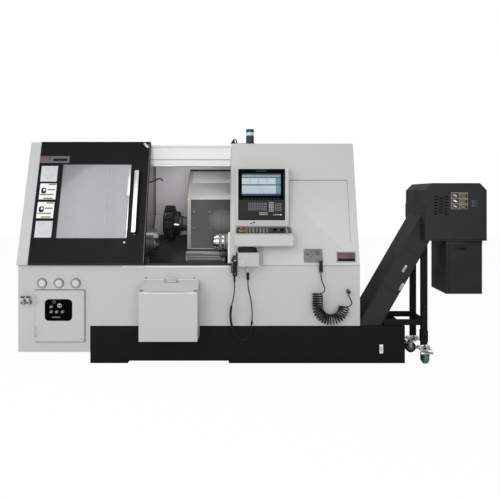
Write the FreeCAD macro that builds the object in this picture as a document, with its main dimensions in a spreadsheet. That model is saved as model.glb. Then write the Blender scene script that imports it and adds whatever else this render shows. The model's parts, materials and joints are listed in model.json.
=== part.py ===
"""A slant-bed turning lathe with its chip conveyor, millimetres, +Z up.

X runs to the operator's right, Y to the back of the machine, Z up. The origin
lies on the floor under the middle of the whole machine.
"""
import FreeCAD, Part
import math
import os
import re
import Sketcher

Vector = FreeCAD.Vector
Rotation = FreeCAD.Rotation
Placement = FreeCAD.Placement

# Driving dimensions. Places are measured from the origin, the rest are sizes.
SIZES = {
    # Enclosure: ends, front, sill and the sloped front above it
    "cabinet_wide": 635.0,
    "door_side": -1130.0,
    "control_side": -178.0,
    "cover_right": 968.0,
    "front_y": -725.0,
    "rear_y": 525.0,
    "sill_z": 860.0,
    "cover_top": 1965.0,
    "slope_angle": 15.5,
    "sheet": 3.0,
    "past": 1.0,
    "cabinet_bottom": 100.0,
    "roof_drop": 38.0,
    "lip": 60.0,
    # Base
    "base_left": -1407.0,
    "base_right": 1365.0,
    "base_top": 330.0,
    "base_wall": 25.0,
    "base_raise": 21.0,
    "left_foot": 333.0,
    "right_foot_x": -187.0,
    "trough_left": -1020.0,
    "trough_right": 1210.0,
    "trough_wall": 10.0,
    "trough_width": 380.0,
    "trough_floor": 60.0,
    # Spindle line and the slanted bed behind it
    "spindle_y": -225.0,
    "spindle_z": 1020.0,
    "bed_angle": 45.0,
    "bed_distance": 300.0,
    "bed_low": -215.0,
    "bed_high": 619.0,
    "bed_left": -1000.0,
    "bed_right": 900.0,
    "bed_front": -165.0,
    "bed_back": 505.0,
    "bed_wall": 40.0,
    "rail_wide": 45.0,
    "rail_tall": 50.0,
    "rail_low": 60.0,
    "rail_high": 460.0,
    "tail_rail_low": -180.0,
    "tail_rail_high": -60.0,
    "tail_rail_tall": 30.0,
    "slide_gap": 0.3,
    # Headstock and spindle
    "headstock_left": -1400.0,
    "headstock_right": -1060.0,
    "headstock_front": -395.0,
    "headstock_back": -25.0,
    "headstock_top": 1200.0,
    "spindle_radius": 85.0,
    "spindle_bore": 38.0,
    "spindle_left": -1540.0,
    "spindle_nose": -1015.0,
    "bearing_length": 80.0,
    "stator_radius": 140.0,
    "shaft_gap": 0.05,
    "actuator_left": -1760.0,
    "actuator_radius": 95.0,
    "chuck_radius": 127.0,
    "chuck_length": 90.0,
    "jaw_length": 31.0,
    "jaw_width": 36.0,
    "jaw_inner": 42.0,
    "jaw_outer": 112.0,
    "jaw_root": 14.0,
    "jaw_room": 16.0,
    # Work-zone walls
    "wall_x": -1033.0,
    "nose_hole": 92.0,
    "guard_right": -640.0,
    "guard_back_y": 275.0,
    "guard_top": 1794.0,
    "guard_knee_z": 1260.0,
    "guard_fold_y": 157.0,
    "guard_fold_z": 1062.0,
    "guard_front_y": -55.0,
    "guard_front_z": 850.0,
    "guard_bottom": 772.0,
    "guard_slot_z": 1330.0,
    "end_wall_x": 460.0,
    # Saddle, cross slide and turret
    "saddle_left": -600.0,
    "saddle_right": -200.0,
    "saddle_low": 8.0,
    "saddle_high": 560.0,
    "saddle_top": 180.0,
    "saddle_thick": 65.0,
    "shoe_wide": 100.0,
    "shoe_tall": 34.0,
    "nut_deep": 22.0,
    "slide_low": 60.0,
    "slide_high": 400.0,
    "slide_thick": 40.0,
    "slide_left": -590.0,
    "slide_right": -260.0,
    "turret_offset": 244.0,
    "slide_travel": 150.0,
    "housing_radius": 72.0,
    "slot_gap": 4.0,
    "disc_left": -852.0,
    "disc_right": -760.0,
    "disc_radius": 158.0,
    "flange_radius": 122.0,
    "flange_wide": 48.0,
    "tool_reach": 180.0,
    "tool_width": 74.0,
    "tool_margin": 4.0,
    "pilot_radius": 45.0,
    # Saddle guard
    "hood_left": -630.0,
    "hood_right": -60.0,
    "hood_face_y": -135.0,
    "hood_back_y": 175.0,
    "hood_back_z": 1750.0,
    "hood_bottom": 940.0,
    # Fixed guard over the lower ways
    "way_left": -625.0,
    "way_right": -244.0,
    "way_front_y": -245.0,
    "way_back_y": -150.0,
    "way_top": 925.0,
    "way_bottom": 838.0,
    # Tailstock
    "tail_left": -218.0,
    "tail_right": 100.0,
    "tail_radius": 80.0,
    "barrel_reach": 115.0,
    "tail_foot": 45.0,
    "tail_step": 10.0,
    "tail_flat": 5.0,
    "quill_radius": 45.0,
    "quill_reach": 14.0,
    "centre_pin": 12.0,
    "centre_body": 22.0,
    "centre_length": 36.0,
    # Ball screw of the saddle
    "screw_place": 260.0,
    "screw_radius": 20.0,
    "screw_height": 24.0,
    "screw_right": 760.0,
    "screw_motor": 130.0,
    # Sliding door
    "door_inset": 102.0,
    "door_right": -926.0,
    "door_length": 1147.0,
    "door_gap": 8.0,
    "door_thick": 40.0,
    "door_rim": 15.0,
    "window_margin": 215.0,
    "window_side": 159.0,
    "window_low": 231.0,
    "window_high": 930.0,
    "window_inset": 8.0,
    "window_thick": 10.0,
    "handle_inset": 98.0,
    "handle_wide": 37.0,
    "handle_low": 279.0,
    "handle_high": 851.0,
    "handle_stand": 50.0,
    "handle_thick": 18.0,
    "track_tall": 20.0,
    "track_right": -160.0,
    "beam_y": -425.0,
    "beam_deep": 80.0,
    "beam_bottom": 1754.0,
    # Control panel
    "display_left": -125.0,
    "display_right": 346.0,
    "display_low": 1200.0,
    "display_high": 1728.0,
    "display_y": -659.0,
    "panel_edge": 20.0,
    "panel_side": 34.0,
    "panel_low": 1257.0,
    "panel_high": 1713.0,
    "panel_thick": 8.0,
    "panel_proud": 2.0,
    "keys_left": -18.0,
    "keys_right": 274.0,
    "keys_low": 1293.0,
    "keys_high": 1421.0,
    "keys_thick": 3.0,
    "console_left": -130.0,
    "console_right": 371.0,
    "console_low": 1039.0,
    "console_front_z": 1142.0,
    "console_back_z": 1190.0,
    "console_y": -835.0,
    "console_deep": 176.0,
    "plate_thick": 5.0,
    "plate_edge": 6.0,
    "stop_x": -70.0,
    "stop_radius": 20.0,
    "stop_tall": 26.0,
    "stop_travel": 6.0,
    "collar_radius": 30.0,
    "collar_tall": 2.0,
    "feed_x": 218.0,
    "speed_x": 278.0,
    "knob_radius": 17.0,
    "knob_tall": 22.0,
    "control_row": 88.0,
    # Box under the console, hand pendant and tray
    "box_left": -101.0,
    "box_right": 78.0,
    "box_low": 865.0,
    "box_high": 988.0,
    "box_y": -845.0,
    "tray_right": 54.0,
    "tray_tall": 23.0,
    "tray_wall": 4.0,
    "tray_radius": 38.0,
    "pendant_left": -150.0,
    "pendant_right": -110.0,
    "pendant_low": 783.0,
    "pendant_high": 955.0,
    "pendant_front": -835.0,
    "pendant_back": -755.0,
    "hanger_high": 986.0,
    "hanger_thick": 10.0,
    "dial_z": 834.0,
    "dial_radius": 28.0,
    "dial_tall": 12.0,
    "selector_z": 915.0,
    "selector_radius": 12.0,
    "stem_deep": 15.0,
    "relief_x": -134.0,
    "relief_radius": 9.0,
    "relief_low": 728.0,
    "cable_y": -795.0,
    "cable_diameter": 10.0,
    "sleeve_diameter": 20.0,
    "plug_x": -18.0,
    "plug_radius": 10.0,
    "plug_low": 745.0,
    # Air panel with its hose
    "air_left": 476.0,
    "air_right": 641.0,
    "air_low": 885.0,
    "air_high": 1001.0,
    "air_thick": 8.0,
    "coupler_x": 618.0,
    "coupler_y": -775.0,
    "coupler_radius": 14.0,
    "coupler_low": 800.0,
    "hose_diameter": 10.0,
    "hose_run": 31.0,
    "hose_drop": 35.0,
    "hose_rise": 20.0,
    "coil_x": 587.0,
    "coil_y": -780.0,
    "coil_high": 625.0,
    "coil_straight": 113.0,
    "coil_bend": 115.0,
    "coil_radius": 45.0,
    "fitting_x": 860.0,
    "fitting_low": 618.0,
    "fitting_radius": 12.0,
    # Signal lamp
    "beacon_x": 0.0,
    "beacon_y": -375.0,
    "beacon_radius": 37.0,
    "beacon_base": 77.0,
    "beacon_lens": 35.0,
    "beacon_cap": 26.0,
    "gland_x": -159.0,
    "gland_radius": 18.0,
    "gland_tall": 20.0,
    # Left cabinet fittings
    "gauge_z": 706.0,
    "gauge_radius": 43.0,
    "gauge_deep": 12.0,
    "gauge_inset": 212.5,
    "gauge_pitch": 148.0,
    "hatch_inset": 153.0,
    "hatch_margin": 48.0,
    "hatch_low": 193.0,
    "hatch_high": 642.0,
    "hatch_thick": 12.0,
    "hatch_gap": 2.0,
    "valve_inset": 85.0,
    "valve_margin": 103.0,
    "valve_low": 374.0,
    "valve_high": 569.0,
    "valve_round": 38.0,
    "valve_gap": 1.0,
    "tap_inset": 52.0,
    "tap_pitch": 50.0,
    "tap_z": 540.0,
    "tap_radius": 14.0,
    "tap_reach": 45.0,
    "hinge_radius": 6.0,
    "knuckle": 15.0,
    # Service box on the front
    "service_left": -936.0,
    "service_right": -443.0,
    "service_low": 248.0,
    "service_front": -925.0,
    "service_knee": 650.0,
    "service_top": 724.0,
    "service_lid_depth": 12.0,
    # Chip conveyor
    "conveyor_angle": 60.0,
    "conveyor_x": 948.0,
    "conveyor_tall": 180.0,
    "conveyor_front": -711.0,
    "conveyor_back": -359.0,
    "conveyor_left": -1000.0,
    "conveyor_rim": 250.0,
    "conveyor_wall": 4.0,
    "casing_gap": 4.0,
    "outlet_left": 1509.0,
    "outlet_right": 2042.0,
    "outlet_low": 1086.0,
    "outlet_high": 1584.0,
    "outlet_front": -815.0,
    "outlet_back": -283.0,
    "outlet_corner": 60.0,
    "chute_left": 1720.0,
    "chute_right": 2038.0,
    "chute_low": 612.0,
    "chute_front": -735.0,
    "chute_back": -380.0,
    "leg_left": 1513.0,
    "leg_wide": 50.0,
    "leg_front": -725.0,
    "leg_back": -375.0,
    "leg_low": 125.0,
    "sleeve_proud": 5.0,
    "bar_low": 330.0,
    "bar_tall": 48.0,
    "bar_deep": 30.0,
    "leg_high": 1050.0,
    "shaft_z": 1330.0,
    "shaft_radius": 20.0,
    "drum_radius": 60.0,
    "belt_gap": 0.6,
    "belt_thick": 6.0,
    "gear_long": 180.0,
    "gear_wide": 140.0,
    "wheel_radius": 50.0,
    "wheel_wide": 36.0,
    "axle_radius": 6.0,
    "caster_trail": 25.0,
    "fork_sheet": 4.0,
    "fork_top": 105.0,
    "pin_radius": 8.0,
    "pin_long": 60.0,
    # Electrical cabinet at the back
    "power_left": -900.0,
    "power_right": 500.0,
    "power_low": 250.0,
    "power_high": 1850.0,
    "power_back": 925.0,
    "power_door": 22.0,
}

# Places that follow from the sizes.
PLACES = {
    "cover_left": "base_left",
    "left_end": "(cover_left - cabinet_wide)",
    "door_left": "(left_end + door_inset)",
    "window_left": "(door_left + window_margin)",
    "window_right": "(door_right - window_side)",
    "handle_x": "(door_right - handle_inset)",
    "hatch_left": "(left_end + hatch_inset)",
    "hatch_right": "(cover_left - hatch_margin)",
    "valve_left": "(hatch_left + valve_inset)",
    "valve_right": "(hatch_right - valve_margin)",
    "gauge_first_x": "(left_end + gauge_inset)",
    "tap_left_x": "(left_end + tap_inset)",
    "tap_right_x": "(tap_left_x + tap_pitch)",
    "beacon_base_top": "(cover_top + beacon_base)",
    "beacon_lens_top": "(beacon_base_top + beacon_lens)",
    "beacon_top": "(beacon_lens_top + beacon_cap)",
}

doc = FreeCAD.newDocument("TurningLathe")
sheet = doc.addObject("Spreadsheet::Sheet", "Sizes")
for row, (alias, value) in enumerate(SIZES.items(), 1):
    sheet.set(f"A{row}", alias)
    sheet.set(f"B{row}", str(value))
    sheet.setAlias(f"B{row}", alias)
doc.recompute()

WORD = re.compile(r"[a-z_]+")
PARTS = {}


def spelled_out(word):
    """A word of a formula as the sheet knows it: a size, or the sizes that a place follows from."""
    if word in PLACES:
        return WORD.sub(lambda match: spelled_out(match[0]), PLACES[word])
    return "Sizes." + word if word in SIZES else word


def bind(item, prop, formula):
    """Tie a property to a formula of sizes and places."""
    item.setExpression(prop, WORD.sub(lambda match: spelled_out(match[0]), formula))


def size(alias):
    """The value of one size."""
    return float(sheet.get(alias))


def keep(node, item):
    """Give a finished sub-part its name."""
    item.Label = node
    PARTS[node] = item
    return item


def block(x, y, z):
    """A block between a low and a high formula along each axis."""
    item = doc.addObject("Part::Box", "block")
    for prop, axis, (low, high) in zip(("Length", "Width", "Height"), "xyz", (x, y, z)):
        bind(item, prop, f"({high}) - ({low})")
        bind(item, f"Placement.Base.{axis}", low)
    return item


def rod(axis, radius, low, high, first, second):
    """A cylinder along an axis, centred at the formulas of the other two axes."""
    turns = {"x": Rotation(Vector(0, 1, 0), 90), "y": Rotation(Vector(1, 0, 0), -90), "z": Rotation()}
    item = doc.addObject("Part::Cylinder", "rod")
    item.Placement = Placement(Vector(), turns[axis])
    bind(item, "Radius", radius)
    bind(item, "Height", f"({high}) - ({low})")
    bind(item, f"Placement.Base.{axis}", low)
    for other, place in zip("xyz".replace(axis, ""), (first, second)):
        bind(item, f"Placement.Base.{other}", place)
    return item


def join(*items):
    """One solid out of pieces that meet."""
    item = doc.addObject("Part::MultiFuse", "join")
    item.Shapes = list(items)
    item.Refine = True
    return item


def cut(base, *tools):
    """A piece with one or more others taken out of it."""
    item = doc.addObject("Part::Cut", "cut")
    item.Base = base
    item.Tool = tools[0] if len(tools) == 1 else join(*tools)
    item.Refine = True
    return item


def group(*items):
    """Separate solids that share one node."""
    item = doc.addObject("Part::Compound", "group")
    item.Links = list(items)
    return item


def slope_block(x, v, w):
    """A block on the sloped front: v runs up the slope from the sill, w outward."""
    item = doc.addObject("Part::Box", "slope_block")
    item.Placement = Placement(Vector(), Rotation(Vector(1, 0, 0), -10))
    bind(item, "Placement.Rotation.Angle", "-slope_angle")
    bind(item, "Length", f"({x[1]}) - ({x[0]})")
    bind(item, "Width", f"({w[1]}) - ({w[0]})")
    bind(item, "Height", f"({v[1]}) - ({v[0]})")
    bind(item, "Placement.Base.x", x[0])
    bind(item, "Placement.Base.y", f"front_y + ({v[0]}) * sin(slope_angle) - ({w[1]}) * cos(slope_angle)")
    bind(item, "Placement.Base.z", f"sill_z + ({v[0]}) * cos(slope_angle) + ({w[1]}) * sin(slope_angle)")
    return item


def bed_point(along, out):
    """Y and Z formulas of a point: along runs up the slanted bed, out away from it, from the spindle line."""
    y = f"(spindle_y + ({along}) * cos(bed_angle) - ({out}) * sin(bed_angle))"
    z = f"(spindle_z + ({along}) * sin(bed_angle) + ({out}) * cos(bed_angle))"
    return y, z


def bed_block(x, along, out):
    """A block square to the slanted bed."""
    item = doc.addObject("Part::Box", "bed_block")
    item.Placement = Placement(Vector(), Rotation(Vector(1, 0, 0), 40))
    bind(item, "Placement.Rotation.Angle", "bed_angle")
    bind(item, "Length", f"({x[1]}) - ({x[0]})")
    bind(item, "Width", f"({along[1]}) - ({along[0]})")
    bind(item, "Height", f"({out[1]}) - ({out[0]})")
    y, z = bed_point(along[0], out[0])
    for axis, place in zip("xyz", (x[0], y, z)):
        bind(item, f"Placement.Base.{axis}", place)
    return item


def origin_plane(body, role):
    return next(plane for plane in body.Origin.OriginFeatures if plane.Role == role)


def outline(points, low, high, across="x"):
    """A straight-sided outline, padded along X (points in Y, Z) or along Y (points in X, Z)."""
    body = doc.addObject("PartDesign::Body", "outline")
    sketch = body.newObject("Sketcher::SketchObject", "edges")
    sketch.AttachmentSupport = [(origin_plane(body, "YZ_Plane" if across == "x" else "XZ_Plane"), "")]
    sketch.MapMode = "FlatFace"
    count = len(points)
    turns = [math.tau * corner / count for corner in range(count)]
    rough = [Vector(100 * math.cos(turn), 100 * math.sin(turn), 0) for turn in turns]
    for corner in range(count):
        sketch.addGeometry(Part.LineSegment(rough[corner], rough[(corner + 1) % count]))
    for corner in range(count):
        sketch.addConstraint(Sketcher.Constraint("Coincident", corner, 2, (corner + 1) % count, 1))
    for corner, point in enumerate(points):
        for kind, formula in zip(("DistanceX", "DistanceY"), point):
            place = sketch.addConstraint(Sketcher.Constraint(kind, -1, 1, corner, 1, 5.0))
            bind(sketch, f"Constraints[{place}]", formula)
    bind(sketch, "AttachmentOffset.Base.z", low if across == "x" else f"-({high})")
    pad = body.newObject("PartDesign::Pad", "pad")
    pad.Profile = sketch
    bind(pad, "Length", f"({high}) - ({low})")
    body.Tip = pad
    return body


SLOPE_LENGTH = "((cover_top - sill_z) / cos(slope_angle))"
SLOPE_START = "(sheet * tan(slope_angle))"
SLOPE_TOP_Y = "(front_y + (cover_top - sill_z) * tan(slope_angle))"
ROOF_Z = "(cover_top - roof_drop)"


def on_slope(z):
    """Y formula of the sloped front at a height."""
    return f"(front_y + (({z}) - sill_z) * tan(slope_angle))"


def make_base():
    """Cast base on two feet, open below, with a trough for the chips."""
    middle = block(("base_left", "base_right"), ("front_y", "rear_y"), ("base_raise", "base_top"))
    left = block(("base_left", "base_left + left_foot"), ("front_y", "rear_y"), ("0", "base_raise"))
    right = block(("right_foot_x", "base_right"), ("front_y", "rear_y"), ("0", "base_raise"))
    trough_back = "front_y + trough_wall + trough_width"
    trough = block(("trough_left", "trough_right"), ("front_y + trough_wall", trough_back),
                   ("trough_floor", "base_top"))
    hollow_y = (f"{trough_back} + base_wall", "rear_y - base_wall")
    hollow_z = ("0", "base_top - base_wall")
    left_hollow = block(("base_left + base_wall", "base_left + left_foot - base_wall"), hollow_y, hollow_z)
    middle_hollow = block(("base_left + left_foot", "right_foot_x - base_wall"), hollow_y, hollow_z)
    right_hollow = block(("right_foot_x + base_wall", "base_right - base_wall"), hollow_y, hollow_z)
    keep("base_frame", cut(join(middle, left, right), trough, left_hollow, middle_hollow, right_hollow))


def make_bed():
    """Hollow slanted bed with its way face toward the operator, and the rails on it."""
    low_y, low_z = bed_point("bed_low", "-bed_distance")
    high_y, high_z = bed_point("bed_high", "-bed_distance")
    shell = outline(
        [(low_y, "base_top"), ("bed_back", "base_top"), ("bed_back", high_z), (high_y, high_z),
         (low_y, low_z)],
        "bed_left", "bed_right",
    )
    top_z = f"{high_z} - bed_wall * 2"
    hollow = outline(
        [
            (f"{low_y} + bed_wall", "base_top + bed_wall"),
            ("bed_back - bed_wall", "base_top + bed_wall"),
            ("bed_back - bed_wall", top_z),
            (f"{high_y} - bed_wall / 2", top_z),
            (f"{low_y} + bed_wall", f"{low_z} - bed_wall / 2"),
        ],
        "bed_left + bed_wall", "bed_right + sheet",
    )
    keep("slant_bed", cut(shell, hollow))
    rails = []
    for middle, low, tall in (("rail_low", "bed_left + bed_wall", "rail_tall"),
                              ("rail_high", "bed_left + bed_wall", "rail_tall"),
                              ("tail_rail_low", "tail_left", "tail_rail_tall"),
                              ("tail_rail_high", "tail_left", "tail_rail_tall")):
        along = (f"{middle} - rail_wide / 2", f"{middle} + rail_wide / 2")
        rails.append(bed_block((low, "bed_right - bed_wall"), along,
                               ("-bed_distance", f"{tall} - bed_distance")))
    keep("guide_rails", group(*rails))


def make_headstock():
    """Headstock housing with two bearing bores, the stator in it and the running spindle."""
    x = ("headstock_left", "headstock_right")
    housing = block(x, ("headstock_front", "headstock_back"), ("base_top", "headstock_top"))
    axis = ("spindle_y", "spindle_z")
    bore = rod("x", "spindle_radius + shaft_gap", "headstock_left - past", "headstock_right + past", *axis)
    chamber = rod("x", "stator_radius", "headstock_left + bearing_length",
                  "headstock_right - bearing_length", *axis)
    foot = block(("headstock_left + base_wall", "headstock_right - base_wall"),
                 ("headstock_front + base_wall", "headstock_back - base_wall"),
                 ("base_top - sheet", "spindle_z - stator_radius - base_wall * 2"))
    housing = cut(housing, bore, chamber, foot)
    ends = ("headstock_left + bearing_length", "headstock_right - bearing_length")
    stator = rod("x", "stator_radius", *ends, *axis)
    stator = cut(stator, rod("x", "spindle_radius + past", ends[0] + " - past", ends[1] + " + past", *axis))
    keep("headstock", group(housing, stator))
    shaft = rod("x", "spindle_radius", "spindle_left", "spindle_nose", *axis)
    actuator = rod("x", "actuator_radius", "actuator_left", "spindle_left", *axis)
    keep("spindle",
         cut(join(shaft, actuator),
             rod("x", "spindle_bore", "actuator_left - past", "spindle_nose + past", *axis)))


def make_chuck():
    """Three-jaw chuck body with its slots, and three stepped jaws."""
    axis = ("spindle_y", "spindle_z")
    face = "spindle_nose + chuck_length"
    body = rod("x", "chuck_radius", "spindle_nose", face, *axis)
    bore = rod("x", "spindle_bore", "spindle_nose - past", f"{face} + past", *axis)
    slots = [jaw_block(turn, "jaw_width / 2 + slide_gap", "jaw_inner - jaw_room", "chuck_radius + past",
                       f"{face} - jaw_root - slide_gap", f"{face} + past") for turn in (0, 120, 240)]
    keep("chuck_body", cut(body, bore, *slots))
    for number, turn in enumerate((0, 120, 240), 1):
        root = jaw_block(turn, "jaw_width / 2", "jaw_inner", "jaw_outer", f"{face} - jaw_root",
                         f"{face} + jaw_length / 2")
        tip = jaw_block(turn, "jaw_width / 2", "jaw_inner", "(jaw_inner + jaw_outer) / 2", face,
                        f"{face} + jaw_length")
        keep(f"chuck_jaw_{number}", join(root, tip))


def jaw_block(turn, half_wide, inner, outer, low, high):
    """A block pointing out from the spindle line, turned about it from straight up."""
    item = doc.addObject("Part::Box", "jaw_block")
    item.Placement = Placement(Vector(), Rotation(Vector(1, 0, 0), turn))
    bind(item, "Length", f"({high}) - ({low})")
    bind(item, "Width", f"2 * ({half_wide})")
    bind(item, "Height", f"({outer}) - ({inner})")
    bind(item, "Placement.Base.x", low)
    bind(item, "Placement.Base.y", f"spindle_y - ({half_wide}) * cos({turn}) - ({inner}) * sin({turn})")
    bind(item, "Placement.Base.z", f"spindle_z - ({half_wide}) * sin({turn}) + ({inner}) * cos({turn})")
    return item


def make_work_zone():
    """Sheet walls around the work: beside the chuck, behind the turret and at the tailstock end."""
    guard_line = [
        ("guard_front_y", "guard_bottom"),
        ("guard_front_y", "guard_front_z"),
        ("guard_fold_y", "guard_fold_z"),
        ("guard_back_y", "guard_knee_z"),
        ("guard_back_y", "guard_top"),
    ]
    behind = [(f"{y} + sheet", z) for y, z in guard_line]
    front_edge = [
        ("beam_y + beam_deep", "guard_top"),
        ("beam_y + beam_deep", "beam_bottom"),
        (f"{on_slope('beam_bottom')} + lip", "beam_bottom"),
        ("front_y + lip", "sill_z"),
    ]
    foot = [("front_y + lip", "base_top"), ("guard_front_y + sheet", "base_top")]
    wall = outline(foot + behind[1:] + front_edge, "wall_x", "wall_x + sheet")
    hole = rod("x", "nose_hole", "wall_x - past", "wall_x + sheet + past", "spindle_y", "spindle_z")
    keep("spindle_wall", cut(wall, hole))
    guard = outline(guard_line + behind[::-1], "wall_x + sheet", "guard_right")
    back = block(("guard_right", "end_wall_x"), ("guard_back_y", "guard_back_y + sheet"),
                 ("guard_slot_z", "guard_top"))
    end = outline(
        [
            ("front_y + lip", "sill_z"),
            ("hood_face_y - lip", "sill_z"),
            ("hood_face_y - lip", "guard_top - lip"),
            ("guard_back_y + sheet", "guard_top - lip"),
            ("guard_back_y + sheet", "guard_top"),
            (f"{on_slope('guard_top')} + lip", "guard_top"),
        ],
        "end_wall_x", "end_wall_x + sheet",
    )
    walls = join(guard, back, end)
    top = block(("way_left", "way_right"), ("way_front_y", "way_back_y"), ("way_top - sheet", "way_top"))
    front = block(("way_left", "way_right"), ("way_front_y", "way_front_y + sheet"),
                  ("way_bottom", "way_top"))
    posts = []
    for low in ("way_left + lip", "way_right - lip - base_wall"):
        first_y = "(way_back_y - base_wall)"
        posts.append(outline(
            [
                (first_y,
                 f"spindle_z + ({first_y} - spindle_y) * tan(bed_angle) - bed_distance / cos(bed_angle)"),
                ("way_back_y",
                 "spindle_z + (way_back_y - spindle_y) * tan(bed_angle) - bed_distance / cos(bed_angle)"),
                ("way_back_y", "way_top - sheet"),
                (first_y, "way_top - sheet"),
            ],
            low, f"{low} + base_wall",
        ))
    keep("work_guards", group(walls, join(top, front, *posts)))


def make_saddle():
    """Saddle on the upper rails, cross slide on it and the tool turret."""
    rail_top = "(rail_tall - bed_distance)"
    x = ("saddle_left", "saddle_right")
    top = "-saddle_top"
    under = "(-saddle_top - saddle_thick)"
    plate = bed_block(x, ("saddle_low", "saddle_high"), (under, top))
    shoes = []
    grooves = []
    for middle in ("rail_low", "rail_high"):
        shoes.append(bed_block(x, (f"{middle} - shoe_wide / 2", f"{middle} + shoe_wide / 2"),
                               (f"{under} - shoe_tall", under)))
        grooves.append(bed_block(("saddle_left - past", "saddle_right + past"),
                                 (f"{middle} - rail_wide / 2 - slide_gap",
                                  f"{middle} + rail_wide / 2 + slide_gap"),
                                 (f"{under} - shoe_tall - past", f"{rail_top} + slide_gap")))
    nut = bed_block(("(saddle_left + saddle_right) / 2 - lip", "(saddle_left + saddle_right) / 2 + lip"),
                    ("screw_place - lip / 2",
                     "screw_place + lip / 2"), ("screw_height - bed_distance - nut_deep", under))
    screw_y, screw_z = bed_point("screw_place", "screw_height - bed_distance")
    screw_hole = rod("x", "screw_radius + shaft_gap", "saddle_left", "saddle_right", screw_y, screw_z)
    keep("saddle", cut(join(plate, *shoes, nut), *grooves, screw_hole))
    slide_base = f"({top} + slide_gap)"
    plate = bed_block(("slide_left", "slide_right"), ("slide_low", "slide_high"),
                      (slide_base, f"{slide_base} + slide_thick"))
    axis = bed_point("turret_offset", "0")
    neck = bed_block(("slide_left", "slide_right"),
                     ("turret_offset - housing_radius", "turret_offset + housing_radius"),
                     (f"{slide_base} + slide_thick", "0"))
    barrel = rod("x", "housing_radius", "disc_right + slide_gap", "slide_right", *axis)
    flange = rod("x", "flange_radius", "disc_right + slide_gap", "disc_right + slide_gap + flange_wide", *axis)
    bore = rod("x", "pilot_radius + shaft_gap", "disc_right", "disc_right + lip + slide_gap", *axis)
    keep("cross_slide", cut(join(plate, neck, barrel, flange), bore))
    disc = turret_prism(*axis)
    pilot = rod("x", "pilot_radius", "disc_right", "disc_right + lip", *axis)
    keep("turret_disc", join(disc, pilot))
    keep("tool_holders", group(*[tool_holder(number * 360 / STATIONS) for number in range(STATIONS)]))


STATIONS = 12


def turret_prism(axis_y, axis_z):
    """The turret disc, with a flat on its rim for each tool block."""
    item = doc.addObject("Part::Prism", "turret_prism")
    item.Polygon = STATIONS
    half_side = 180 / STATIONS
    item.Placement = Placement(Vector(), Rotation(Vector(1, 0, 0), half_side) * Rotation(Vector(0, 1, 0), 90))
    bind(item, "Circumradius", f"disc_radius / cos({half_side})")
    bind(item, "Height", "disc_right - disc_left")
    bind(item, "Placement.Base.x", "disc_left")
    bind(item, "Placement.Base.y", axis_y)
    bind(item, "Placement.Base.z", axis_z)
    return item


def tool_holder(turn):
    """A tool block on a flat of the turret's rim, turned about its axis."""
    axis_y, axis_z = bed_point("turret_offset", "0")
    item = doc.addObject("Part::Box", "tool")
    item.Placement = Placement(Vector(), Rotation(Vector(1, 0, 0), turn))
    bind(item, "Length", "disc_right - disc_left - tool_margin * 2")
    bind(item, "Width", "tool_width")
    bind(item, "Height", "tool_reach - disc_radius")
    bind(item, "Placement.Base.x", "disc_left + tool_margin")
    inner = "disc_radius"
    bind(item, "Placement.Base.y", f"{axis_y} - tool_width / 2 * cos({turn}) - {inner} * sin({turn})")
    bind(item, "Placement.Base.z", f"{axis_z} - tool_width / 2 * sin({turn}) + {inner} * cos({turn})")
    return item


def above_saddle(z, clear):
    """Y formula where a height meets the plane over the saddle."""
    return f"(spindle_y + (({z}) - spindle_z + ({clear}) / cos(bed_angle)) / tan(bed_angle))"


def make_saddle_guard():
    """Sheet hood that travels with the saddle, its end slotted for the turret housing."""
    bend_z = "(hood_back_z - (hood_back_y - hood_face_y))"
    inside_y = "(hood_face_y + sheet)"
    skin = outline(
        [
            ("hood_back_y", "hood_back_z"),
            ("hood_face_y", bend_z),
            ("hood_face_y", "hood_bottom"),
            (inside_y, "hood_bottom"),
            (inside_y, f"{bend_z} - sheet / 2"),
            ("hood_back_y", "hood_back_z - sheet * 1.5"),
        ],
        "hood_left", "hood_right",
    )
    clear = "(saddle_top - sheet)"
    end = outline(
        [
            ("hood_back_y", "hood_back_z - sheet"),
            ("hood_face_y + sheet / 2", f"{bend_z} - sheet / 2"),
            ("hood_face_y + sheet / 2", "hood_bottom"),
            (above_saddle("hood_bottom", clear), "hood_bottom"),
            ("hood_back_y",
             f"spindle_z + (hood_back_y - spindle_y) * tan(bed_angle) - {clear} / cos(bed_angle)"),
        ],
        "hood_left", "hood_left + sheet",
    )
    bracket_z = "(hood_bottom + base_wall)"
    bracket = outline(
        [
            (inside_y, "hood_bottom"),
            (above_saddle("hood_bottom", "saddle_top"), "hood_bottom"),
            (above_saddle(bracket_z, "saddle_top"), bracket_z),
            (inside_y, bracket_z),
        ],
        "hood_left + sheet", "slide_left - past",
    )
    ends = [bed_point("turret_offset", "0"), bed_point("turret_offset + slide_travel", "0")]
    holes = [rod("x", "housing_radius + slot_gap", "hood_left - past", "hood_left + sheet + past",
                 *place) for place in ends]
    slot = bed_block(("hood_left - past", "hood_left + sheet + past"),
                     ("turret_offset", "turret_offset + slide_travel"),
                     ("-housing_radius - slot_gap", "housing_radius + slot_gap"))
    keep("saddle_guard", cut(join(skin, end, bracket), *holes, slot))


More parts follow.
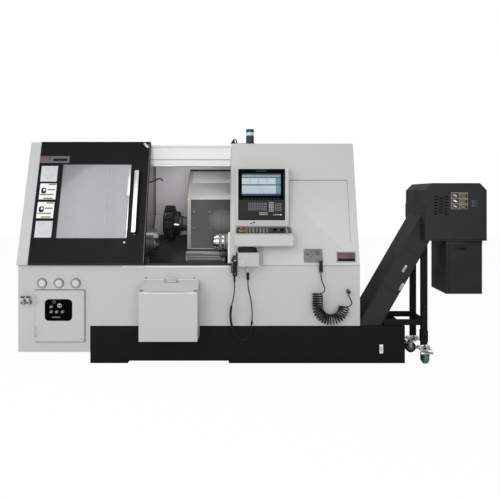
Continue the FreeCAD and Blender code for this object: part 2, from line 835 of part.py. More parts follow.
def make_tailstock():
    """Tailstock on the lower rails, its quill and the live centre."""
    low = "(tail_rail_tall + slide_gap - bed_distance)"
    body = outline(
        [
            bed_point("tail_rail_low - rail_wide / 2", low),
            bed_point("tail_rail_high + rail_wide / 2", low),
            ("spindle_y + tail_radius + tail_foot", "spindle_z - tail_radius * 2"),
            ("spindle_y + tail_radius - tail_flat", "spindle_z - tail_radius - tail_step"),
            ("spindle_y + tail_radius - tail_flat", "spindle_z"),
            ("spindle_y - tail_radius + tail_flat", "spindle_z"),
            ("spindle_y - tail_radius + tail_flat", "spindle_z - tail_radius * 1.5"),
        ],
        "tail_left", "tail_right",
    )
    axis = ("spindle_y", "spindle_z")
    barrel = rod("x", "tail_radius", "tail_left - barrel_reach", "tail_right", *axis)
    bore = rod("x", "quill_radius + shaft_gap", "tail_left - barrel_reach - past", "tail_right + past", *axis)
    keep("tailstock", cut(join(body, barrel), bore))
    nose = "(tail_left - barrel_reach - quill_reach)"
    quill = rod("x", "quill_radius", nose, "tail_right - lip", *axis)
    socket = rod("x", "centre_pin + shaft_gap", f"{nose} - past", f"{nose} + lip", *axis)
    keep("quill", cut(quill, socket))
    pin = rod("x", "centre_pin", nose, f"{nose} + lip - past", *axis)
    head = rod("x", "centre_body", f"{nose} - centre_length / 3", nose, *axis)
    tip = doc.addObject("Part::Cone", "tip")
    tip.Placement = Placement(Vector(), Rotation(Vector(0, 1, 0), -90))
    bind(tip, "Radius1", "centre_body")
    bind(tip, "Height", "centre_length * 2 / 3")
    tip.Radius2 = 1
    for place, formula in zip("xyz", (f"{nose} - centre_length / 3", *axis)):
        bind(tip, f"Placement.Base.{place}", formula)
    keep("live_centre", join(pin, head, tip))


def make_ball_screw():
    """Screw that drives the saddle, its two bearing blocks and its motor."""
    axis = bed_point("screw_place", "screw_height - bed_distance")
    keep("saddle_screw", rod("x", "screw_radius", "bed_left + lip", "screw_right", *axis))
    across = ("screw_place - lip / 2", "screw_place + lip / 2")
    out = ("-bed_distance", "rail_tall - bed_distance")
    bores = rod("x", "screw_radius + shaft_gap", "bed_left", "screw_right", *axis)
    blocks = [bed_block((low, f"{low} + bed_wall"), across, out) for low in ("bed_left + bed_wall",
                                                                             "screw_right - lip")]
    motor = bed_block(("screw_right + slide_gap", "screw_right + slide_gap + screw_motor"),
                      ("screw_place - lip", "screw_place + lip"), ("-bed_distance", "lip * 2 - bed_distance"))
    keep("saddle_drive", group(*[cut(piece, bores) for piece in blocks], motor))


def end_plate(low, bottom, high):
    """Upright plate with the enclosure's side outline."""
    return outline(
        [
            ("front_y", bottom),
            ("front_y", "sill_z"),
            (SLOPE_TOP_Y, "cover_top"),
            ("rear_y", "cover_top"),
            ("rear_y", bottom),
        ],
        low, high,
    )


def make_enclosure():
    """Sheet covers: left cabinet, front apron, control side, roof, back and the beam over the door."""
    front = block(("left_end", "cover_left"), ("front_y", "front_y + sheet"), ("cabinet_bottom", "sill_z"))
    hatch = block(("hatch_left + lip / 4", "hatch_right - lip / 4"),
                  ("front_y - past", "front_y + sheet + past"),
                  ("hatch_low + lip / 4", "hatch_high - lip / 4"))
    slope = slope_block(("left_end", "cover_left"), ("0", SLOPE_LENGTH), ("-sheet", "0"))
    slope_over = slope_block(("cover_left", "door_side"), (SLOPE_START, SLOPE_LENGTH), ("-sheet", "0"))
    column = slope_block(("left_end", "door_left - past"), ("0", f"{SLOPE_LENGTH} - sheet"),
                         ("-sheet", "door_thick"))
    end = end_plate("left_end", "cabinet_bottom", "left_end + sheet")
    inside = block(("cover_left - sheet", "cover_left"), ("front_y", "rear_y"),
                   ("cabinet_bottom", "base_top"))
    floor = block(("left_end", "cover_left"), ("front_y", "rear_y"),
                  ("cabinet_bottom", "cabinet_bottom + sheet"))
    top = block(("left_end", "door_side"), (SLOPE_TOP_Y, "rear_y"), ("cover_top - sheet", "cover_top"))
    drop = block(("door_side - sheet", "door_side"), (f"{SLOPE_TOP_Y} + sheet", "rear_y - sheet"),
                 ("cover_top - lip", "cover_top"))
    cabinet = cut(join(front, slope, slope_over, column, end, inside, floor, top, drop), hatch)
    keep("left_cover", join(cabinet, *make_access_hatch(), *valve_panel(), *drain_taps()))

    face = block(("cover_left", "cover_right - sheet"), ("front_y", "front_y + sheet"),
                 ("base_top", "sill_z"))
    shelf = block(("wall_x + sheet", "control_side"), ("front_y", "front_y + lip"),
                  ("sill_z - sheet", "sill_z"))
    keep("front_apron", join(face, shelf))

    slope = slope_block(("control_side", "cover_right"), (SLOPE_START, SLOPE_LENGTH), ("-sheet", "0"))
    end = end_plate("cover_right - sheet", "base_top", "cover_right")
    top = block(("control_side", "cover_right"), (SLOPE_TOP_Y, "rear_y"), ("cover_top - sheet", "cover_top"))
    drop = block(("control_side", "control_side + sheet"), (f"{SLOPE_TOP_Y} + sheet", "rear_y - sheet"),
                 ("cover_top - lip", "cover_top"))
    turn_in = slope_block(("control_side", "control_side + sheet"), ("sheet", f"{SLOPE_LENGTH} - sheet * 2"),
                          ("-lip", "0"))
    notch = block(("cover_right - sheet - past", "cover_right + past"),
                  ("conveyor_front - casing_gap", "conveyor_back + casing_gap"),
                  ("base_top - past", "base_top + lip"))
    keep("right_cover", cut(join(slope, end, top, drop, turn_in), notch))

    rear = block(("left_end + sheet", "cover_right - sheet"), ("rear_y - sheet", "rear_y"),
                 ("base_top", "cover_top - sheet"))
    roof = block(("door_side", "control_side"), ("beam_y", "rear_y - sheet"), (f"{ROOF_Z} - sheet", ROOF_Z))
    outer = block(("door_side", "control_side"), ("beam_y", "beam_y + beam_deep"),
                  ("beam_bottom", f"{ROOF_Z} - sheet"))
    inner = block(("door_side - past", "control_side + past"),
                  ("beam_y + sheet", "beam_y + beam_deep + past"),
                  ("beam_bottom + sheet", f"{ROOF_Z} - sheet * 2"))
    keep("roof_cover", join(rear, roof, cut(outer, inner)))


def make_door():
    """Sliding door with its window, handle and the two tracks it runs on."""
    back = "door_gap"
    face = "(door_gap + door_thick)"
    slab = slope_block(("door_left", "door_right"), ("0", "door_length"), (back, face))
    hollow = slope_block(("door_left + door_rim", "door_right - door_rim"),
                         ("door_rim", "door_length - door_rim"),
                         (f"{back} - past", f"{face} - sheet"))
    frame = slope_block(("window_left - door_rim", "window_right + door_rim"),
                        ("window_low - door_rim", "window_high + door_rim"), (back, face))
    hole = slope_block(("window_left", "window_right"), ("window_low", "window_high"),
                       (f"{back} - past", f"{face} + past"))
    keep("door_window", slope_block(("window_left", "window_right"), ("window_low", "window_high"),
                                    (f"{face} - window_inset - window_thick", f"{face} - window_inset")))
    x = ("handle_x - handle_wide / 2", "handle_x + handle_wide / 2")
    grip = slope_block(x, ("handle_low", "handle_high"),
                       (f"{face} + handle_stand - handle_thick", f"{face} + handle_stand"))
    post = (face, f"{face} + handle_stand - handle_thick")
    low = slope_block(x, ("handle_low", "handle_low + handle_wide"), post)
    high = slope_block(x, ("handle_high - handle_wide", "handle_high"), post)
    keep("sliding_door", join(cut(slab, cut(hollow, frame), hole), grip, low, high))
    tracks = [slope_block(("door_left", "track_right"), (low, f"{low} + track_tall"),
                          ("0", "door_gap - slide_gap"))
              for low in ("0", f"{SLOPE_LENGTH} - track_tall * 2")]
    keep("door_tracks", group(*tracks))


def key_plate_block(x, along, out):
    """A block square to the console's tilted key plate, measured from its front edge."""
    item = doc.addObject("Part::Box", "key_plate")
    item.Placement = Placement(Vector(), Rotation(Vector(1, 0, 0), 10))
    bind(item, "Placement.Rotation.Angle", PLATE_ANGLE)
    bind(item, "Length", f"({x[1]}) - ({x[0]})")
    bind(item, "Width", f"({along[1]}) - ({along[0]})")
    bind(item, "Height", f"({out[1]}) - ({out[0]})")
    place_on_plate(item, x[0], along[0], out[0])
    return item


def key_plate_rod(radius, x, along, low, high):
    """A cylinder standing square on the key plate."""
    item = doc.addObject("Part::Cylinder", "key_plate_rod")
    item.Placement = Placement(Vector(), Rotation(Vector(1, 0, 0), 10))
    bind(item, "Placement.Rotation.Angle", PLATE_ANGLE)
    bind(item, "Radius", radius)
    bind(item, "Height", f"({high}) - ({low})")
    place_on_plate(item, x, along, low)
    return item


def place_on_plate(item, x, along, out):
    bind(item, "Placement.Base.x", x)
    bind(item, "Placement.Base.y",
         f"console_y + ({along}) * cos({PLATE_ANGLE}) - ({out}) * sin({PLATE_ANGLE})")
    bind(item, "Placement.Base.z",
         f"console_front_z + ({along}) * sin({PLATE_ANGLE}) + ({out}) * cos({PLATE_ANGLE})")


PLATE_ANGLE = "atan((console_back_z - console_front_z) / console_deep)"
PLATE_LENGTH = "(console_deep / cos(atan((console_back_z - console_front_z) / console_deep)))"


def make_control():
    """Display housing, screen panel, keys, console with its buttons."""
    housing = outline(
        [
            ("display_y", "display_low"),
            (on_slope("display_low"), "display_low"),
            (on_slope("display_high"), "display_high"),
            ("display_y", "display_high"),
        ],
        "display_left", "display_right",
    )
    x = ("display_left + panel_edge", "display_right - panel_side")
    recess = block(x, ("display_y - past", "display_y + panel_thick - panel_proud"),
                   ("panel_low", "panel_high"))
    keep("display_housing", cut(housing, recess))
    panel = block(x, ("display_y - panel_proud", "display_y + panel_thick - panel_proud"),
                  ("panel_low", "panel_high"))
    keys = block(("keys_left", "keys_right"),
                 ("display_y - panel_proud - keys_thick", "display_y - panel_proud"),
                 ("keys_low", "keys_high"))
    keep("display_panel", join(panel, keys))
    body = outline(
        [
            ("console_y", "console_low"),
            (on_slope("console_low"), "console_low"),
            (on_slope("console_back_z"), "console_back_z"),
            ("console_y + console_deep", "console_back_z"),
            ("console_y", "console_front_z"),
        ],
        "console_left", "console_right",
    )
    pockets = [key_plate_rod("stop_radius / 2 + shaft_gap", "stop_x", "control_row",
                             "-stop_travel - stop_radius", "past")]
    pockets += [key_plate_rod("knob_radius / 2 + shaft_gap", x, "control_row", "-20",
                              "1") for x in ("feed_x", "speed_x")]
    body = cut(body, *pockets)
    plate = key_plate_block(("console_left + plate_edge", "console_right - plate_edge"),
                            ("plate_edge", f"{PLATE_LENGTH} - plate_edge"), ("0", "plate_thick"))
    collar = key_plate_rod("collar_radius", "stop_x", "control_row", "plate_thick",
                           "plate_thick + collar_tall")
    holes = [key_plate_rod("stop_radius / 2 + shaft_gap", "stop_x", "control_row", "-past",
                           "plate_thick + collar_tall + past")]
    holes += [key_plate_rod("knob_radius / 2 + shaft_gap", x, "control_row", "-past", "plate_thick + past")
              for x in ("feed_x", "speed_x")]
    keep("console_housing", join(body, cut(join(plate, collar), *holes)))
    seat = "(plate_thick + collar_tall + stop_travel + slide_gap)"
    head = key_plate_rod("stop_radius", "stop_x", "control_row", seat, f"{seat} + stop_tall - stop_travel")
    stem = key_plate_rod("stop_radius / 2", "stop_x", "control_row", "-15", seat)
    keep("emergency_stop", join(head, stem))
    for node, x in (("feed_knob", "feed_x"), ("speed_knob", "speed_x")):
        low = "(plate_thick + slide_gap)"
        grip = key_plate_rod("knob_radius", x, "control_row", low, f"{low} + knob_tall")
        stem = key_plate_rod("knob_radius / 2", x, "control_row", "-15", low)
        keep(node, join(grip, stem))


def make_box_and_pendant():
    """Box under the console with an open tray on top and the hand pendant at its side."""
    box = outline(
        [
            ("box_y", "box_low"),
            (on_slope("box_low"), "box_low"),
            (on_slope("box_high"), "box_high"),
            ("box_y", "box_high"),
        ],
        "box_left", "box_right",
    )
    holder = block(("pendant_right", "box_left"), ("pendant_front + lip / 3", "pendant_back"),
                   ("box_low + lip / 2", "box_high - lip / 2"))
    plug = rod("z", "plug_radius", "plug_low", "box_low", "plug_x", "cable_y")
    tray = cut(oval("tray_radius", "box_high", "box_high + tray_tall"),
               oval("tray_radius - tray_wall", "box_high + tray_wall", "box_high + tray_tall + past"))
    keep("pendant_box", join(box, holder, plug, tray))
    body = block(("pendant_left", "pendant_right"), ("pendant_front", "pendant_back"),
                 ("pendant_low", "pendant_high"))
    hanger = block(("pendant_right - hanger_thick", "pendant_right"),
                   ("pendant_front + lip / 3", "pendant_back"),
                   ("pendant_high", "hanger_high"))
    relief = rod("z", "relief_radius", "relief_low", "pendant_low", "relief_x", "cable_y")
    stems = [rod("x", f"{radius} / 3 + shaft_gap", "pendant_left - past", "pendant_left + stem_deep + past",
                 "cable_y", z)
             for radius, z in (("dial_radius", "dial_z"), ("selector_radius", "selector_z"))]
    keep("pendant", cut(join(body, hanger, relief), *stems))
    for node, radius, z in (("pendant_dial", "dial_radius", "dial_z"),
                            ("pendant_selector", "selector_radius", "selector_z")):
        face = "(pendant_left - slide_gap)"
        disc = rod("x", radius, f"{face} - dial_tall", face, "cable_y", z)
        stem = rod("x", f"{radius} / 3", face, "pendant_left + stem_deep", "cable_y", z)
        keep(node, join(disc, stem))


def oval(radius, low, high):
    """A stadium outline standing on the box."""
    x = ("box_left + tray_radius", "tray_right - tray_radius")
    y = "(box_y + tray_radius + tray_wall)"
    ends = [rod("z", radius, low, high, place, y) for place in x]
    middle = block(x, (f"{y} - ({radius})", f"{y} + ({radius})"), (low, high))
    return join(middle, *ends)


def make_gauges():
    """Three round gauges on the left cabinet."""
    gauges = []
    for number in range(3):
        x = f"gauge_first_x + gauge_pitch * {number}"
        rim = rod("y", "gauge_radius", "front_y - gauge_deep", "front_y", x, "gauge_z")
        dial = rod("y", "gauge_radius * 0.8", "front_y - gauge_deep - past", "front_y - gauge_deep + sheet",
                   x, "gauge_z")
        gauges.append(cut(rim, dial))
    keep("pressure_gauges", group(*gauges))


def make_access_hatch():
    """Hatch on the left cabinet; gives the fixed halves of its hinges, which stay on the cabinet."""
    y = ("front_y - hatch_thick", "front_y - slide_gap")
    panel = block(("hatch_left", "hatch_right"), y, ("hatch_low", "hatch_high"))
    hollow = block(("hatch_left + sheet", "hatch_right - sheet"),
                   ("front_y - hatch_thick + sheet", "front_y"),
                   ("hatch_low + sheet", "hatch_high - sheet"))
    window = rounded_window("hatch_gap", "front_y - hatch_thick - past", "front_y + past")
    barrel_y = "(front_y - hatch_thick - hinge_radius)"
    lows = ("hatch_low + lip", "hatch_high - lip * 2")
    leaves = []
    bores = []
    fixed = []
    for low in lows:
        leaves.append(rod("z", "hinge_radius", low, f"{low} + lip", "hatch_left", barrel_y))
        leaves.append(block(("hatch_left", "hatch_left + base_wall"),
                            ("front_y - hatch_thick - sheet", "front_y - hatch_thick"), (low,
                                                                                         f"{low} + lip")))
        bores.append(rod("z", "hinge_radius / 2 + shaft_gap", low, f"{low} + lip", "hatch_left", barrel_y))
        pieces = [rod("z", "hinge_radius / 2", f"{low} - knuckle", f"{low} + lip + knuckle", "hatch_left",
                      barrel_y)]
        for end in ((f"{low} - knuckle", f"{low} - slide_gap"),
                    (f"{low} + lip + slide_gap", f"{low} + lip + knuckle")):
            pieces.append(rod("z", "hinge_radius - slide_gap", *end, "hatch_left", barrel_y))
            pieces.append(block(("hatch_left - hinge_radius * 2", "hatch_left - slide_gap"),
                                (barrel_y, "front_y"), end))
        fixed.append(join(*pieces))
    keep("access_door", cut(join(cut(panel, hollow), *leaves), window, *bores))
    return fixed


def valve_panel():
    """Black panel that shows through the hatch, and the bridge that carries it."""
    plate = rounded_window("hatch_gap + valve_gap", "front_y - hatch_thick", "front_y + base_wall")
    x = ("hatch_left + lip / 4", "hatch_right - lip / 4")
    bridge = block(x, ("front_y + sheet", "front_y + base_wall"), ("(valve_low + valve_high) / 2 - lip / 2",
                                                                 "(valve_low + valve_high) / 2 + lip / 2"))
    flange = block(("hatch_left", "hatch_right"), ("front_y + sheet", "front_y + sheet * 2"),
                   ("(valve_low + valve_high) / 2 - lip / 2", "(valve_low + valve_high) / 2 + lip / 2"))
    return [plate, bridge, flange]


def drain_taps():
    """Two taps on the left cabinet."""
    taps = []
    for x in ("tap_left_x", "tap_right_x"):
        body = rod("y", "tap_radius", "front_y - tap_reach", "front_y", x, "tap_z")
        knob = rod("z", "tap_radius * 0.6", "tap_z", "tap_z + tap_reach", x, "front_y - tap_reach * 0.6")
        taps.append(join(body, knob))
    return taps


def rounded_window(inset, low, high):
    """The valve window's outline: straight sides with round corners, drawn in by an inset."""
    left, right = f"valve_left + {inset}", f"valve_right - ({inset})"
    bottom, top = f"valve_low + {inset}", f"valve_high - ({inset})"
    corners = [rod("y", f"valve_round - ({inset})", low, high, x, z)
               for x in ("valve_left + valve_round", "valve_right - valve_round")
               for z in ("valve_low + valve_round", "valve_high - valve_round")]
    tall = block(("valve_left + valve_round", "valve_right - valve_round"), (low, high), (bottom, top))
    wide = block((left, right), (low, high), ("valve_low + valve_round", "valve_high - valve_round"))
    return join(tall, wide, *corners)


def tilted_block(x, along, out, base, angle):
    """A block turned about X by an angle: along runs back and up from the base point, out away from it."""
    item = doc.addObject("Part::Box", "tilted_block")
    item.Placement = Placement(Vector(), Rotation(Vector(1, 0, 0), 10))
    bind(item, "Placement.Rotation.Angle", angle)
    bind(item, "Length", f"({x[1]}) - ({x[0]})")
    bind(item, "Width", f"({along[1]}) - ({along[0]})")
    bind(item, "Height", f"({out[1]}) - ({out[0]})")
    bind(item, "Placement.Base.x", x[0])
    bind(item, "Placement.Base.y", f"{base[0]} + ({along[0]}) * cos({angle}) - ({out[0]}) * sin({angle})")
    bind(item, "Placement.Base.z", f"{base[1]} + ({along[0]}) * sin({angle}) + ({out[0]}) * cos({angle})")
    return item


def make_service_box():
    """Box on the front of the base with a sloped lid hinged along its front edge."""
    angle = "atan((service_top - service_knee) / (front_y - service_front))"
    shell = outline(
        [
            ("service_front", "service_low"),
            ("front_y", "service_low"),
            ("front_y", "service_top"),
            ("service_front", "service_knee"),
        ],
        "service_left", "service_right",
    )
    hollow = outline(
        [
            ("service_front + sheet", "service_low + sheet"),
            ("front_y - sheet", "service_low + sheet"),
            ("front_y - sheet", "service_top + sheet"),
            ("service_front + sheet", "service_knee + sheet"),
        ],
        "service_left + sheet", "service_right - sheet",
    )
    base = ("service_front", "service_knee")
    length = f"((front_y - service_front) / cos({angle}))"
    lid = tilted_block(("service_left", "service_right"), ("hinge_radius * 3", f"{length} - hinge_radius"),
                       ("slide_gap", "service_lid_depth"), base, angle)
    grip_x = ("(service_left + service_right) / 2 - lip * 0.8",
              "(service_left + service_right) / 2 + lip * 0.8")
    grip = tilted_block(grip_x, (f"{length} - lip * 0.8", f"{length} - lip / 2"),
                        ("service_lid_depth", "service_lid_depth * 2"), base, angle)
    pin_along = "(hinge_radius * 3 / 2)"
    pin_y = f"(service_front + {pin_along} * cos({angle}) - hinge_radius * sin({angle}))"
    pin_z = f"(service_knee + {pin_along} * sin({angle}) + hinge_radius * cos({angle}))"
    barrels = []
    bores = []
    knuckles = []
    for low in ("service_left + base_wall", "service_right - base_wall - lip"):
        barrels.append(rod("x", "hinge_radius - slide_gap", low, f"{low} + lip", pin_y, pin_z))
        barrels.append(tilted_block((low, f"{low} + lip"), (pin_along, "hinge_radius * 3"),
                                    ("hinge_radius - sheet / 2", "hinge_radius + sheet"), base, angle))
        bores.append(rod("x", "hinge_radius / 2 + shaft_gap", low, f"{low} + lip", pin_y, pin_z))
        knuckles.append(rod("x", "hinge_radius / 2", f"{low} - knuckle", f"{low} + lip + knuckle", pin_y,
                            pin_z))
        for end in ((f"{low} - knuckle", f"{low} - slide_gap"),
                    (f"{low} + lip + slide_gap", f"{low} + lip + knuckle")):
            knuckles.append(rod("x", "hinge_radius - slide_gap", *end, pin_y, pin_z))
            knuckles.append(tilted_block(end, ("0", "hinge_radius * 3 - slide_gap"),
                                         ("-sheet", "hinge_radius"), base, angle))
    keep("service_lid", cut(join(lid, grip, *barrels), *bores))
    keep("service_box", cut(join(cut(shell, hollow), *knuckles), block(
        ("service_left", "service_right"), ("service_front - lip", "service_front"), ("service_low",
                                                                                      "service_top"))))


def make_air_panel():
    """Air panel with the coupler of the blow hose, and the wall fitting at the hose's other end."""
    plate = slope_block(
        ("air_left", "air_right"),
        ("(air_low - sill_z) / cos(slope_angle)", "(air_high - sill_z) / cos(slope_angle)"),
        ("0", "air_thick"),
    )
    drop = rod("z", "coupler_radius", "coupler_low", "air_low + lip / 2", "coupler_x", "coupler_y")
    arm_z = "air_low + lip / 4"
    arm = rod("y", "coupler_radius * 0.8", "coupler_y", on_slope(arm_z) + " - air_thick / 2", "coupler_x",
              arm_z)
    panel = join(plate, drop, arm)
    mouth = rod("z", "fitting_radius", "fitting_low", "fitting_low + lip / 2", "fitting_x", "coupler_y")
    arm = rod("y", "fitting_radius * 0.8", "coupler_y", "front_y", "fitting_x", "fitting_low + lip / 3")
    keep("air_fittings", group(panel, join(mouth, arm)))


def tangent_route(points):
    """Straight runs joined by arcs as large as both runs allow; also gives the radii."""
    edges = []
    radii = []
    start = points[0]
    for before, corner, after in zip(points, points[1:], points[2:]):
        first = (before - corner).normalize()
        second = (after - corner).normalize()
        half_turn = (math.pi - first.getAngle(second)) / 2
        trim = 0.45 * min((before - corner).Length, (after - corner).Length)
        radii.append(trim / math.tan(half_turn))
        arc_start = corner + first * trim
        arc_end = corner + second * trim
        toward = (first + second).normalize()
        middle = corner + toward * (radii[-1] / math.cos(half_turn) - radii[-1])
        edges.append(Part.LineSegment(start, arc_start).toShape())
        edges.append(Part.Arc(arc_start, middle, arc_end).toShape())
        start = arc_end
    edges.append(Part.LineSegment(start, points[-1]).toShape())
    return Part.Wire(edges), radii


def tube(wire, diameter):
    """A round tube along a wire."""
    first = wire.Edges[0]
    direction = first.tangentAt(first.FirstParameter)
    ring = Part.Wire(Part.makeCircle(diameter / 2, wire.Vertexes[0].Point, direction))
    return wire.makePipeShell([ring], True, False)


def keep_shape(node, shape):
    """A sub-part whose shape is computed from the sheet's sizes."""
    item = doc.addObject("Part::Feature", node)
    item.Shape = shape
    return keep(node, item)


def report_tube(node, wire, diameter, shape, radii=()):
    ratio = shape.Volume / (math.pi * diameter ** 2 / 4 * wire.Length)
    tightest = min(radii) if radii else 0
    print(f"{node}: length {wire.Length:.0f} mm, volume ratio {ratio:.4f}, tightest bend {tightest:.1f} mm")


def make_pendant_cable():
    """Cable from the hand pendant down in a loop and up to the plug under the box, with its sleeve."""
    y = size("cable_y")
    start = Vector(size("relief_x"), y, size("relief_low"))
    end = Vector(size("plug_x"), y, size("plug_low"))
    route = [start] + [Vector(*point) for point in (
        (start.x, y, 660),
        (-141, -797, 590),
        (-158, -798, 530),
        (-169, -798, 470),
        (-168, -798, 405),
        (-157, -797, 345),
        (-136, -796, 290),
        (-103, -795, 245),
        (-62, -793, 219),
        (-24, -792, 237),
        (0, -791, 280),
        (12, -791, 335),
        (18, -792, 395),
        (20, -793, 460),
        (15, -794, 530),
        (3, -795, 600),
        (-10, -795, 650),
        (end.x, y, 692),
    )] + [end]
    wire, radii = tangent_route(route)
    diameter = size("cable_diameter")
    cable = tube(wire, diameter)
    report_tube("pendant_cable", wire, diameter, cable, radii)
    keep_shape("pendant_cable", cable)
    clear = tube(wire, diameter + 2 * size("slide_gap"))
    jackets = []
    for low, high in ((3, 8), (12, 14)):
        part_wire, _ = tangent_route(route[low:high])
        jackets.append(tube(part_wire, size("sleeve_diameter")).cut(clear))
    keep_shape("cable_sleeves", Part.makeCompound(jackets))


def coil_point(turn):
    """Place and direction on the coil after a turn angle, and its centre line's length."""
    straight, bend, radius = size("coil_straight"), size("coil_bend"), size("coil_radius")
    length = straight + math.pi * bend
    run = length * turn / (math.tau * COIL_TURNS)
    x, y, z = size("coil_x"), size("coil_y"), size("coil_high")
    front = Vector(0, -1, 0)
    if run < straight:
        centre, along, outward, curve = Vector(x, y, z - run), Vector(0, 0, -1), Vector(-1, 0, 0), 0
    else:
        angle = (run - straight) / bend
        outward = Vector(-math.cos(angle), 0, -math.sin(angle))
        along = Vector(math.sin(angle), 0, -math.cos(angle))
        centre = Vector(x + bend, y, z - straight) + outward * bend
        curve = 1 / bend
    rate = length / (math.tau * COIL_TURNS)
    place = centre + front * (radius * math.cos(turn)) + outward * (radius * math.sin(turn))
    stretch = 1 + curve * radius * math.sin(turn)
    across = outward * (radius * math.cos(turn)) - front * (radius * math.sin(turn))
    direction = across + along * (rate * stretch)
    return place, direction.normalize()


COIL_TURNS = 23


def arc_from(start, direction, end):
    """An arc from a start with its direction to an end."""
    chord = end - start
    side = direction - chord * (direction.dot(chord) / chord.dot(chord))
    angle = direction.getAngle(chord)
    middle = (start + end) * 0.5 + side.normalize() * (chord.Length / 2 * math.tan(angle / 2))
    return Part.Arc(start, middle, end).toShape()


def biarc(start, direction, end, end_direction):
    """Two arcs that leave and arrive in the given directions."""
    chord = end - start
    both = direction + end_direction
    spread = 2 * (1 - direction.dot(end_direction))
    reach = (-chord.dot(both) + math.sqrt(chord.dot(both) ** 2 + spread * chord.dot(chord))) / spread
    middle = (start + end + (direction - end_direction) * reach) * 0.5
    back = arc_from(end, end_direction * -1, middle)
    forward = Part.Arc(middle, back.valueAt((back.FirstParameter + back.LastParameter) / 2), end).toShape()
    return [arc_from(start, direction, middle), forward]


def make_air_hose():
    """Blow hose: a lead from the coupler, a hanging coil and a tail to the wall fitting."""
    diameter = size("hose_diameter")
    quarters = COIL_TURNS * 4
    places = [coil_point(math.pi / 2 * number) for number in range(quarters + 1)]
    first, first_way = places[0]
    last, last_way = places[-1]
    edges = [Part.LineSegment(first - first_way * diameter, first).toShape()]
    for (start, way), (end, end_way) in zip(places, places[1:]):
        edges += biarc(start, way, end, end_way)
    edges.append(Part.LineSegment(last, last + last_way * diameter).toShape())
    wire = Part.Wire(edges)
    coil = tube(wire, diameter)
    report_tube("hose_coil", wire, diameter, coil)
    print(f"hose_coil: least gap to itself {least_gap(diameter):.2f} mm")
    keep_shape("hose_coil", coil)

    run = size("hose_run")
    lead = [
        Vector(size("coupler_x"), size("coupler_y"), size("coupler_low")),
        Vector(size("coupler_x"), size("coupler_y"), size("coupler_low") - size("hose_drop")),
        Vector(626, -788, 728),
        Vector(642, -812, 690),
        Vector(647, first.y, 651),
        first - first_way * (diameter + run),
        first - first_way * diameter,
    ]
    tail = [
        last + last_way * diameter,
        last + last_way * (diameter + run),
        Vector(877, -818, 531),
        Vector(880, -803, 556),
        Vector(872, -785, 577),
        Vector(size("fitting_x"), size("coupler_y"), size("fitting_low") - size("hose_rise")),
        Vector(size("fitting_x"), size("coupler_y"), size("fitting_low")),
    ]
    ends = []
    for name, route in (("hose lead", lead), ("hose tail", tail)):
        wire, radii = tangent_route(route)
        ends.append(tube(wire, diameter))
        report_tube(name, wire, diameter, ends[-1], radii)
    keep_shape("hose_ends", Part.makeCompound(ends))


def least_gap(diameter):
    """Least clear distance between turns of the coil, measured on points."""
    steps = 24
    points = [coil_point(math.tau * number / steps)[0] for number in range(COIL_TURNS * steps + 1)]
    gaps = [
        (points[near] - points[far]).Length
        for near in range(len(points))
        for far in range(near + steps // 2, min(near + steps * 2, len(points)))
    ]
    return min(gaps) - diameter


def make_beacon():
    """Signal lamp on the roof with its gland and flat cable cover."""
    place = ("beacon_x", "beacon_y")
    base = rod("z", "beacon_radius", "cover_top", "beacon_base_top", *place)
    lens = rod("z", "beacon_radius - sheet", "beacon_base_top", "beacon_lens_top", *place)
    cap = rod("z", "beacon_radius", "beacon_lens_top", "beacon_top", *place)
    lamp = join(base, lens, cap)
    cover = block(("gland_x", "beacon_x - beacon_radius / 2"),
                  ("beacon_y - gland_radius / 3", "beacon_y + gland_radius / 3"),
                  ("cover_top", "cover_top + gland_tall / 3"))
    gland = rod("z", "gland_radius", "cover_top", "cover_top + gland_tall", "gland_x", "beacon_y")
    keep("signal_lamp", join(lamp, cover, gland))


def conveyor_x_at(z, across):
    """X formula on the incline at a height; across counts from its upper face to its lower one."""
    return f"(conveyor_x + (({z}) - base_top) / tan(conveyor_angle) + ({across}) / sin(conveyor_angle))"


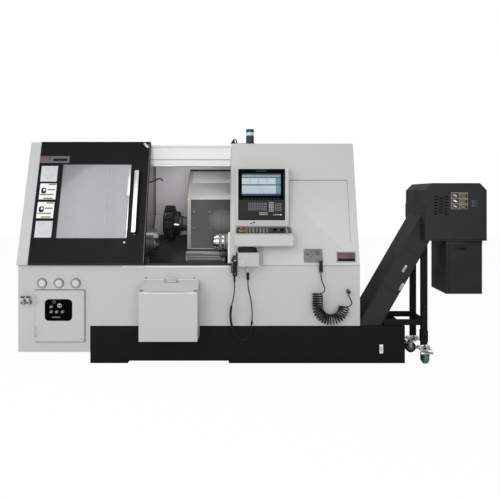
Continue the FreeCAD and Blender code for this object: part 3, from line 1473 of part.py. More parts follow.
def make_conveyor():
    """Chip conveyor: bent casing, outlet hood, chute, belt and its drive."""
    low = "(conveyor_tall - conveyor_wall)"
    high = "conveyor_wall"
    floor = "(trough_floor + conveyor_wall)"
    shell = outline(
        [
            ("conveyor_left", "trough_floor"),
            (conveyor_x_at("trough_floor", "conveyor_tall"), "trough_floor"),
            (conveyor_x_at("outlet_low", "conveyor_tall"), "outlet_low"),
            ("outlet_left", "outlet_low"),
            ("outlet_left", "base_top + (outlet_left - conveyor_x) * tan(conveyor_angle)"),
            (conveyor_x_at("conveyor_rim", "0"), "conveyor_rim"),
            ("conveyor_left", "conveyor_rim"),
        ],
        "conveyor_front", "conveyor_back", "y",
    )
    over = "(outlet_low + past)"
    beyond = "(outlet_left + past)"
    hollow = outline(
        [
            ("conveyor_left + conveyor_wall", floor),
            (conveyor_x_at(floor, low), floor),
            (conveyor_x_at(over, low), over),
            (beyond, over),
            (beyond,
             f"base_top + ({beyond} - conveyor_x - {high} / sin(conveyor_angle)) * tan(conveyor_angle)"),
            (conveyor_x_at("conveyor_rim + past", high), "conveyor_rim + past"),
            ("conveyor_left + conveyor_wall", "conveyor_rim + past"),
        ],
        "conveyor_front + conveyor_wall", "conveyor_back - conveyor_wall", "y",
    )
    keep("conveyor_casing", cut(shell, hollow))

    corner = "outlet_corner"
    hood = outline(
        [
            ("outlet_left", "outlet_low"),
            ("outlet_right", "outlet_low"),
            ("outlet_right", f"outlet_high - {corner}"),
            (f"outlet_right - {corner}", "outlet_high"),
            (f"outlet_left + {corner}", "outlet_high"),
            ("outlet_left", f"outlet_high - {corner}"),
        ],
        "outlet_front", "outlet_back", "y",
    )
    inside = outline(
        [
            ("outlet_left + sheet", "outlet_low + sheet"),
            ("outlet_right - sheet", "outlet_low + sheet"),
            ("outlet_right - sheet", f"outlet_high - {corner} - sheet / 2"),
            (f"outlet_right - {corner} - sheet / 2", "outlet_high - sheet"),
            (f"outlet_left + {corner} + sheet / 2", "outlet_high - sheet"),
            ("outlet_left + sheet", f"outlet_high - {corner} - sheet / 2"),
        ],
        "outlet_front + sheet", "outlet_back - sheet", "y",
    )
    axis = (SHAFT_X, "shaft_z")
    casing_y = ("conveyor_front + conveyor_wall", "conveyor_back - conveyor_wall")
    side = block(("outlet_left - past", "outlet_left + sheet + past"), casing_y,
                 ("outlet_low",
                  f"base_top + (outlet_left - conveyor_x - {high} / sin(conveyor_angle)) * tan(conveyor_angle)"))
    under = block(("outlet_left", conveyor_x_at("outlet_low", low)), casing_y,
                  ("outlet_low - past", "outlet_low + sheet + past"))
    mouth = block(("chute_left + sheet", "chute_right - sheet"),
                  ("chute_front + sheet", "chute_back - sheet"),
                  ("outlet_low - past", "outlet_low + sheet + past"))
    boss = rod("y", "shaft_radius * 1.75", "outlet_front + sheet", "outlet_front + sheet + base_wall", *axis)
    bores = [rod("y", "shaft_radius + shaft_gap", "outlet_front + sheet",
                 "outlet_front + sheet * 2 + base_wall", *axis),
             rod("y", "shaft_radius + shaft_gap", "outlet_back - sheet - past", "outlet_back + past", *axis)]
    hood = cut(join(cut(hood, inside), boss), side, under, mouth, *bores)

    z = ("chute_low", "outlet_low")
    outer = block(("chute_left", "chute_right"), ("chute_front", "chute_back"), z)
    inner = block(("chute_left + sheet", "chute_right - sheet"),
                  ("chute_front + sheet", "chute_back - sheet"),
                  ("chute_low - past", "outlet_low + past"))
    keep("conveyor_hood", join(hood, cut(outer, inner)))

    shaft = rod("y", "shaft_radius", "outlet_front + sheet + past", "outlet_back + lip", *axis)
    drum_y = ("conveyor_front + base_wall", "conveyor_back - base_wall")
    keep("conveyor_drum", join(shaft, rod("y", "drum_radius", *drum_y, *axis)))
    motor = block((f"{SHAFT_X} - gear_wide / 2", f"{SHAFT_X} + gear_wide / 2"),
                  ("outlet_back", "outlet_back + gear_long"), ("shaft_z - gear_wide / 2",
                                                               "shaft_z + gear_wide / 2"))
    keep("conveyor_motor",
         cut(motor,
             rod("y", "shaft_radius + shaft_gap", "outlet_back - past", "outlet_back + lip + past", *axis)))

    outer = belt_body("(drum_radius + belt_gap + belt_thick)", drum_y[0], drum_y[1])
    inner = belt_body("(drum_radius + belt_gap)", f"{drum_y[0]} - past", f"{drum_y[1]} + past")
    keep("conveyor_belt", cut(outer, inner))


SHAFT_X = conveyor_x_at("shaft_z", "conveyor_tall / 2")


def belt_body(half, low, high):
    """A bent slab round the drum and round the tail end of the casing."""
    middle = "(trough_floor + conveyor_tall / 2)"
    down = "(conveyor_tall / 2 + " + half + ")"
    up = "(conveyor_tall / 2 - " + half + ")"
    tail_x = "(conveyor_left + conveyor_tall / 2 + base_wall)"
    slab = outline(
        [
            (tail_x, f"{middle} - {half}"),
            (conveyor_x_at(f"{middle} - {half}", down), f"{middle} - {half}"),
            (f"{SHAFT_X} + {half} * sin(conveyor_angle)", f"shaft_z - {half} * cos(conveyor_angle)"),
            (f"{SHAFT_X} - {half} * sin(conveyor_angle)", f"shaft_z + {half} * cos(conveyor_angle)"),
            (conveyor_x_at(f"{middle} + {half}", up), f"{middle} + {half}"),
            (tail_x, f"{middle} + {half}"),
        ],
        low, high, "y",
    )
    return join(slab, rod("y", half, low, high, SHAFT_X, "shaft_z"),
                rod("y", half, low, high, tail_x, middle))


def make_stand():
    """Two square legs with cross bars under the conveyor's outlet, each on a swivel caster."""
    x = ("leg_left", "leg_left + leg_wide")
    middle_x = "(leg_left + leg_wide / 2)"
    front = block(x, ("leg_front", "leg_front + leg_wide"), ("leg_low", "leg_high"))
    back = block(x, ("leg_back - leg_wide", "leg_back"), ("leg_low", "leg_high"))
    bar_z = ("bar_low", "bar_low + bar_tall")
    between = block(("leg_left + (leg_wide - bar_deep) / 2", "leg_left + (leg_wide + bar_deep) / 2"),
                    ("leg_front + leg_wide", "leg_back - leg_wide"), bar_z)
    reach = conveyor_x_at("bar_low + bar_tall", "conveyor_tall - conveyor_wall / 2")
    bars = [block((reach, "leg_left"), (y, f"{y} + bar_deep"), bar_z)
            for y in ("conveyor_front + conveyor_wall", "conveyor_back - conveyor_wall - bar_deep")]
    sleeve = block(("leg_left - sleeve_proud", "leg_left + leg_wide + sleeve_proud"),
                   ("leg_front", "leg_front + leg_wide + sleeve_proud"),
                   ("leg_low + lip", "leg_low + lip + leg_wide * 2"))
    casing = outline(
        [
            ("conveyor_left", "trough_floor"),
            (conveyor_x_at("trough_floor", "conveyor_tall"), "trough_floor"),
            (conveyor_x_at("outlet_low", "conveyor_tall"), "outlet_low"),
            ("outlet_left", "outlet_low"),
            ("outlet_left", "outlet_high"),
            ("conveyor_left", "outlet_high"),
        ],
        "front_y - lip", "leg_back + lip", "y",
    )
    bores = [rod("z", "pin_radius + shaft_gap", "leg_low - past", "leg_low + pin_long + past", middle_x, y)
             for y in (FRONT_CASTER_Y, BACK_CASTER_Y)]
    keep("conveyor_stand", cut(join(front, back, between, sleeve, *bars), casing, *bores))

    for name, caster_y, turn in (("front", FRONT_CASTER_Y, 90), ("back", BACK_CASTER_Y, 0)):
        make_caster(name, middle_x, caster_y, turn)


FRONT_CASTER_Y = "(leg_front + leg_wide / 2)"
BACK_CASTER_Y = "(leg_back - leg_wide / 2)"


def make_caster(name, x, y, turn):
    """A fork on its swivel pin and the wheel in it, trailing to -X, turned about the pin."""
    half = "(wheel_wide / 2 + slide_gap)"
    trail = "(-caster_trail)"
    plate = block(("-caster_trail - pin_radius", "caster_trail"),
                  (f"-{half} - fork_sheet", f"{half} + fork_sheet"),
                  ("fork_top", "fork_top + fork_sheet * 2"))
    pin = rod("z", "pin_radius", "fork_top", "leg_low + pin_long", "0", "0")
    race = rod("z", "caster_trail", "fork_top", "leg_low - slide_gap", "0", "0")
    cheeks = [block(("-caster_trail - axle_radius * 2", "-caster_trail + axle_radius * 2"), side,
                    ("wheel_radius - axle_radius * 2", "fork_top"))
              for side in ((f"-{half} - fork_sheet", f"-{half}"), (half, f"{half} + fork_sheet"))]
    axle = rod("y", "axle_radius", f"-{half} - fork_sheet", f"{half} + fork_sheet", trail, "wheel_radius")
    fork = join(plate, pin, race, axle, *cheeks)
    wheel = rod("y", "wheel_radius", "-wheel_wide / 2", "wheel_wide / 2", trail, "wheel_radius")
    bore = rod("y", "axle_radius + shaft_gap", "-wheel_wide / 2 - past", "wheel_wide / 2 + past", trail,
               "wheel_radius")
    for node, item in ((f"{name}_caster_fork", fork), (f"{name}_caster_wheel", cut(wheel, bore))):
        item.Placement = Placement(Vector(), Rotation(Vector(0, 0, 1), turn))
        bind(item, "Placement.Base.x", x)
        bind(item, "Placement.Base.y", y)
        keep(node, item)


def make_power_cabinet():
    """Electrical cabinet on the back of the enclosure with its hinged door."""
    front = "rear_y"
    face = "(power_back - power_door)"
    outer = block(("power_left", "power_right"), (front, face), ("power_low", "power_high"))
    inner = block(("power_left + sheet", "power_right - sheet"), (f"{front} + sheet", f"{face} + past"),
                  ("power_low + sheet", "power_high - sheet"))
    axis = ("(power_right + hinge_radius)", f"({face} + power_door / 2)")
    leaves, bores, fixed = [], [], []
    for low in ("power_low + lip * 2", "power_high - lip * 3"):
        leaves.append(rod("z", "hinge_radius", low, f"{low} + lip", *axis))
        leaves.append(block(("power_right", "power_right + hinge_radius"), (axis[1], f"{axis[1]} + sheet"),
                            (low, f"{low} + lip")))
        bores.append(rod("z", "hinge_radius / 2 + shaft_gap", low, f"{low} + lip", *axis))
        fixed.append(rod("z", "hinge_radius / 2", f"{low} - knuckle", f"{low} + lip + knuckle", *axis))
        for end in ((f"{low} - knuckle", f"{low} - slide_gap"),
                    (f"{low} + lip + slide_gap", f"{low} + lip + knuckle")):
            fixed.append(rod("z", "hinge_radius - slide_gap", *end, *axis))
            fixed.append(block((f"{axis[0]} - sheet / 2", f"{axis[0]} + sheet / 2"),
                               (f"{face} - lip / 2", axis[1]), end))
            fixed.append(block(("power_right", f"{axis[0]} + sheet / 2"),
                               (f"{face} - lip / 2", f"{face} - sheet"), end))
    keep("electrical_cabinet", join(cut(outer, inner), *fixed))
    door = block(("power_left", "power_right - past"), (f"{face} + slide_gap", "power_back"),
                 ("power_low", "power_high"))
    hollow = block(("power_left + sheet", "power_right - sheet * 2"), (f"{face}", "power_back - sheet"),
                   ("power_low + sheet", "power_high - sheet"))
    leaves += [block(("power_right - base_wall", "power_right"), ("power_back - sheet", "power_back"),
                     (low, f"{low} + lip"))
               for low in ("power_low + lip * 2", "power_high - lip * 3")]
    keep("cabinet_door", cut(join(cut(door, hollow), *leaves), *bores))


def check_and_export():
    """Stop on anything that failed, then write one file for each sub-part."""
    doc.recompute()
    os.makedirs("parts", exist_ok=True)
    for item in doc.Objects:
        if "Invalid" in item.State or "Error" in item.State:
            raise RuntimeError(f"{item.Label} ({item.Name}) failed: {item.State}")
    for node, item in PARTS.items():
        shape = item.Shape
        if shape.isNull() or not shape.isValid() or not shape.Solids:
            raise RuntimeError(f"{node} has no valid shape")
        shape.exportStep(os.path.join("parts", node + ".step"))
    print(len(PARTS), "sub-parts written")


def main():
    make_base()
    make_bed()
    make_headstock()
    make_chuck()
    make_work_zone()
    make_saddle()
    make_saddle_guard()
    make_tailstock()
    make_ball_screw()
    make_enclosure()
    make_door()
    make_control()
    make_box_and_pendant()
    make_gauges()
    make_service_box()
    make_air_panel()
    make_pendant_cable()
    make_air_hose()
    make_beacon()
    make_conveyor()
    make_stand()
    make_power_cabinet()
    check_and_export()


main()
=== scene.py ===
"""The looks of a slant-bed turning lathe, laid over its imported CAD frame, in metres."""
import sys
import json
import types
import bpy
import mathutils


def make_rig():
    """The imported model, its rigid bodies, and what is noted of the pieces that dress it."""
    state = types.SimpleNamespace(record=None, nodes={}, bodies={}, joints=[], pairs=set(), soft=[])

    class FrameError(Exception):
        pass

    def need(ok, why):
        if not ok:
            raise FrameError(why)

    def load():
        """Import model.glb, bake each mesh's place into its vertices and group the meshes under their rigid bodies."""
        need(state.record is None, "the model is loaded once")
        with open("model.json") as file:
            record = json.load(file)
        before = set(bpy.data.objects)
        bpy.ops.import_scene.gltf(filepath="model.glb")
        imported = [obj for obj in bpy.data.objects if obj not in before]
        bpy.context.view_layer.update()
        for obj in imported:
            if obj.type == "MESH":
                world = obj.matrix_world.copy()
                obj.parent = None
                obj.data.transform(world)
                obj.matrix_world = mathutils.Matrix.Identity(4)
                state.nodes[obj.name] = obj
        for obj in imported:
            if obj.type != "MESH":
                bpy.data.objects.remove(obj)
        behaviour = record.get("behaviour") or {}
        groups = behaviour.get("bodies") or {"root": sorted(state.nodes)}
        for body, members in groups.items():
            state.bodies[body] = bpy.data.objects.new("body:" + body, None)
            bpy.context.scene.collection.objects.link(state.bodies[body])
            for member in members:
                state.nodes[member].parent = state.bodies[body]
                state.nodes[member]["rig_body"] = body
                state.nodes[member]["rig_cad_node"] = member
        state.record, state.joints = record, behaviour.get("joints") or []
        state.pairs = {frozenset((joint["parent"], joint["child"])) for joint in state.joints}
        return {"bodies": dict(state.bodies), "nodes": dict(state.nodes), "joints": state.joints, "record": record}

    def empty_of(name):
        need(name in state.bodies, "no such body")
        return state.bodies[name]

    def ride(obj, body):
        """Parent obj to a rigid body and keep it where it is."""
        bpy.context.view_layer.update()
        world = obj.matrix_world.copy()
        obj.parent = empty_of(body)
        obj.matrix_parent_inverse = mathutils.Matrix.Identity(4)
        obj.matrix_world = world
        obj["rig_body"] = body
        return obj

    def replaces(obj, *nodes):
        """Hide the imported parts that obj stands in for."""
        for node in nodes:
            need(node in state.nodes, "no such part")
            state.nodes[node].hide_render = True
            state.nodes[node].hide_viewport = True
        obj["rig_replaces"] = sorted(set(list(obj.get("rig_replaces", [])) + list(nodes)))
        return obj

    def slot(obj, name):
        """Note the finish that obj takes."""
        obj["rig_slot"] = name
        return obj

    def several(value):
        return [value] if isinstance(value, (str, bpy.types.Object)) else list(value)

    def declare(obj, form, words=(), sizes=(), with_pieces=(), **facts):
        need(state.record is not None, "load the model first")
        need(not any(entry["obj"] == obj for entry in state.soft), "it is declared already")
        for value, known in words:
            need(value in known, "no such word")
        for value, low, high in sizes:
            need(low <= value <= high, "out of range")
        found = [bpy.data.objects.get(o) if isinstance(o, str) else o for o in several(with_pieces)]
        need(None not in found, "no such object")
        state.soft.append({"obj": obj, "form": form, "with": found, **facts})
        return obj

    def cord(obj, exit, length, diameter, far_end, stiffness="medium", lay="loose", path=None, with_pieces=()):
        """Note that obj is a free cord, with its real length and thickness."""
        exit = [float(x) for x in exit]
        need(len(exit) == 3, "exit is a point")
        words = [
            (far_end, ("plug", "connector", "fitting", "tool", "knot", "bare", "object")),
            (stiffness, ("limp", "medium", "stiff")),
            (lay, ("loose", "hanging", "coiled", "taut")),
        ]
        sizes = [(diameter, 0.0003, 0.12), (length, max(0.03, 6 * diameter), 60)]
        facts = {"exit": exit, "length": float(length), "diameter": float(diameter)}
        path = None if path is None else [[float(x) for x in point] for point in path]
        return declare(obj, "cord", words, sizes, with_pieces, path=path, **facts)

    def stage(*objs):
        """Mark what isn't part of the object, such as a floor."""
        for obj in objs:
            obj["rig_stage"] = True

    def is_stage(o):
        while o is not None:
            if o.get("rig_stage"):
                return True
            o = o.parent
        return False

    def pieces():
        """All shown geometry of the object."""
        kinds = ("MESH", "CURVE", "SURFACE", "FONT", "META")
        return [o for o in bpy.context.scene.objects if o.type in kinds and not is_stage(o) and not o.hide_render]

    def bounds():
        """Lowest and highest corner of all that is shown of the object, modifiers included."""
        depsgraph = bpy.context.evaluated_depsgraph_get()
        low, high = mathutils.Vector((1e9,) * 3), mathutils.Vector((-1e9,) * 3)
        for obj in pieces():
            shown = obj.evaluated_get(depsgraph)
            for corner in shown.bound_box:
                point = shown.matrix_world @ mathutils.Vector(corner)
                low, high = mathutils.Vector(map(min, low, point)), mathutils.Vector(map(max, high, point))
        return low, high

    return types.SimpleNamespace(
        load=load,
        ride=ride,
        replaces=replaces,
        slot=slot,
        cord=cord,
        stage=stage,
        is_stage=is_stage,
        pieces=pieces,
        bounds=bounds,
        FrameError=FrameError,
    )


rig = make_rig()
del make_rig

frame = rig.load()
CAD_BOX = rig.bounds()

import json
from math import atan, atan2, copysign, cos, pi, radians, sin, sqrt, tau

import bmesh
import bpy
from bpy.props import FloatProperty, FloatVectorProperty, PointerProperty
from bpy.types import NodeSocket, Operator, Panel, PropertyGroup
from mathutils import Matrix, Vector

bl_info = {
    "name": "Turning Lathe",
    "version": (1, 0, 0),
    "blender": (4, 5, 0),
    "location": "View3D > Sidebar > Lathe",
    "description": "Dresses a turning lathe in paint, steel, glass and small fittings",
    "category": "Add Mesh",
}

SIZE_FILE = "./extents.json"


# ---- places
def facing(origin, right=(1, 0, 0), up=(0, 0, 1)):
    """A place whose x runs right, y up and z out of a surface."""
    across, rise = Vector(right).normalized(), Vector(up).normalized()
    out = across.cross(rise)
    place = Matrix((across, rise, out)).transposed().to_4x4()
    place.translation = Vector(origin)
    return place


def along_slope(z):
    """How far up the sloped front a height lies."""
    return (z - SILL) / cos(SLOPE)


def on(place, x, y, z=0.0):
    """A place moved within its own axes."""
    return place @ Matrix.Translation((x, y, z))


def spun(place, turn, axis="Z"):
    """A place turned about one of its own axes."""
    return place @ Matrix.Rotation(turn, 4, axis)


def front_at(y):
    """The upright place at a depth, seen from the front."""
    return facing((0, y, 0))


def upward(x, y, z):
    """A place that looks up, its y running to the back."""
    return facing((x, y, z), up=(0, 1, 0))


SLOPE = radians(15.5)
PLATE = atan(48 / 176)
LID = atan(74 / 200)
SILL = 0.86
FRONT = -0.725
FRONT_WALL = front_at(FRONT)
SLOPE_WALL = facing((0, FRONT, SILL), up=(0, sin(SLOPE), cos(SLOPE)))
KEY_PLATE = facing((0, -0.835, 1.1472), up=(0, cos(PLATE), sin(PLATE)))
SERVICE_WALL = front_at(-0.925)
SERVICE_LID = facing((0, -0.925, 0.65), up=(0, cos(LID), sin(LID)))
REAR_WALL = facing((0, 0.525, 0), right=(-1, 0, 0))
LEFT_WALL = facing((-2.0396, 0, 0), right=(0, -1, 0))
REAR_FOLD = facing((0, 0.157, 1.062), up=(0, 0.118, 0.198))


# ---- finishes
def arithmetic(operation, swapped=False):
    """A Value's method that adds a Math node."""
    def act(self, other):
        pair = (other, self) if swapped else (self, other)
        return self.finish.value("ShaderNodeMath", {"operation": operation}, *pair)
    return act


class Value:
    """A number that varies over a surface; arithmetic on it adds Math nodes."""
    __add__ = __radd__ = arithmetic("ADD")
    __sub__ = arithmetic("SUBTRACT")
    __rsub__ = arithmetic("SUBTRACT", True)
    __mul__ = __rmul__ = arithmetic("MULTIPLY")
    __truediv__ = arithmetic("DIVIDE")
    __pow__ = arithmetic("POWER")
    __gt__ = arithmetic("GREATER_THAN")
    __lt__ = arithmetic("LESS_THAN")
    repeat = arithmetic("FLOORED_MODULO")

    def __init__(self, finish, socket):
        self.finish = finish
        self.socket = socket

    def within(self, low, high):
        """1 where the number lies from low to high, 0 elsewhere."""
        return (self > low) * (self < high)

    def clamped(self):
        return self.finish.value("ShaderNodeClamp", {}, self)


class Finish:
    """One material and the nodes that lay out how it varies."""

    def __init__(self, name, colour, roughness=0.5, metallic=0.0, **fixed):
        self.material = bpy.data.materials.new(name)
        self.material.use_nodes = True
        self.tree = self.material.node_tree
        self.shader = self.tree.nodes["Principled BSDF"]
        self.colour = tuple(colour)[:3]
        self.give("Base Color", (*self.colour, 1))
        self.give("Roughness", roughness)
        self.give("Metallic", metallic)
        for socket, value in fixed.items():
            self.give(socket.replace("_", " ").title().replace("Ior", "IOR"), value)
        self.surface = self.add("ShaderNodeTexCoord", {}).outputs["Object"]

    def add(self, kind, settings, *values, **named):
        """A node with its settings first, then the values or links of its sockets."""
        node = self.tree.nodes.new(kind)
        for setting, value in settings.items():
            setattr(node, setting, value)
        sockets = [(node.inputs[index], value) for index, value in enumerate(values)]
        sockets += [(node.inputs[name.replace("_", " ")], value) for name, value in named.items()]
        for socket, value in sockets:
            self.feed(socket, value)
        return node

    def feed(self, socket, value):
        if isinstance(value, Value):
            value = value.socket
        if isinstance(value, NodeSocket):
            self.tree.links.new(value, socket)
        elif value is not None:
            socket.default_value = value

    def value(self, kind, settings, *values, **named):
        return Value(self, self.add(kind, settings, *values, **named).outputs[0])

    def give(self, socket, value):
        """Set or link one of the shader's own sockets."""
        self.feed(self.shader.inputs[socket], value)
        return self

    def stretched(self, x, y, z):
        """Surface coordinates scaled along each axis."""
        return self.add("ShaderNodeVectorMath", {"operation": "MULTIPLY"}, self.surface, (x, y, z)).outputs[0]

    def noise(self, scale, detail, vector=None):
        where = vector or self.surface
        return self.value("ShaderNodeTexNoise", {}, Vector=where, Scale=scale, Detail=detail)

    def axes(self):
        """The x, y and z of a point on the surface."""
        split = self.add("ShaderNodeSeparateXYZ", {}, self.surface)
        return [Value(self, output) for output in split.outputs]

    def blend(self, factor, first, second):
        """A colour between two, by a factor."""
        node = self.tree.nodes.new("ShaderNodeMix")
        node.data_type = "RGBA"
        for index, value in ((0, factor), (6, first), (7, second)):
            if not isinstance(value, (Value, NodeSocket, float, int)):
                value = (*tuple(value)[:3], 1)
            self.feed(node.inputs[index], value)
        return node.outputs[2]

    def shade(self, factor, dark, light):
        """Base colour that runs between two shares of the finish's colour."""
        return self.give("Base Color", self.blend(factor, tinted(self.colour, dark), tinted(self.colour, light)))

    def bump(self, height, distance, strength):
        """Raise and lower the surface by a height from 0 to 1."""
        node = self.add("ShaderNodeBump", {}, Strength=strength, Distance=distance, Height=height)
        return self.give("Normal", node.outputs["Normal"])


def tinted(colour, share):
    """A colour made lighter or darker."""
    return tuple(min(1.0, part * share) for part in tuple(colour)[:3])


def sheet_paint(name, colour, roughness=0.42, dust=0.05):
    """Powder coat on sheet steel: fine orange peel, faint clouds and settled dust."""
    finish = Finish(name, colour, roughness, coat_weight=0.1, coat_roughness=0.3)
    clouds = finish.noise(1.7, 4.0)
    smudges = finish.noise(11.0, 6.0)
    peel = finish.noise(520.0, 1.0)
    share = (clouds - 0.5) * dust * 2 + (smudges - 0.5) * dust + 0.5
    finish.shade(share.clamped(), 1 - dust, 1 + dust)
    finish.give("Roughness", roughness + (smudges - 0.5) * 0.22)
    return finish.bump(peel + clouds * 4.0, 0.00006, 0.6).material


def dark_paint(name, colour, roughness=0.38, shine=0.22):
    """Dark textured paint, with pale dust and rubbed spots."""
    finish = Finish(name, colour, roughness, specular_ior_level=shine)
    dust = finish.noise(6.0, 6.0) ** 3.0
    grit = finish.noise(900.0, 2.0)
    rubs = (finish.noise(38.0, 5.0) > 0.72) * 0.35
    spread = (dust * 0.9 + rubs * 0.3).clamped()
    finish.shade(spread, 1, 2.6)
    finish.give("Roughness", roughness + dust * 0.5 - rubs * 0.3)
    return finish.bump(grit + dust * 2.0, 0.00012, 0.7).material


def cast_paint(name, colour, roughness=0.5):
    """Painted or plain casting: a rolling, pitted skin."""
    finish = Finish(name, colour, roughness)
    swell = finish.noise(42.0, 4.0)
    pits = finish.noise(340.0, 3.0)
    oil = finish.noise(5.0, 4.0)
    finish.shade(oil, 0.72, 1.2)
    finish.give("Roughness", roughness + (oil - 0.5) * 0.4)
    return finish.bump(swell * 3.0 + pits, 0.0005, 0.55).material


def machined(name, colour, roughness=0.28, run=(1, 1, 1), grain=700.0):
    """Turned, ground or brushed steel; run squeezes the grain across the tool's path."""
    finish = Finish(name, colour, roughness, metallic=1.0)
    lines = finish.noise(grain, 3.0, finish.stretched(*run))
    haze = finish.noise(14.0, 5.0)
    finish.shade(haze, 0.82, 1.12)
    finish.give("Roughness", roughness + (lines - 0.5) * 0.25 + (haze - 0.5) * 0.18)
    return finish.bump(lines, 0.00008, 0.5).material


def moulded(name, colour, roughness=0.45, shine=0.5):
    """Moulded plastic or rubber with a fine spark grain."""
    finish = Finish(name, colour, roughness, specular_ior_level=shine)
    grain = finish.noise(1600.0, 1.0)
    handling = finish.noise(60.0, 4.0)
    finish.shade(handling, 0.9, 1.12)
    finish.give("Roughness", roughness + (handling - 0.5) * 0.2)
    return finish.bump(grain, 0.00004, 0.5).material


# ---- forms
SMOOTH_BELOW = radians(34)
ROUND_ABOVE = radians(38)
SAME_POINT = 2e-5
SAME_PLANE = radians(0.6)
PRESSED_IN = 0.0024
BODY_OF = {node: body for body, nodes in frame["record"]["behaviour"]["bodies"].items() for node in nodes}


class Piece:
    """One piece of the scene, gathered from forms that each have their own material."""

    def __init__(self):
        self.mesh = bmesh.new()
        self.materials = []

    def index(self, material):
        """The slot of a material, or of a finish by its name."""
        material = paint(material) if isinstance(material, str) else material
        if material not in self.materials:
            self.materials.append(material)
        return self.materials.index(material)

    def loft(self, place, rings, material, closed=True):
        """Faces between rings of points, each ring a list of (x, y, z) or one point at its tip."""
        slot = self.index(material)
        loops = [[self.mesh.verts.new(place @ Vector(point)) for point in ring] for ring in rings]
        faces = []
        for low, high in zip(loops, loops[1:]):
            steps = max(len(low), len(high))
            for step in range(steps):
                ahead = (step + 1) % steps
                corners = [low[step % len(low)], low[ahead % len(low)], high[ahead % len(high)], high[step % len(high)]]
                unique = list(dict.fromkeys(corners))
                if len(unique) > 2:
                    faces.append(self.mesh.faces.new(unique))
        if closed:
            faces += [self.mesh.faces.new(loop) for loop in (loops[0][::-1], loops[-1]) if len(loop) > 2]
        for face in faces:
            face.material_index = slot

    def slab(self, place, size, material, corner=0.0, edge=0.0008):
        """A plate centred on the place and standing on it, with rounded corners and soft front edges."""
        wide, high, deep = size
        edge = min(edge, deep * 0.45, wide * 0.3, high * 0.3)
        rings = [rounded(wide, high, corner, 0.0, 0.0), rounded(wide, high, corner, 0.0, deep - edge)]
        rings += [rounded(wide, high, corner, edge * 0.3, deep - edge * 0.3), rounded(wide, high, corner, edge, deep)]
        self.loft(place, rings, material)

    def turned(self, place, profile, material, steps, closed=True):
        """A turned form about the place's z axis, from (radius, height) pairs."""
        rings = [circle(radius, height, steps) if radius > 1e-6 else [(0, 0, height)] for radius, height in profile]
        self.loft(place, rings, material, closed)

    def band(self, place, inner, outer, height, material, soft=0.001, steps=56):
        """A raised band round a shaft, with softened edges."""
        profile = [(inner, 0), (outer, soft), (outer, height - soft), (inner, height)]
        self.turned(place, profile, material, steps, False)

    def button(self, place, radius, height, material, edge=0.0008, steps=32):
        """A round boss with a soft rim."""
        profile = [(radius, 0), (radius, height - edge), (radius - edge * 0.3, height - edge * 0.3)]
        self.turned(place, profile + [(radius - edge, height), (0, height)], material, steps)

    def ring(self, place, inner, outer, height, material, steps=48):
        """A flat ring that stands on the place."""
        soft = min(height, outer - inner) * 0.25
        profile = [(inner, 0), (outer, 0), (outer, height - soft), (outer - soft, height), (inner + soft, height),
                   (inner, height - soft), (inner, 0)]
        self.turned(place, profile, material, steps, False)

    def rod(self, points, radius, material, steps=14):
        """A round bar or pipe along points, with square ends."""
        line = [Vector(point) for point in points]
        ways = [(ahead - back).normalized() for back, ahead in zip(line, line[1:])]
        normal = ways[0].orthogonal().normalized()
        rings = []
        for index, point in enumerate(line):
            before, after = ways[max(index - 1, 0)], ways[min(index, len(ways) - 1)]
            way = (before + after).normalized()
            normal = (normal - way * normal.dot(way)).normalized()
            side = way.cross(normal)
            turns = [tau * step / steps for step in range(steps)]
            rings.append([point + (normal * cos(turn) + side * sin(turn)) * radius for turn in turns])
        self.loft(Matrix.Identity(4), rings, material)

    def screw(self, place, radius, material="zinc", socket="seam", deep=None):
        """A cap screw with a hexagon socket."""
        deep = deep or radius * 0.7
        self.button(place, radius, deep, material, radius * 0.2, 20)
        rim = circle(radius * 0.5, deep * 1.02, 6)
        self.loft(place, [rim, [(0, 0, deep * 1.02 - radius * 0.02)]], socket, False)

    def screws(self, place, across, up, radius, material="zinc", out=0.0, deep=None):
        """Cap screws at every crossing of two lists of distances."""
        for x in across:
            for y in up:
                self.screw(on(place, x, y, out), radius, material, deep=deep)

    def bars(self, place, material, *bars):
        """Thin bars on a face, each given by its middle, width and height."""
        for x, y, wide, high in bars:
            self.slab(on(place, x, y), (wide, high, 0.0003), material)

    def bolt(self, place, across, height, material):
        """A hexagon bolt head on a washer."""
        self.button(place, across * 0.62, height * 0.2, material, 0.0003, 24)
        radius = across / sqrt(3)
        rings = [circle(share * radius, z, 6) for share, z in ((1, height * 0.2), (1, height * 0.85), (0.86, height))]
        self.loft(place, rings, material)

    def done(self, name, slot=None, body="machine"):
        """Turn the gathered forms into an object that fills a slot and rides on a body."""
        bmesh.ops.recalc_face_normals(self.mesh, faces=self.mesh.faces)
        return settle(name, mesh_data(name, self.mesh, *self.materials), body, slot)


def mesh_data(name, mesh, *materials):
    """Lasting mesh data from a mesh under construction."""
    data = bpy.data.meshes.new(name)
    mesh.to_mesh(data)
    mesh.free()
    for material in materials:
        data.materials.append(material)
    return data


def add_object(name, data):
    """A new object in the scene."""
    item = bpy.data.objects.new(name, data)
    bpy.context.scene.collection.objects.link(item)
    return item


def circle(radius, height, steps):
    """Points of a circle round the z axis."""
    turns = [tau * step / steps for step in range(steps)]
    return [(radius * cos(turn), radius * sin(turn), height) for turn in turns]


def rounded(wide, high, corner, inset, z, steps=5):
    """The points of a rectangle with rounded corners, drawn in by an inset."""
    half_wide, half_high = wide / 2 - inset, high / 2 - inset
    corner = max(0.0, min(corner - inset, half_wide, half_high))
    points = []
    for quarter, (side, rise) in enumerate(((1, 1), (-1, 1), (-1, -1), (1, -1))):
        centre = (side * (half_wide - corner), rise * (half_high - corner))
        for step in range(steps):
            turn = pi / 2 * (quarter + step / (steps - 1))
            points.append((centre[0] + corner * cos(turn), centre[1] + corner * sin(turn), z))
    if corner < 1e-6:
        points = points[::steps]
    return points


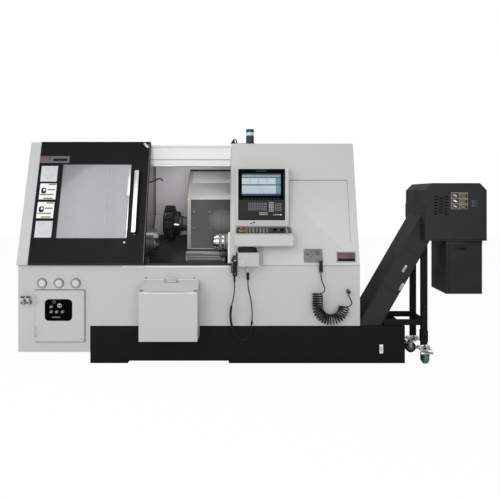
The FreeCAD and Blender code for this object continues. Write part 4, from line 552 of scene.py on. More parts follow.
def settle(name, data, body, slot, bevel=0.0):
    """Put a finished mesh in the scene, with soft edges where it is smooth."""
    piece = add_object(name, data)
    data.polygons.foreach_set("use_smooth", [True] * len(data.polygons))
    data.set_sharp_from_angle(angle=SMOOTH_BELOW)
    if bevel:
        soften(piece, bevel)
    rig.ride(piece, body)
    if slot:
        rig.slot(piece, slot)
    return piece


def soften(piece, width):
    """Round the piece's sharp edges."""
    bevel = piece.modifiers.new("soft_edges", "BEVEL")
    bevel.width = width
    bevel.segments = 2
    bevel.limit_method = "ANGLE"
    bevel.angle_limit = ROUND_ABOVE
    bevel.harden_normals = True


def dress(node, material, bevel, pressed):
    """Give a CAD node its material, or a copy of it whose edges are rounded.

    A side named by its axis and sign is pressed in a little, so that what is fixed on it stays within its old face.
    """
    source = frame["nodes"][node]
    if not bevel:
        source.data.materials.clear()
        source.data.materials.append(material)
        return
    mesh = bmesh.new()
    mesh.from_mesh(source.data)
    bmesh.ops.remove_doubles(mesh, verts=mesh.verts, dist=SAME_POINT)
    bmesh.ops.dissolve_limit(mesh, angle_limit=SAME_PLANE, verts=mesh.verts, edges=mesh.edges)
    if pressed:
        axis, sign = pressed
        limit = max(sign * vertex.co[axis] for vertex in mesh.verts)
        for vertex in mesh.verts:
            if limit - sign * vertex.co[axis] < 0.0005:
                vertex.co[axis] -= sign * PRESSED_IN
    name = node + "_rounded"
    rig.replaces(settle(name, mesh_data(name, mesh, material), BODY_OF[node], node, bevel), node)


# ---- settings
def tone(name, description, default):
    return FloatVectorProperty(name=name, description=description, default=default, subtype="COLOR", min=0, max=1)


def length(name, description, default):
    return FloatProperty(name=name, description=description, default=default, unit="LENGTH", min=0)


class LatheLooks(PropertyGroup):
    """Colours of the lathe's paints and parts."""
    cover: tone("Cover", "Light grey paint of the sheet covers", (0.494, 0.494, 0.485))
    cabinet: tone("Cabinet", "Cooler grey of the lower covers", (0.447, 0.455, 0.456))
    beam: tone("Beam", "White of the roof and the door beam", (0.66, 0.66, 0.642))
    door: tone("Door", "Black of the sliding door", (0.0045, 0.0045, 0.005))
    base: tone("Base", "Black of the base", (0.0035, 0.0035, 0.0035))
    conveyor: tone("Conveyor", "Black of the chip conveyor", (0.0105, 0.0112, 0.012))
    guard: tone("Guard", "Pinkish grey of the fixed guards", (0.45, 0.42, 0.443))
    hood: tone("Hood", "Grey steel of the sliding guard", (0.42, 0.42, 0.405))
    casting: tone("Casting", "Grey of the castings", (0.16, 0.17, 0.165))
    steel: tone("Steel", "Ground and turned steel", (0.62, 0.61, 0.6))
    black_steel: tone("Black steel", "Blackened steel of the turret", (0.0135, 0.013, 0.013))
    window: tone("Window", "Grey of the door window", (0.215, 0.222, 0.236))
    plastic: tone("Plastic", "Black plastic of knobs and pendant", (0.007, 0.007, 0.008))
    panel: tone("Panel", "Black keypad foil", (0.003, 0.0038, 0.0044))
    stop: tone("Stop", "Red of the emergency stop", (0.33, 0.055, 0.03))
    yellow: tone("Yellow", "Yellow of the bare label strips", (0.52, 0.42, 0.06))
    air_plate: tone("Air plate", "Grey-green of the air panel", (0.15, 0.157, 0.141))
    name_plate: tone("Name plate", "Dull red of the bare plates", (0.125, 0.06, 0.055))
    lens: tone("Lens", "Pale blue of the signal lamp", (0.3, 0.52, 0.68))
    lamp_ring: tone("Lamp ring", "Dark rings of the signal lamp", (0.05, 0.04, 0.06))
    tread: tone("Tread", "Green tread of the front caster", (0.04, 0.15, 0.085))
    floor: tone("Floor", "Pale floor", (0.8, 0.8, 0.79))


class LatheFittings(PropertyGroup):
    """Sizes of the lathe's small fittings."""
    seam: length("Seam", "Width of the gaps between sheets", 0.004)
    screw: length("Screw", "Head radius of a cover screw", 0.006)
    label: length("Label", "Side of the square door labels", 0.15)
    cable: length("Cable", "Diameter of the pendant cable", 0.01)
    sleeve: length("Sleeve", "Diameter of the cable's sleeves", 0.02)
    hose: length("Hose", "Diameter of the coiled air hose", 0.01)
    coil: length("Coil", "Radius of the air hose's turns", 0.045)
    coolant_pipe: length("Coolant pipe", "Diameter of the coolant pipe", 0.014)
    handle: length("Handle", "Width of the door handle", 0.037)


PAINTS = {}


def looks():
    return bpy.context.scene.lathe_looks


def fittings():
    return bpy.context.scene.lathe_fittings


def paint(name):
    """One of the lathe's finishes, made the first time it is asked for."""
    if name not in PAINTS:
        maker, colour, *rest = FINISHES[name]
        key, share = colour if len(colour) == 2 else (colour, 1.0)
        shade = tinted(getattr(looks(), key), share) if isinstance(key, str) else key
        PAINTS[name] = maker(name, shade, *rest)
    return PAINTS[name]


def window_glass(name, colour):
    """Laminated door glass with a painted reflection of a bright hall in soft vertical bands."""
    finish = Finish(name, colour, 0.12, coat_weight=0.6, coat_roughness=0.05)
    bands = finish.noise(3.2, 2.0, finish.stretched(1.0, 0.03, 0.03))
    haze = finish.noise(7.0, 5.0)
    # The base colour paints the reflection: lighter and darker vertical bands, with random haze.
    finish.shade((bands * 0.8 + haze * 0.2).clamped(), 0.8, 1.22)
    finish.give("Roughness", 0.1 + haze * 0.16)
    finish.give("Alpha", 0.86 + haze * 0.1)
    return finish.material


def screen_glow(name, colour):
    """A lit control screen with plain fields and bars."""
    finish = Finish(name, colour, 0.3, specular_ior_level=0.2)
    x, _, z = finish.axes()
    across = (x + 0.072) / 0.346
    rise = (z - 1.477) / 0.195
    column = (across > 0.875) * 1.0
    bars = rise.within(0.8, 0.845) + rise.within(0.455, 0.51) + rise.within(0.0, 0.085)
    grey = rise.within(0.845, 0.93)
    fields = (across.repeat(0.22) > 0.19) * rise.within(0.55, 0.77)
    fields = fields + (rise.repeat(0.07) > 0.058) * rise.within(0.06, 0.45)
    soft = finish.noise(28.0, 2.0)
    colour = finish.blend(soft, (0.66, 0.84, 0.95), (0.86, 0.96, 0.96))
    colour = finish.blend((fields * 0.5).clamped(), colour, (0.3, 0.48, 0.62))
    colour = finish.blend(column, colour, (0.16, 0.42, 0.5))
    colour = finish.blend(((z.repeat(0.022) > 0.019) * column).clamped(), colour, (0.03, 0.14, 0.24))
    colour = finish.blend(bars.clamped(), colour, (0.035, 0.075, 0.22))
    colour = finish.blend(grey, colour, (0.42, 0.5, 0.56))
    colour = finish.blend(rise > 0.93, colour, (0.03, 0.09, 0.13))
    finish.give("Emission Color", colour)
    finish.give("Emission Strength", 0.6)
    return finish.material


def clear_glass(name, colour):
    """Clear glass over a dial."""
    finish = Finish(name, colour, 0.05, coat_weight=0.8, coat_roughness=0.03)
    haze = finish.noise(30.0, 3.0)
    finish.give("Roughness", 0.05 + haze * 0.08)
    finish.give("Alpha", 0.12 + haze * 0.05)
    return finish.material


def guide_band(name, colour):
    """Brushed sheet of the sliding guards, darker in soft rubbed clouds."""
    finish = Finish(name, colour, 0.42, metallic=0.45)
    clouds = finish.noise(1.9, 1.0, finish.stretched(1.0, 0.5, 0.35))
    brush = finish.noise(900.0, 1.0, finish.stretched(0.05, 1, 1))
    finish.shade(clouds, 0.72, 1)
    finish.give("Roughness", 0.4 + (clouds - 0.5) * 0.2 + (brush - 0.5) * 0.1)
    return finish.bump(brush, 0.00001, 0.3).material


def rubbed_sheet(name, colour):
    """Dark sheet of the guard's front, paler toward the bottom, with a painted pool of light right of its middle."""
    finish = Finish(name, colour, 0.52, specular_ior_level=0.12)
    x, _, z = finish.axes()
    clouds = finish.noise(1.9, 1.0, finish.stretched(1, 0.5, 0.35))
    brush = finish.noise(900.0, 1.0, finish.stretched(0.05, 1, 1))
    low = ((1.43 - z) / 0.45).clamped()
    across, rise = x + 0.275, z - 1.23
    # A painted pool of light: a soft round patch made paler and a little less rough.
    rubbed = (1 - (across * across + rise * rise * 1.6) / 0.022).clamped()
    share = low * 0.49 + rubbed * 0.62 + (clouds - 0.5) * 0.2
    finish.shade(share.clamped(), 0.5, 2.4)
    finish.give("Roughness", 0.5 + (brush - 0.5) * 0.1 - rubbed * 0.1)
    return finish.bump(brush, 0.00001, 0.3).material


def track_steel(name, colour):
    """Rails of the door: painted near black at the sill for the shade under the door, pale under the roof."""
    finish = Finish(name, colour, 0.5, specular_ior_level=0.12)
    height = finish.axes()[2]
    wear = finish.noise(26.0, 4.0, finish.stretched(0.2, 1, 1))
    # Below 1.3 m the rail's colour is painted shade, nearly black.
    oily = finish.blend(wear, tinted(colour, 0.02), tinted(colour, 0.05))
    pale = finish.blend(wear, tinted(colour, 0.9), colour)
    finish.give("Base Color", finish.blend(height > 1.3, oily, pale))
    finish.give("Roughness", 0.36 + wear * 0.2)
    return finish.bump(wear, 0.0001, 0.4).material


FINISHES = {
    "cover": (sheet_paint, "cover"),
    "console": (sheet_paint, ("cover", 0.905)),
    "box": (sheet_paint, ("cover", 0.82)),
    "cabinet": (sheet_paint, "cabinet"),
    "beam": (sheet_paint, "beam", 0.35),
    "guard": (sheet_paint, "guard", 0.38, 0.12),
    "side_wall": (sheet_paint, ("guard", 0.53), 0.38, 0.12),
    "door": (dark_paint, "door", 0.34, 0.09),
    "base": (dark_paint, "base", 0.5, 0.12),
    "conveyor": (dark_paint, "conveyor", 0.42, 0.24),
    "low_guard": (dark_paint, (0.048, 0.047, 0.041), 0.35, 0.15),
    "hood": (guide_band, "hood"),
    "way_guard": (guide_band, ("hood", 0.55)),
    # The guard's front, middle and top sheets are one steel in three lightnesses: the upright front painted dark as
    # shade, the top slope painted light as lit from above.
    "guard_face": (rubbed_sheet, ("hood", 0.22)),
    "guard_mid": (guide_band, ("hood", 0.94)),
    "guard_top": (guide_band, ("hood", 1.4)),
    "casting": (cast_paint, "casting"),
    "dark_casting": (cast_paint, ("casting", 0.2)),
    "tail_casting": (cast_paint, ("steel", 0.62), 0.4),
    "air_plate": (cast_paint, "air_plate"),
    "name_plate": (cast_paint, "name_plate", 0.45),
    "steel": (machined, "steel"),
    "ground": (machined, ("steel", 1.3), 0.16, (0.04, 1, 1)),
    "chuck": (machined, ("steel", 0.75), 0.3, (1, 0.2, 0.2)),
    "jaw": (machined, ("steel", 0.6), 0.32),
    "zinc": (machined, ("steel", 0.95), 0.34, (1, 1, 1), 90.0),
    "handle": (machined, (0.86, 0.86, 0.87), 0.38, (1, 1, 0.05)),
    "silver": (machined, (0.55, 0.56, 0.58), 0.36, (0.06, 1, 1)),
    "black_steel": (moulded, "black_steel", 0.42, 0.12),
    "plastic": (moulded, "plastic", 0.45, 0.2),
    "grey_plastic": (moulded, (0.11, 0.11, 0.115), 0.45, 0.3),
    "cable": (moulded, "plastic", 0.4, 0.2),
    "hose": (moulded, ("plastic", 0.6), 0.3, 0.25),
    "rubber": (moulded, (0.008, 0.008, 0.008), 0.7, 0.2),
    "panel": (moulded, "panel", 0.5, 0.0),
    "panel_low": (moulded, (0.027, 0.0268, 0.0265), 0.5, 0.06),
    "key": (moulded, (0.16, 0.163, 0.19), 0.4, 0.1),
    "light_key": (moulded, (0.36, 0.36, 0.35)),
    "tan_key": (moulded, (0.215, 0.205, 0.18), 0.45, 0.1),
    "key_plate": (moulded, (0.034, 0.034, 0.03), 0.45, 0.1),
    "stop": (moulded, "stop", 0.35, 0.3),
    "yellow": (moulded, "yellow"),
    "ochre": (moulded, ("yellow", 0.55), 0.5),
    "tan": (moulded, (0.2, 0.155, 0.085), 0.5),
    "white": (moulded, (0.74, 0.75, 0.77), 0.4),
    "pale": (moulded, (0.5, 0.51, 0.545), 0.4),
    "pale_blue": (moulded, (0.33, 0.35, 0.45), 0.5),
    "deep_blue": (moulded, (0.016, 0.018, 0.032), 0.5),
    "label_grey": (moulded, (0.4, 0.41, 0.44), 0.4),
    "ink": (moulded, (0.01, 0.01, 0.012), 0.5, 0.1),
    "dial": (moulded, (0.56, 0.56, 0.55), 0.4),
    "lens": (moulded, "lens", 0.15),
    "lens_edge": (moulded, (0.62, 0.78, 0.88), 0.12),
    "lamp_ring": (moulded, ("lamp_ring", 0.5), 0.35, 0.3),
    "lamp_cap": (moulded, (0.006, 0.022, 0.035), 0.3, 0.3),
    "tread": (moulded, "tread", 0.6),
    "seam": (moulded, (0.05, 0.05, 0.05), 0.8),
    "soft_seam": (moulded, (0.22, 0.22, 0.22), 0.8),
    "void": (moulded, (0.002, 0.002, 0.002), 0.9, 0.0),
    "track": (track_steel, "beam"),
    "window": (window_glass, "window"),
    "screen": (screen_glow, (0.02, 0.02, 0.025)),
    "clear": (clear_glass, (0.9, 0.92, 0.93)),
}


# ---- stage
CAMERA_PLACE = (0, -5.125, 1.481)
CAMERA_LENS = 36
CAMERA_RISE = -0.11
SKY_STRENGTH = 0.42
FLOOR_GLOW = 0.965
LIGHTS = (
    ("key_light", (-2.4, -6.4, 3.6), (0, 0, 0.9), 4.0, 150),
    ("fill_light", (1.6, -6.8, 1.9), (0, 0, 1.0), 3.5, 120),
    ("top_light", (0.0, 0.5, 5.2), (0, 0, 0.6), 5.0, 60),
    ("side_light", (-5.6, -2.2, 2.4), (1.5, -0.5, 1.2), 3.0, 80),
    ("work_light", (-0.62, -0.36, 1.735), (-0.7, 0.1, 1.3), 0.12, 2.8, 0.9),
)


class LATHE_OT_stage(Operator):
    """Build the pale floor, the soft lights and the camera"""
    bl_idname = "lathe.stage"
    bl_label = "Stage"

    def execute(self, context):
        build_floor()
        build_sky(context.scene)
        for light in LIGHTS:
            area_light(*light)
        data = bpy.data.cameras.new("camera")
        data.lens = CAMERA_LENS
        data.sensor_width = 36
        data.shift_y = CAMERA_RISE
        camera = add_object("camera", data)
        camera.location = CAMERA_PLACE
        camera.rotation_euler = (pi / 2, 0, 0)
        context.scene.camera = camera
        context.scene.view_settings.view_transform = "Standard"
        return {"FINISHED"}


def area_light(name, place, aim, size, power, wide=0.0):
    """A round lamp, or an oval one as wide as asked, that shines toward its aim."""
    data = bpy.data.lights.new(name, "AREA")
    data.shape = "ELLIPSE" if wide else "DISK"
    data.size = wide or size
    if wide:
        data.size_y = size
    data.energy = power
    lamp = add_object(name, data)
    lamp.location = place
    lamp.rotation_euler = (Vector(aim) - Vector(place)).to_track_quat("-Z", "Y").to_euler()


def build_floor():
    """A wide floor that the camera sees as near white, with the lathe's shadow on it."""
    mesh = bmesh.new()
    bmesh.ops.create_grid(mesh, x_segments=12, y_segments=12, size=14)
    finish = Finish("floor_paint", looks().floor, 0.6)
    clouds = finish.noise(0.8, 3.0)
    finish.shade(clouds, 0.98, 1.02)
    glow = finish.add("ShaderNodeEmission", {}, Color=(1, 1, 1, 1), Strength=1.0)
    rays = finish.add("ShaderNodeLightPath", {})
    share = Value(finish, rays.outputs["Is Camera Ray"]) * FLOOR_GLOW
    mixed = finish.add("ShaderNodeMixShader", {}, share, finish.shader.outputs[0], glow.outputs[0])
    finish.tree.links.new(mixed.outputs[0], finish.tree.nodes["Material Output"].inputs["Surface"])
    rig.stage(add_object("floor", mesh_data("floor", mesh, finish.material)))


def build_sky(scene):
    """An even grey sky that the camera sees as white."""
    world = bpy.data.worlds.new("studio")
    scene.world = world
    world.use_nodes = True
    nodes, links = world.node_tree.nodes, world.node_tree.links
    nodes.clear()
    mix = nodes.new("ShaderNodeMixShader")
    links.new(nodes.new("ShaderNodeLightPath").outputs["Is Camera Ray"], mix.inputs[0])
    for index, colour, strength in ((1, (0.985, 0.985, 1, 1), SKY_STRENGTH), (2, (1, 1, 0.985, 1), 1)):
        sky = nodes.new("ShaderNodeBackground")
        sky.inputs["Color"].default_value = colour
        sky.inputs["Strength"].default_value = strength
        links.new(sky.outputs[0], mix.inputs[index])
    links.new(mix.outputs[0], nodes.new("ShaderNodeOutputWorld").inputs["Surface"])


# ---- routes of the cords
CABLE_ROUTE = [
    (-0.134, -0.795, 0.728), (-0.134, -0.795, 0.66), (-0.141, -0.797, 0.59), (-0.158, -0.798, 0.53),
    (-0.169, -0.798, 0.47), (-0.168, -0.798, 0.405), (-0.157, -0.797, 0.345), (-0.136, -0.796, 0.29),
    (-0.103, -0.795, 0.245), (-0.062, -0.793, 0.219), (-0.024, -0.792, 0.237), (0, -0.791, 0.28),
    (0.012, -0.791, 0.335), (0.018, -0.792, 0.395), (0.02, -0.793, 0.46), (0.015, -0.794, 0.53),
    (0.003, -0.795, 0.6), (-0.01, -0.795, 0.65), (-0.018, -0.795, 0.692), (-0.018, -0.795, 0.745),
]
HOSE_TOP = (0.618, -0.775)
HOSE_END = (0.86, -0.775)
LEAD_ROUTE = [(*HOSE_TOP, 0.8), (*HOSE_TOP, 0.765), (0.626, -0.788, 0.728), (0.642, -0.812, 0.69),
              (0.647, -0.825, 0.651)]
TAIL_ROUTE = [(0.877, -0.818, 0.531), (0.88, -0.803, 0.556), (0.872, -0.785, 0.577), (0.86, -0.775, 0.598),
              (*HOSE_END, 0.618)]
COIL_TURNS = 23
TURN_POINTS = 12
COIL_START = (0.587, 0.625)
COIL_Y = -0.78
COIL_DROP = 0.113
COIL_BEND = 0.115


def spline(name, route, diameter, material):
    """A smooth tube whose control points are the route."""
    curve = bpy.data.curves.new(name, "CURVE")
    curve.dimensions = "3D"
    curve.bevel_depth = diameter / 2
    curve.bevel_resolution = 5
    curve.resolution_u = 6
    curve.use_fill_caps = True
    line = curve.splines.new("NURBS")
    line.points.add(len(route) - 1)
    for point, place in zip(line.points, route):
        point.co = (*place, 1)
    line.order_u = 3
    line.use_endpoint_u = True
    curve.materials.append(material)
    return add_object(name, curve)


def coil_route():
    """The turns of the air hose, round a line that drops and bends up again in a half circle."""
    length = COIL_DROP + pi * COIL_BEND
    route = []
    for step in range(COIL_TURNS * TURN_POINTS + 1):
        share = step / (COIL_TURNS * TURN_POINTS)
        travel = share * length
        if travel < COIL_DROP:
            middle = Vector((COIL_START[0], COIL_Y, COIL_START[1] - travel))
            inward = Vector((1, 0, 0))
        else:
            turn = (travel - COIL_DROP) / COIL_BEND
            inward = Vector((cos(turn), 0, sin(turn)))
            bend_middle = Vector((COIL_START[0] + COIL_BEND, COIL_Y, COIL_START[1] - COIL_DROP))
            middle = bend_middle - inward * COIL_BEND
        angle = tau * COIL_TURNS * share
        route.append(middle + (Vector((0, -cos(angle), 0)) - inward * sin(angle)) * fittings().coil)
    return route


def line_of(curve_object):
    """Points along a spline's own line."""
    plain = curve_object.copy()
    plain.data = curve_object.data.copy()
    plain.data.bevel_depth = 0
    bpy.context.scene.collection.objects.link(plain)
    bpy.context.view_layer.update()
    mesh = bpy.data.meshes.new_from_object(plain.evaluated_get(bpy.context.evaluated_depsgraph_get()))
    points = [vertex.co.copy() for vertex in mesh.vertices]
    bpy.data.objects.remove(plain)
    return points


def length_of(points):
    return sum((ahead - back).length for back, ahead in zip(points, points[1:]))


# ---- sheet covers
def strip(piece, place, start, end, width, material, proud=0.0005):
    """A thin straight strip on a surface, from one point to another."""
    first, last = Vector(start), Vector(end)
    run = last - first
    middle = (first + last) / 2
    along = spun(on(place, middle.x, middle.y), atan2(run.y, run.x))
    piece.slab(along, (run.length, width, proud), material)


def frame_of(piece, place, inner, outer, height, material, corner=0.0):
    """A picture-frame ring between two rectangles, standing on the place."""
    rings = [rounded(*outer, corner, 0, 0), rounded(*outer, corner, 0, height)]
    rings += [rounded(*inner, corner, 0, height), rounded(*inner, corner, 0, 0)]
    piece.loft(place, rings, material, False)


def louvre(piece, place, wide, high, material, shadow="void", rise=0.0):
    """One pressed vent slot: a dark mouth, painted shade in the slot, under a half-round hood."""
    rise = rise or high * 0.45
    piece.slab(place, (wide, high, 0.0004), shadow, high * 0.4, 0.0001)
    points = []
    for step in range(7):
        turn = pi * step / 6
        points.append((high * 0.5 * cos(turn), rise * sin(turn)))
    rings = []
    for side in (-0.5, -0.44, 0.44, 0.5):
        share = 0.25 if abs(side) == 0.5 else 1.0
        rings.append([(side * wide, y * 0.5 + high * 0.32, z * share + 0.0004) for y, z in points])
    piece.loft(place, rings, material)


class LATHE_OT_covers(Operator):
    """Add the seams, hatch lines, sill strips and screws of the sheet covers"""
    bl_idname = "lathe.covers"
    bl_label = "Covers"

    def execute(self, context):
        seam = fittings().seam
        soft = "soft_seam"
        lines = Piece()
        top, low, right, left = along_slope(1.617), along_slope(1.064), 0.896, 0.36
        strip(lines, SLOPE_WALL, (left, top), (right, top), seam * 1.2, "ink")
        for wall, start, end, share in (
            (SLOPE_WALL, (right, low), (right, top), 1),
            (SLOPE_WALL, (left, along_slope(1.205)), (left, top), 0.5),
            (FRONT_WALL, (0.113, SILL - 0.002), (0.966, SILL - 0.002), 1),
            (FRONT_WALL, (-0.178, SILL - 0.001), (0.113, SILL - 0.001), 0.6),
            (SLOPE_WALL, (0.113, 0.004), (0.113, along_slope(1.035)), 1.4),
            (SLOPE_WALL, (-0.172, 0.01), (-0.172, along_slope(1.955)), 0.5),
        ):
            strip(lines, wall, start, end, seam * share, soft)
        lines.slab(on(SLOPE_WALL, 0.0955, 0.085), (0.034, 0.16, 0.0008), "box", 0.001)
        lines.done("cover_seams", "right_cover")
        sill = Piece()
        sill.slab(on(FRONT_WALL, -0.652, 0.8505), (0.948, 0.017, 0.0012), "beam")
        strip(sill, FRONT_WALL, (-1.126, 0.8415), (-0.178, 0.8415), 0.002, soft)
        # A black sheet on the sill's top is painted shade under the door's bottom edge.
        sill.slab(upward(-0.604, -0.693, SILL), (0.84, 0.056, 0.0012), "base")
        sill.done("sill_strip", "front_apron")
        screws = Piece()
        size = fittings().screw * 0.8
        screws.screws(SLOPE_WALL, (0.395, 0.862), (along_slope(1.585), along_slope(1.24)), size, "cover")
        screws.screws(FRONT_WALL, (-1.31, -1.02, 0.18, 0.5, 0.78, 0.93), (0.352,), size, "cabinet")
        screws.screws(SLOPE_WALL, (-1.985,), [along_slope(z) for z in (1.1, 1.4, 1.7, 1.9)], size, "cabinet")
        screws.done("cover_screws")
        beam_trim()
        return {"FINISHED"}


def beam_trim():
    """The folded edges of the beam over the door opening and its light rails."""
    trim = Piece()
    beam = front_at(-0.425)
    for z, high, proud, name in ((1.812, 0.006, 0.004, "soft_seam"), (1.786, 0.04, 0.003, "beam"),
                                 (1.7575, 0.007, 0.006, "silver"), (1.921, 0.01, 0.003, "beam")):
        trim.slab(on(beam, -0.654, z), (0.95, high, proud), name)
    trim.done("beam_trim", "roof_cover")


# ---- left cabinet
VALVE_FACE = 0.0136
TAP_HEIGHT = 0.54
BOX_MIDDLE = -0.6895


class LATHE_OT_gauges(Operator):
    """Fit the three pressure gauges with dials, needles and glasses"""
    bl_idname = "lathe.gauges"
    bl_label = "Gauges"

    def execute(self, context):
        gauges, glasses = Piece(), Piece()
        for number, needle in enumerate((205, 230, 215)):
            place = on(FRONT_WALL, -1.8295 + 0.148 * number, 0.706)
            gauges.ring(place, 0.033, 0.043, 0.0125, "grey_plastic")
            gauges.ring(on(place, 0, 0, 0.0122), 0.035, 0.0395, 0.0005, "steel")
            gauges.ring(on(place, 0, 0, 0.0085), 0.03, 0.0345, 0.003, "ink")
            gauges.button(on(place, 0, 0, 0.006), 0.0335, 0.003, "dial")
            for tick in range(31):
                turn = radians(225 - 9 * tick)
                long = 0.006 if tick % 5 == 0 else 0.003
                mark = on(spun(place, turn), 0.0285, 0, 0.009)
                gauges.slab(mark, (long, 0.0011 if tick % 5 == 0 else 0.0006, 0.0003), "ink")
            green = spun(on(place, 0, 0, 0.009), radians(60 + 8 * number))
            gauges.slab(on(green, 0.022, 0), (0.0035, 0.014, 0.0002), "tread")
            hand = spun(on(place, 0, 0, 0.0094), radians(needle))
            gauges.slab(on(hand, 0.009, 0), (0.03, 0.0024, 0.0005), "ink")
            gauges.button(on(place, 0, 0, 0.0094), 0.0035, 0.0012, "ink")
            dial_numbers(gauges, on(place, 0, 0, 0.0091))
            glasses.button(on(place, 0, 0, 0.0122), 0.0332, 0.0009, "clear", 0.0004)
            gauges.slab(on(place, 0, 0.067), (0.058, 0.013, 0.0006), "cabinet", 0.002)
            bars = [(-0.022 + bar * 0.0088, 0, 0.0065, 0.006) for bar in range(6)]
            gauges.bars(on(place, 0, 0.067, 0.0006), "label_grey", *bars)
        piece = gauges.done("gauge_dials", "pressure_gauges")
        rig.replaces(piece, "pressure_gauges")
        glasses.done("gauge_glasses", "pressure_gauges")
        return {"FINISHED"}


def dial_numbers(piece, place):
    """The numbers 0 to 5 round a dial."""
    for number in range(6):
        words = bpy.data.curves.new("number", "FONT")
        words.body = str(number)
        words.size = 0.0075
        words.align_x = "CENTER"
        words.align_y = "CENTER"
        lettering = add_object("number", words)
        bpy.context.view_layer.update()
        flat = bpy.data.meshes.new_from_object(lettering.evaluated_get(bpy.context.evaluated_depsgraph_get()))
        bpy.data.objects.remove(lettering)
        turn = radians(225 - 45 * number)
        flat.transform(on(place, 0.0195 * cos(turn), 0.0195 * sin(turn), 0.0002))
        before = len(piece.mesh.faces)
        piece.mesh.from_mesh(flat)
        piece.mesh.faces.ensure_lookup_table()
        slot = piece.index("ink")
        for face in piece.mesh.faces[before:]:
            face.material_index = slot
        bpy.data.meshes.remove(flat)


class LATHE_OT_cabinet(Operator):
    """Fit the left cabinet's hatch, valve panel, locks and taps"""
    bl_idname = "lathe.cabinet"
    bl_label = "Left cabinet"

    def execute(self, context):
        hatch = Piece()
        face = on(FRONT_WALL, -1.672, 0.4175, 0.012)
        frame_of(hatch, face, (0.424, 0.439), (0.432, 0.447), 0.0016, "cabinet")
        for z in (0.617, 0.218):
            lock = on(FRONT_WALL, -1.477, z, 0.012)
            hatch.button(lock, 0.01, 0.004, "zinc")
            hatch.slab(on(lock, 0, 0, 0.004), (0.003, 0.013, 0.0006), "seam")
        hatch.done("hatch_trim", "access_door", "access_door")
        border = Piece()
        left, right, low, top = -1.893, -1.45, 0.188, 0.648
        for start, end in (((left, top), (right, top)), ((right, low), (right, top)), ((left, low), (right, low))):
            strip(border, FRONT_WALL, start, end, 0.005, "seam")
        border.done("hatch_gap", "left_cover")
        build_valves()
        build_taps()
        return {"FINISHED"}


def build_valves():
    """A black panel with four round couplings, two rings and a bare strip."""
    valves = Piece()
    panel = on(FRONT_WALL, -1.681, 0.4715, 0.0121)
    valves.slab(panel, (0.24, 0.189, 0.0015), "void", 0.036)
    for x, z in ((-1.741, 0.502), (-1.741, 0.458), (-1.693, 0.458), (-1.642, 0.458)):
        place = on(FRONT_WALL, x, z, VALVE_FACE)
        valves.bolt(place, 0.022, 0.006, "grey_plastic")
        valves.turned(on(place, 0, 0, 0.005), [(0.0085, 0), (0.0085, 0.012), (0.0075, 0.013), (0.0075, 0.02),
                                               (0.0065, 0.021), (0, 0.021)], "steel", 28)
        valves.button(on(place, 0, 0, 0.0262), 0.004, 0.0004, "seam", 0.0001)
    place = on(FRONT_WALL, -1.67, 0.511, VALVE_FACE)
    valves.ring(place, 0.012, 0.019, 0.004, "zinc")
    valves.slab(on(place, 0, 0, 0.001), (0.006, 0.03, 0.01), "zinc", 0.003)
    place = on(FRONT_WALL, -1.718, 0.544, VALVE_FACE)
    valves.ring(place, 0.009, 0.015, 0.0025, "grey_plastic")
    valves.slab(on(FRONT_WALL, -1.7, 0.408, VALVE_FACE), (0.07, 0.012, 0.0006), "grey_plastic", 0.002)
    valves.done("valve_panel", "left_cover")


def build_taps():
    """Handles and hexagon collars on the two taps."""
    taps = Piece()
    for x in (-1.99, -1.94):
        taps.bolt(on(FRONT_WALL, x, TAP_HEIGHT, 0), 0.036, 0.012, "grey_plastic")
        taps.ring(on(FRONT_WALL, x, TAP_HEIGHT, 0.024), 0.0139, 0.0165, 0.01, "steel")
        stem = upward(x, -0.752, 0.5855)
        taps.turned(stem, [(0.0095, -0.004), (0.0125, -0.002), (0.0125, 0.003), (0.01, 0.005), (0, 0.005)],
                    "black_steel", 24)
        taps.slab(on(stem, 0, 0, 0.005), (0.042, 0.012, 0.006), "grey_plastic", 0.004)
        taps.button(on(FRONT_WALL, x, TAP_HEIGHT, 0.045), 0.01, 0.0006, "seam", 0.0002)
    taps.done("tap_handles", "left_cover")


class LATHE_OT_service_box(Operator):
    """Fit the service box with its folded rims, lid screws, handle and hinge leaves"""
    bl_idname = "lathe.service_box"
    bl_label = "Service box"

    def execute(self, context):
        box = Piece()
        white, soft = "beam", "soft_seam"
        wall = FRONT_WALL
        box.slab(on(wall, -0.7035, 0.7335), (0.47, 0.012, 0.003), white, 0.002)
        strip(box, wall, (-0.935, 0.7265), (-0.445, 0.7265), 0.003, soft)
        box.screws(wall, (-0.916, -0.491), (0.751,), 0.007, "grey_plastic")
        side = facing((-0.443, -0.825, 0), right=(0, 1, 0))
        box.slab(on(side, 0, 0.3), (0.17, 0.012, 0.0012), soft, 0.003)
        box.screws(side, (-0.07, 0.07), (0.42,), 0.006)
        box.done("service_box_trim", "service_box")
        lid = Piece()
        # The pale strip along the lid's knee is a painted highlight laid over the shade of the gap.
        lid.slab(on(SERVICE_WALL, BOX_MIDDLE, 0.6562, -0.0004), (0.49, 0.0105, 0.0003), "beam")
        top = on(SERVICE_LID, BOX_MIDDLE, 0.112, 0.012)
        frame_of(lid, top, (0.452, 0.165), (0.46, 0.173), 0.001, "cabinet", 0.004)
        for x in (-0.918, -0.461):
            lid.slab(on(SERVICE_LID, x, 0.03, 0.012), (0.03, 0.022, 0.002), "grey_plastic", 0.003)
            lid.screw(on(SERVICE_LID, x, 0.03, 0.014), 0.004)
        grip = on(SERVICE_LID, BOX_MIDDLE, 0.178, 0.012)
        lid.slab(grip, (0.116, 0.034, 0.001), "seam", 0.006)
        lid.slab(on(grip, 0, 0, 0.001), (0.106, 0.024, 0.001), "cabinet", 0.004)
        arch = [(-0.05, 0, 0), (-0.05, 0, 0.02), (-0.044, 0, 0.027), (0.044, 0, 0.027), (0.05, 0, 0.02), (0.05, 0, 0)]
        lid.rod([on(grip, 0, 0.011, 0) @ Vector(point) for point in arch], 0.0045, "zinc")
        lid.done("service_lid_trim", "service_lid", "service_lid")
        return {"FINISHED"}


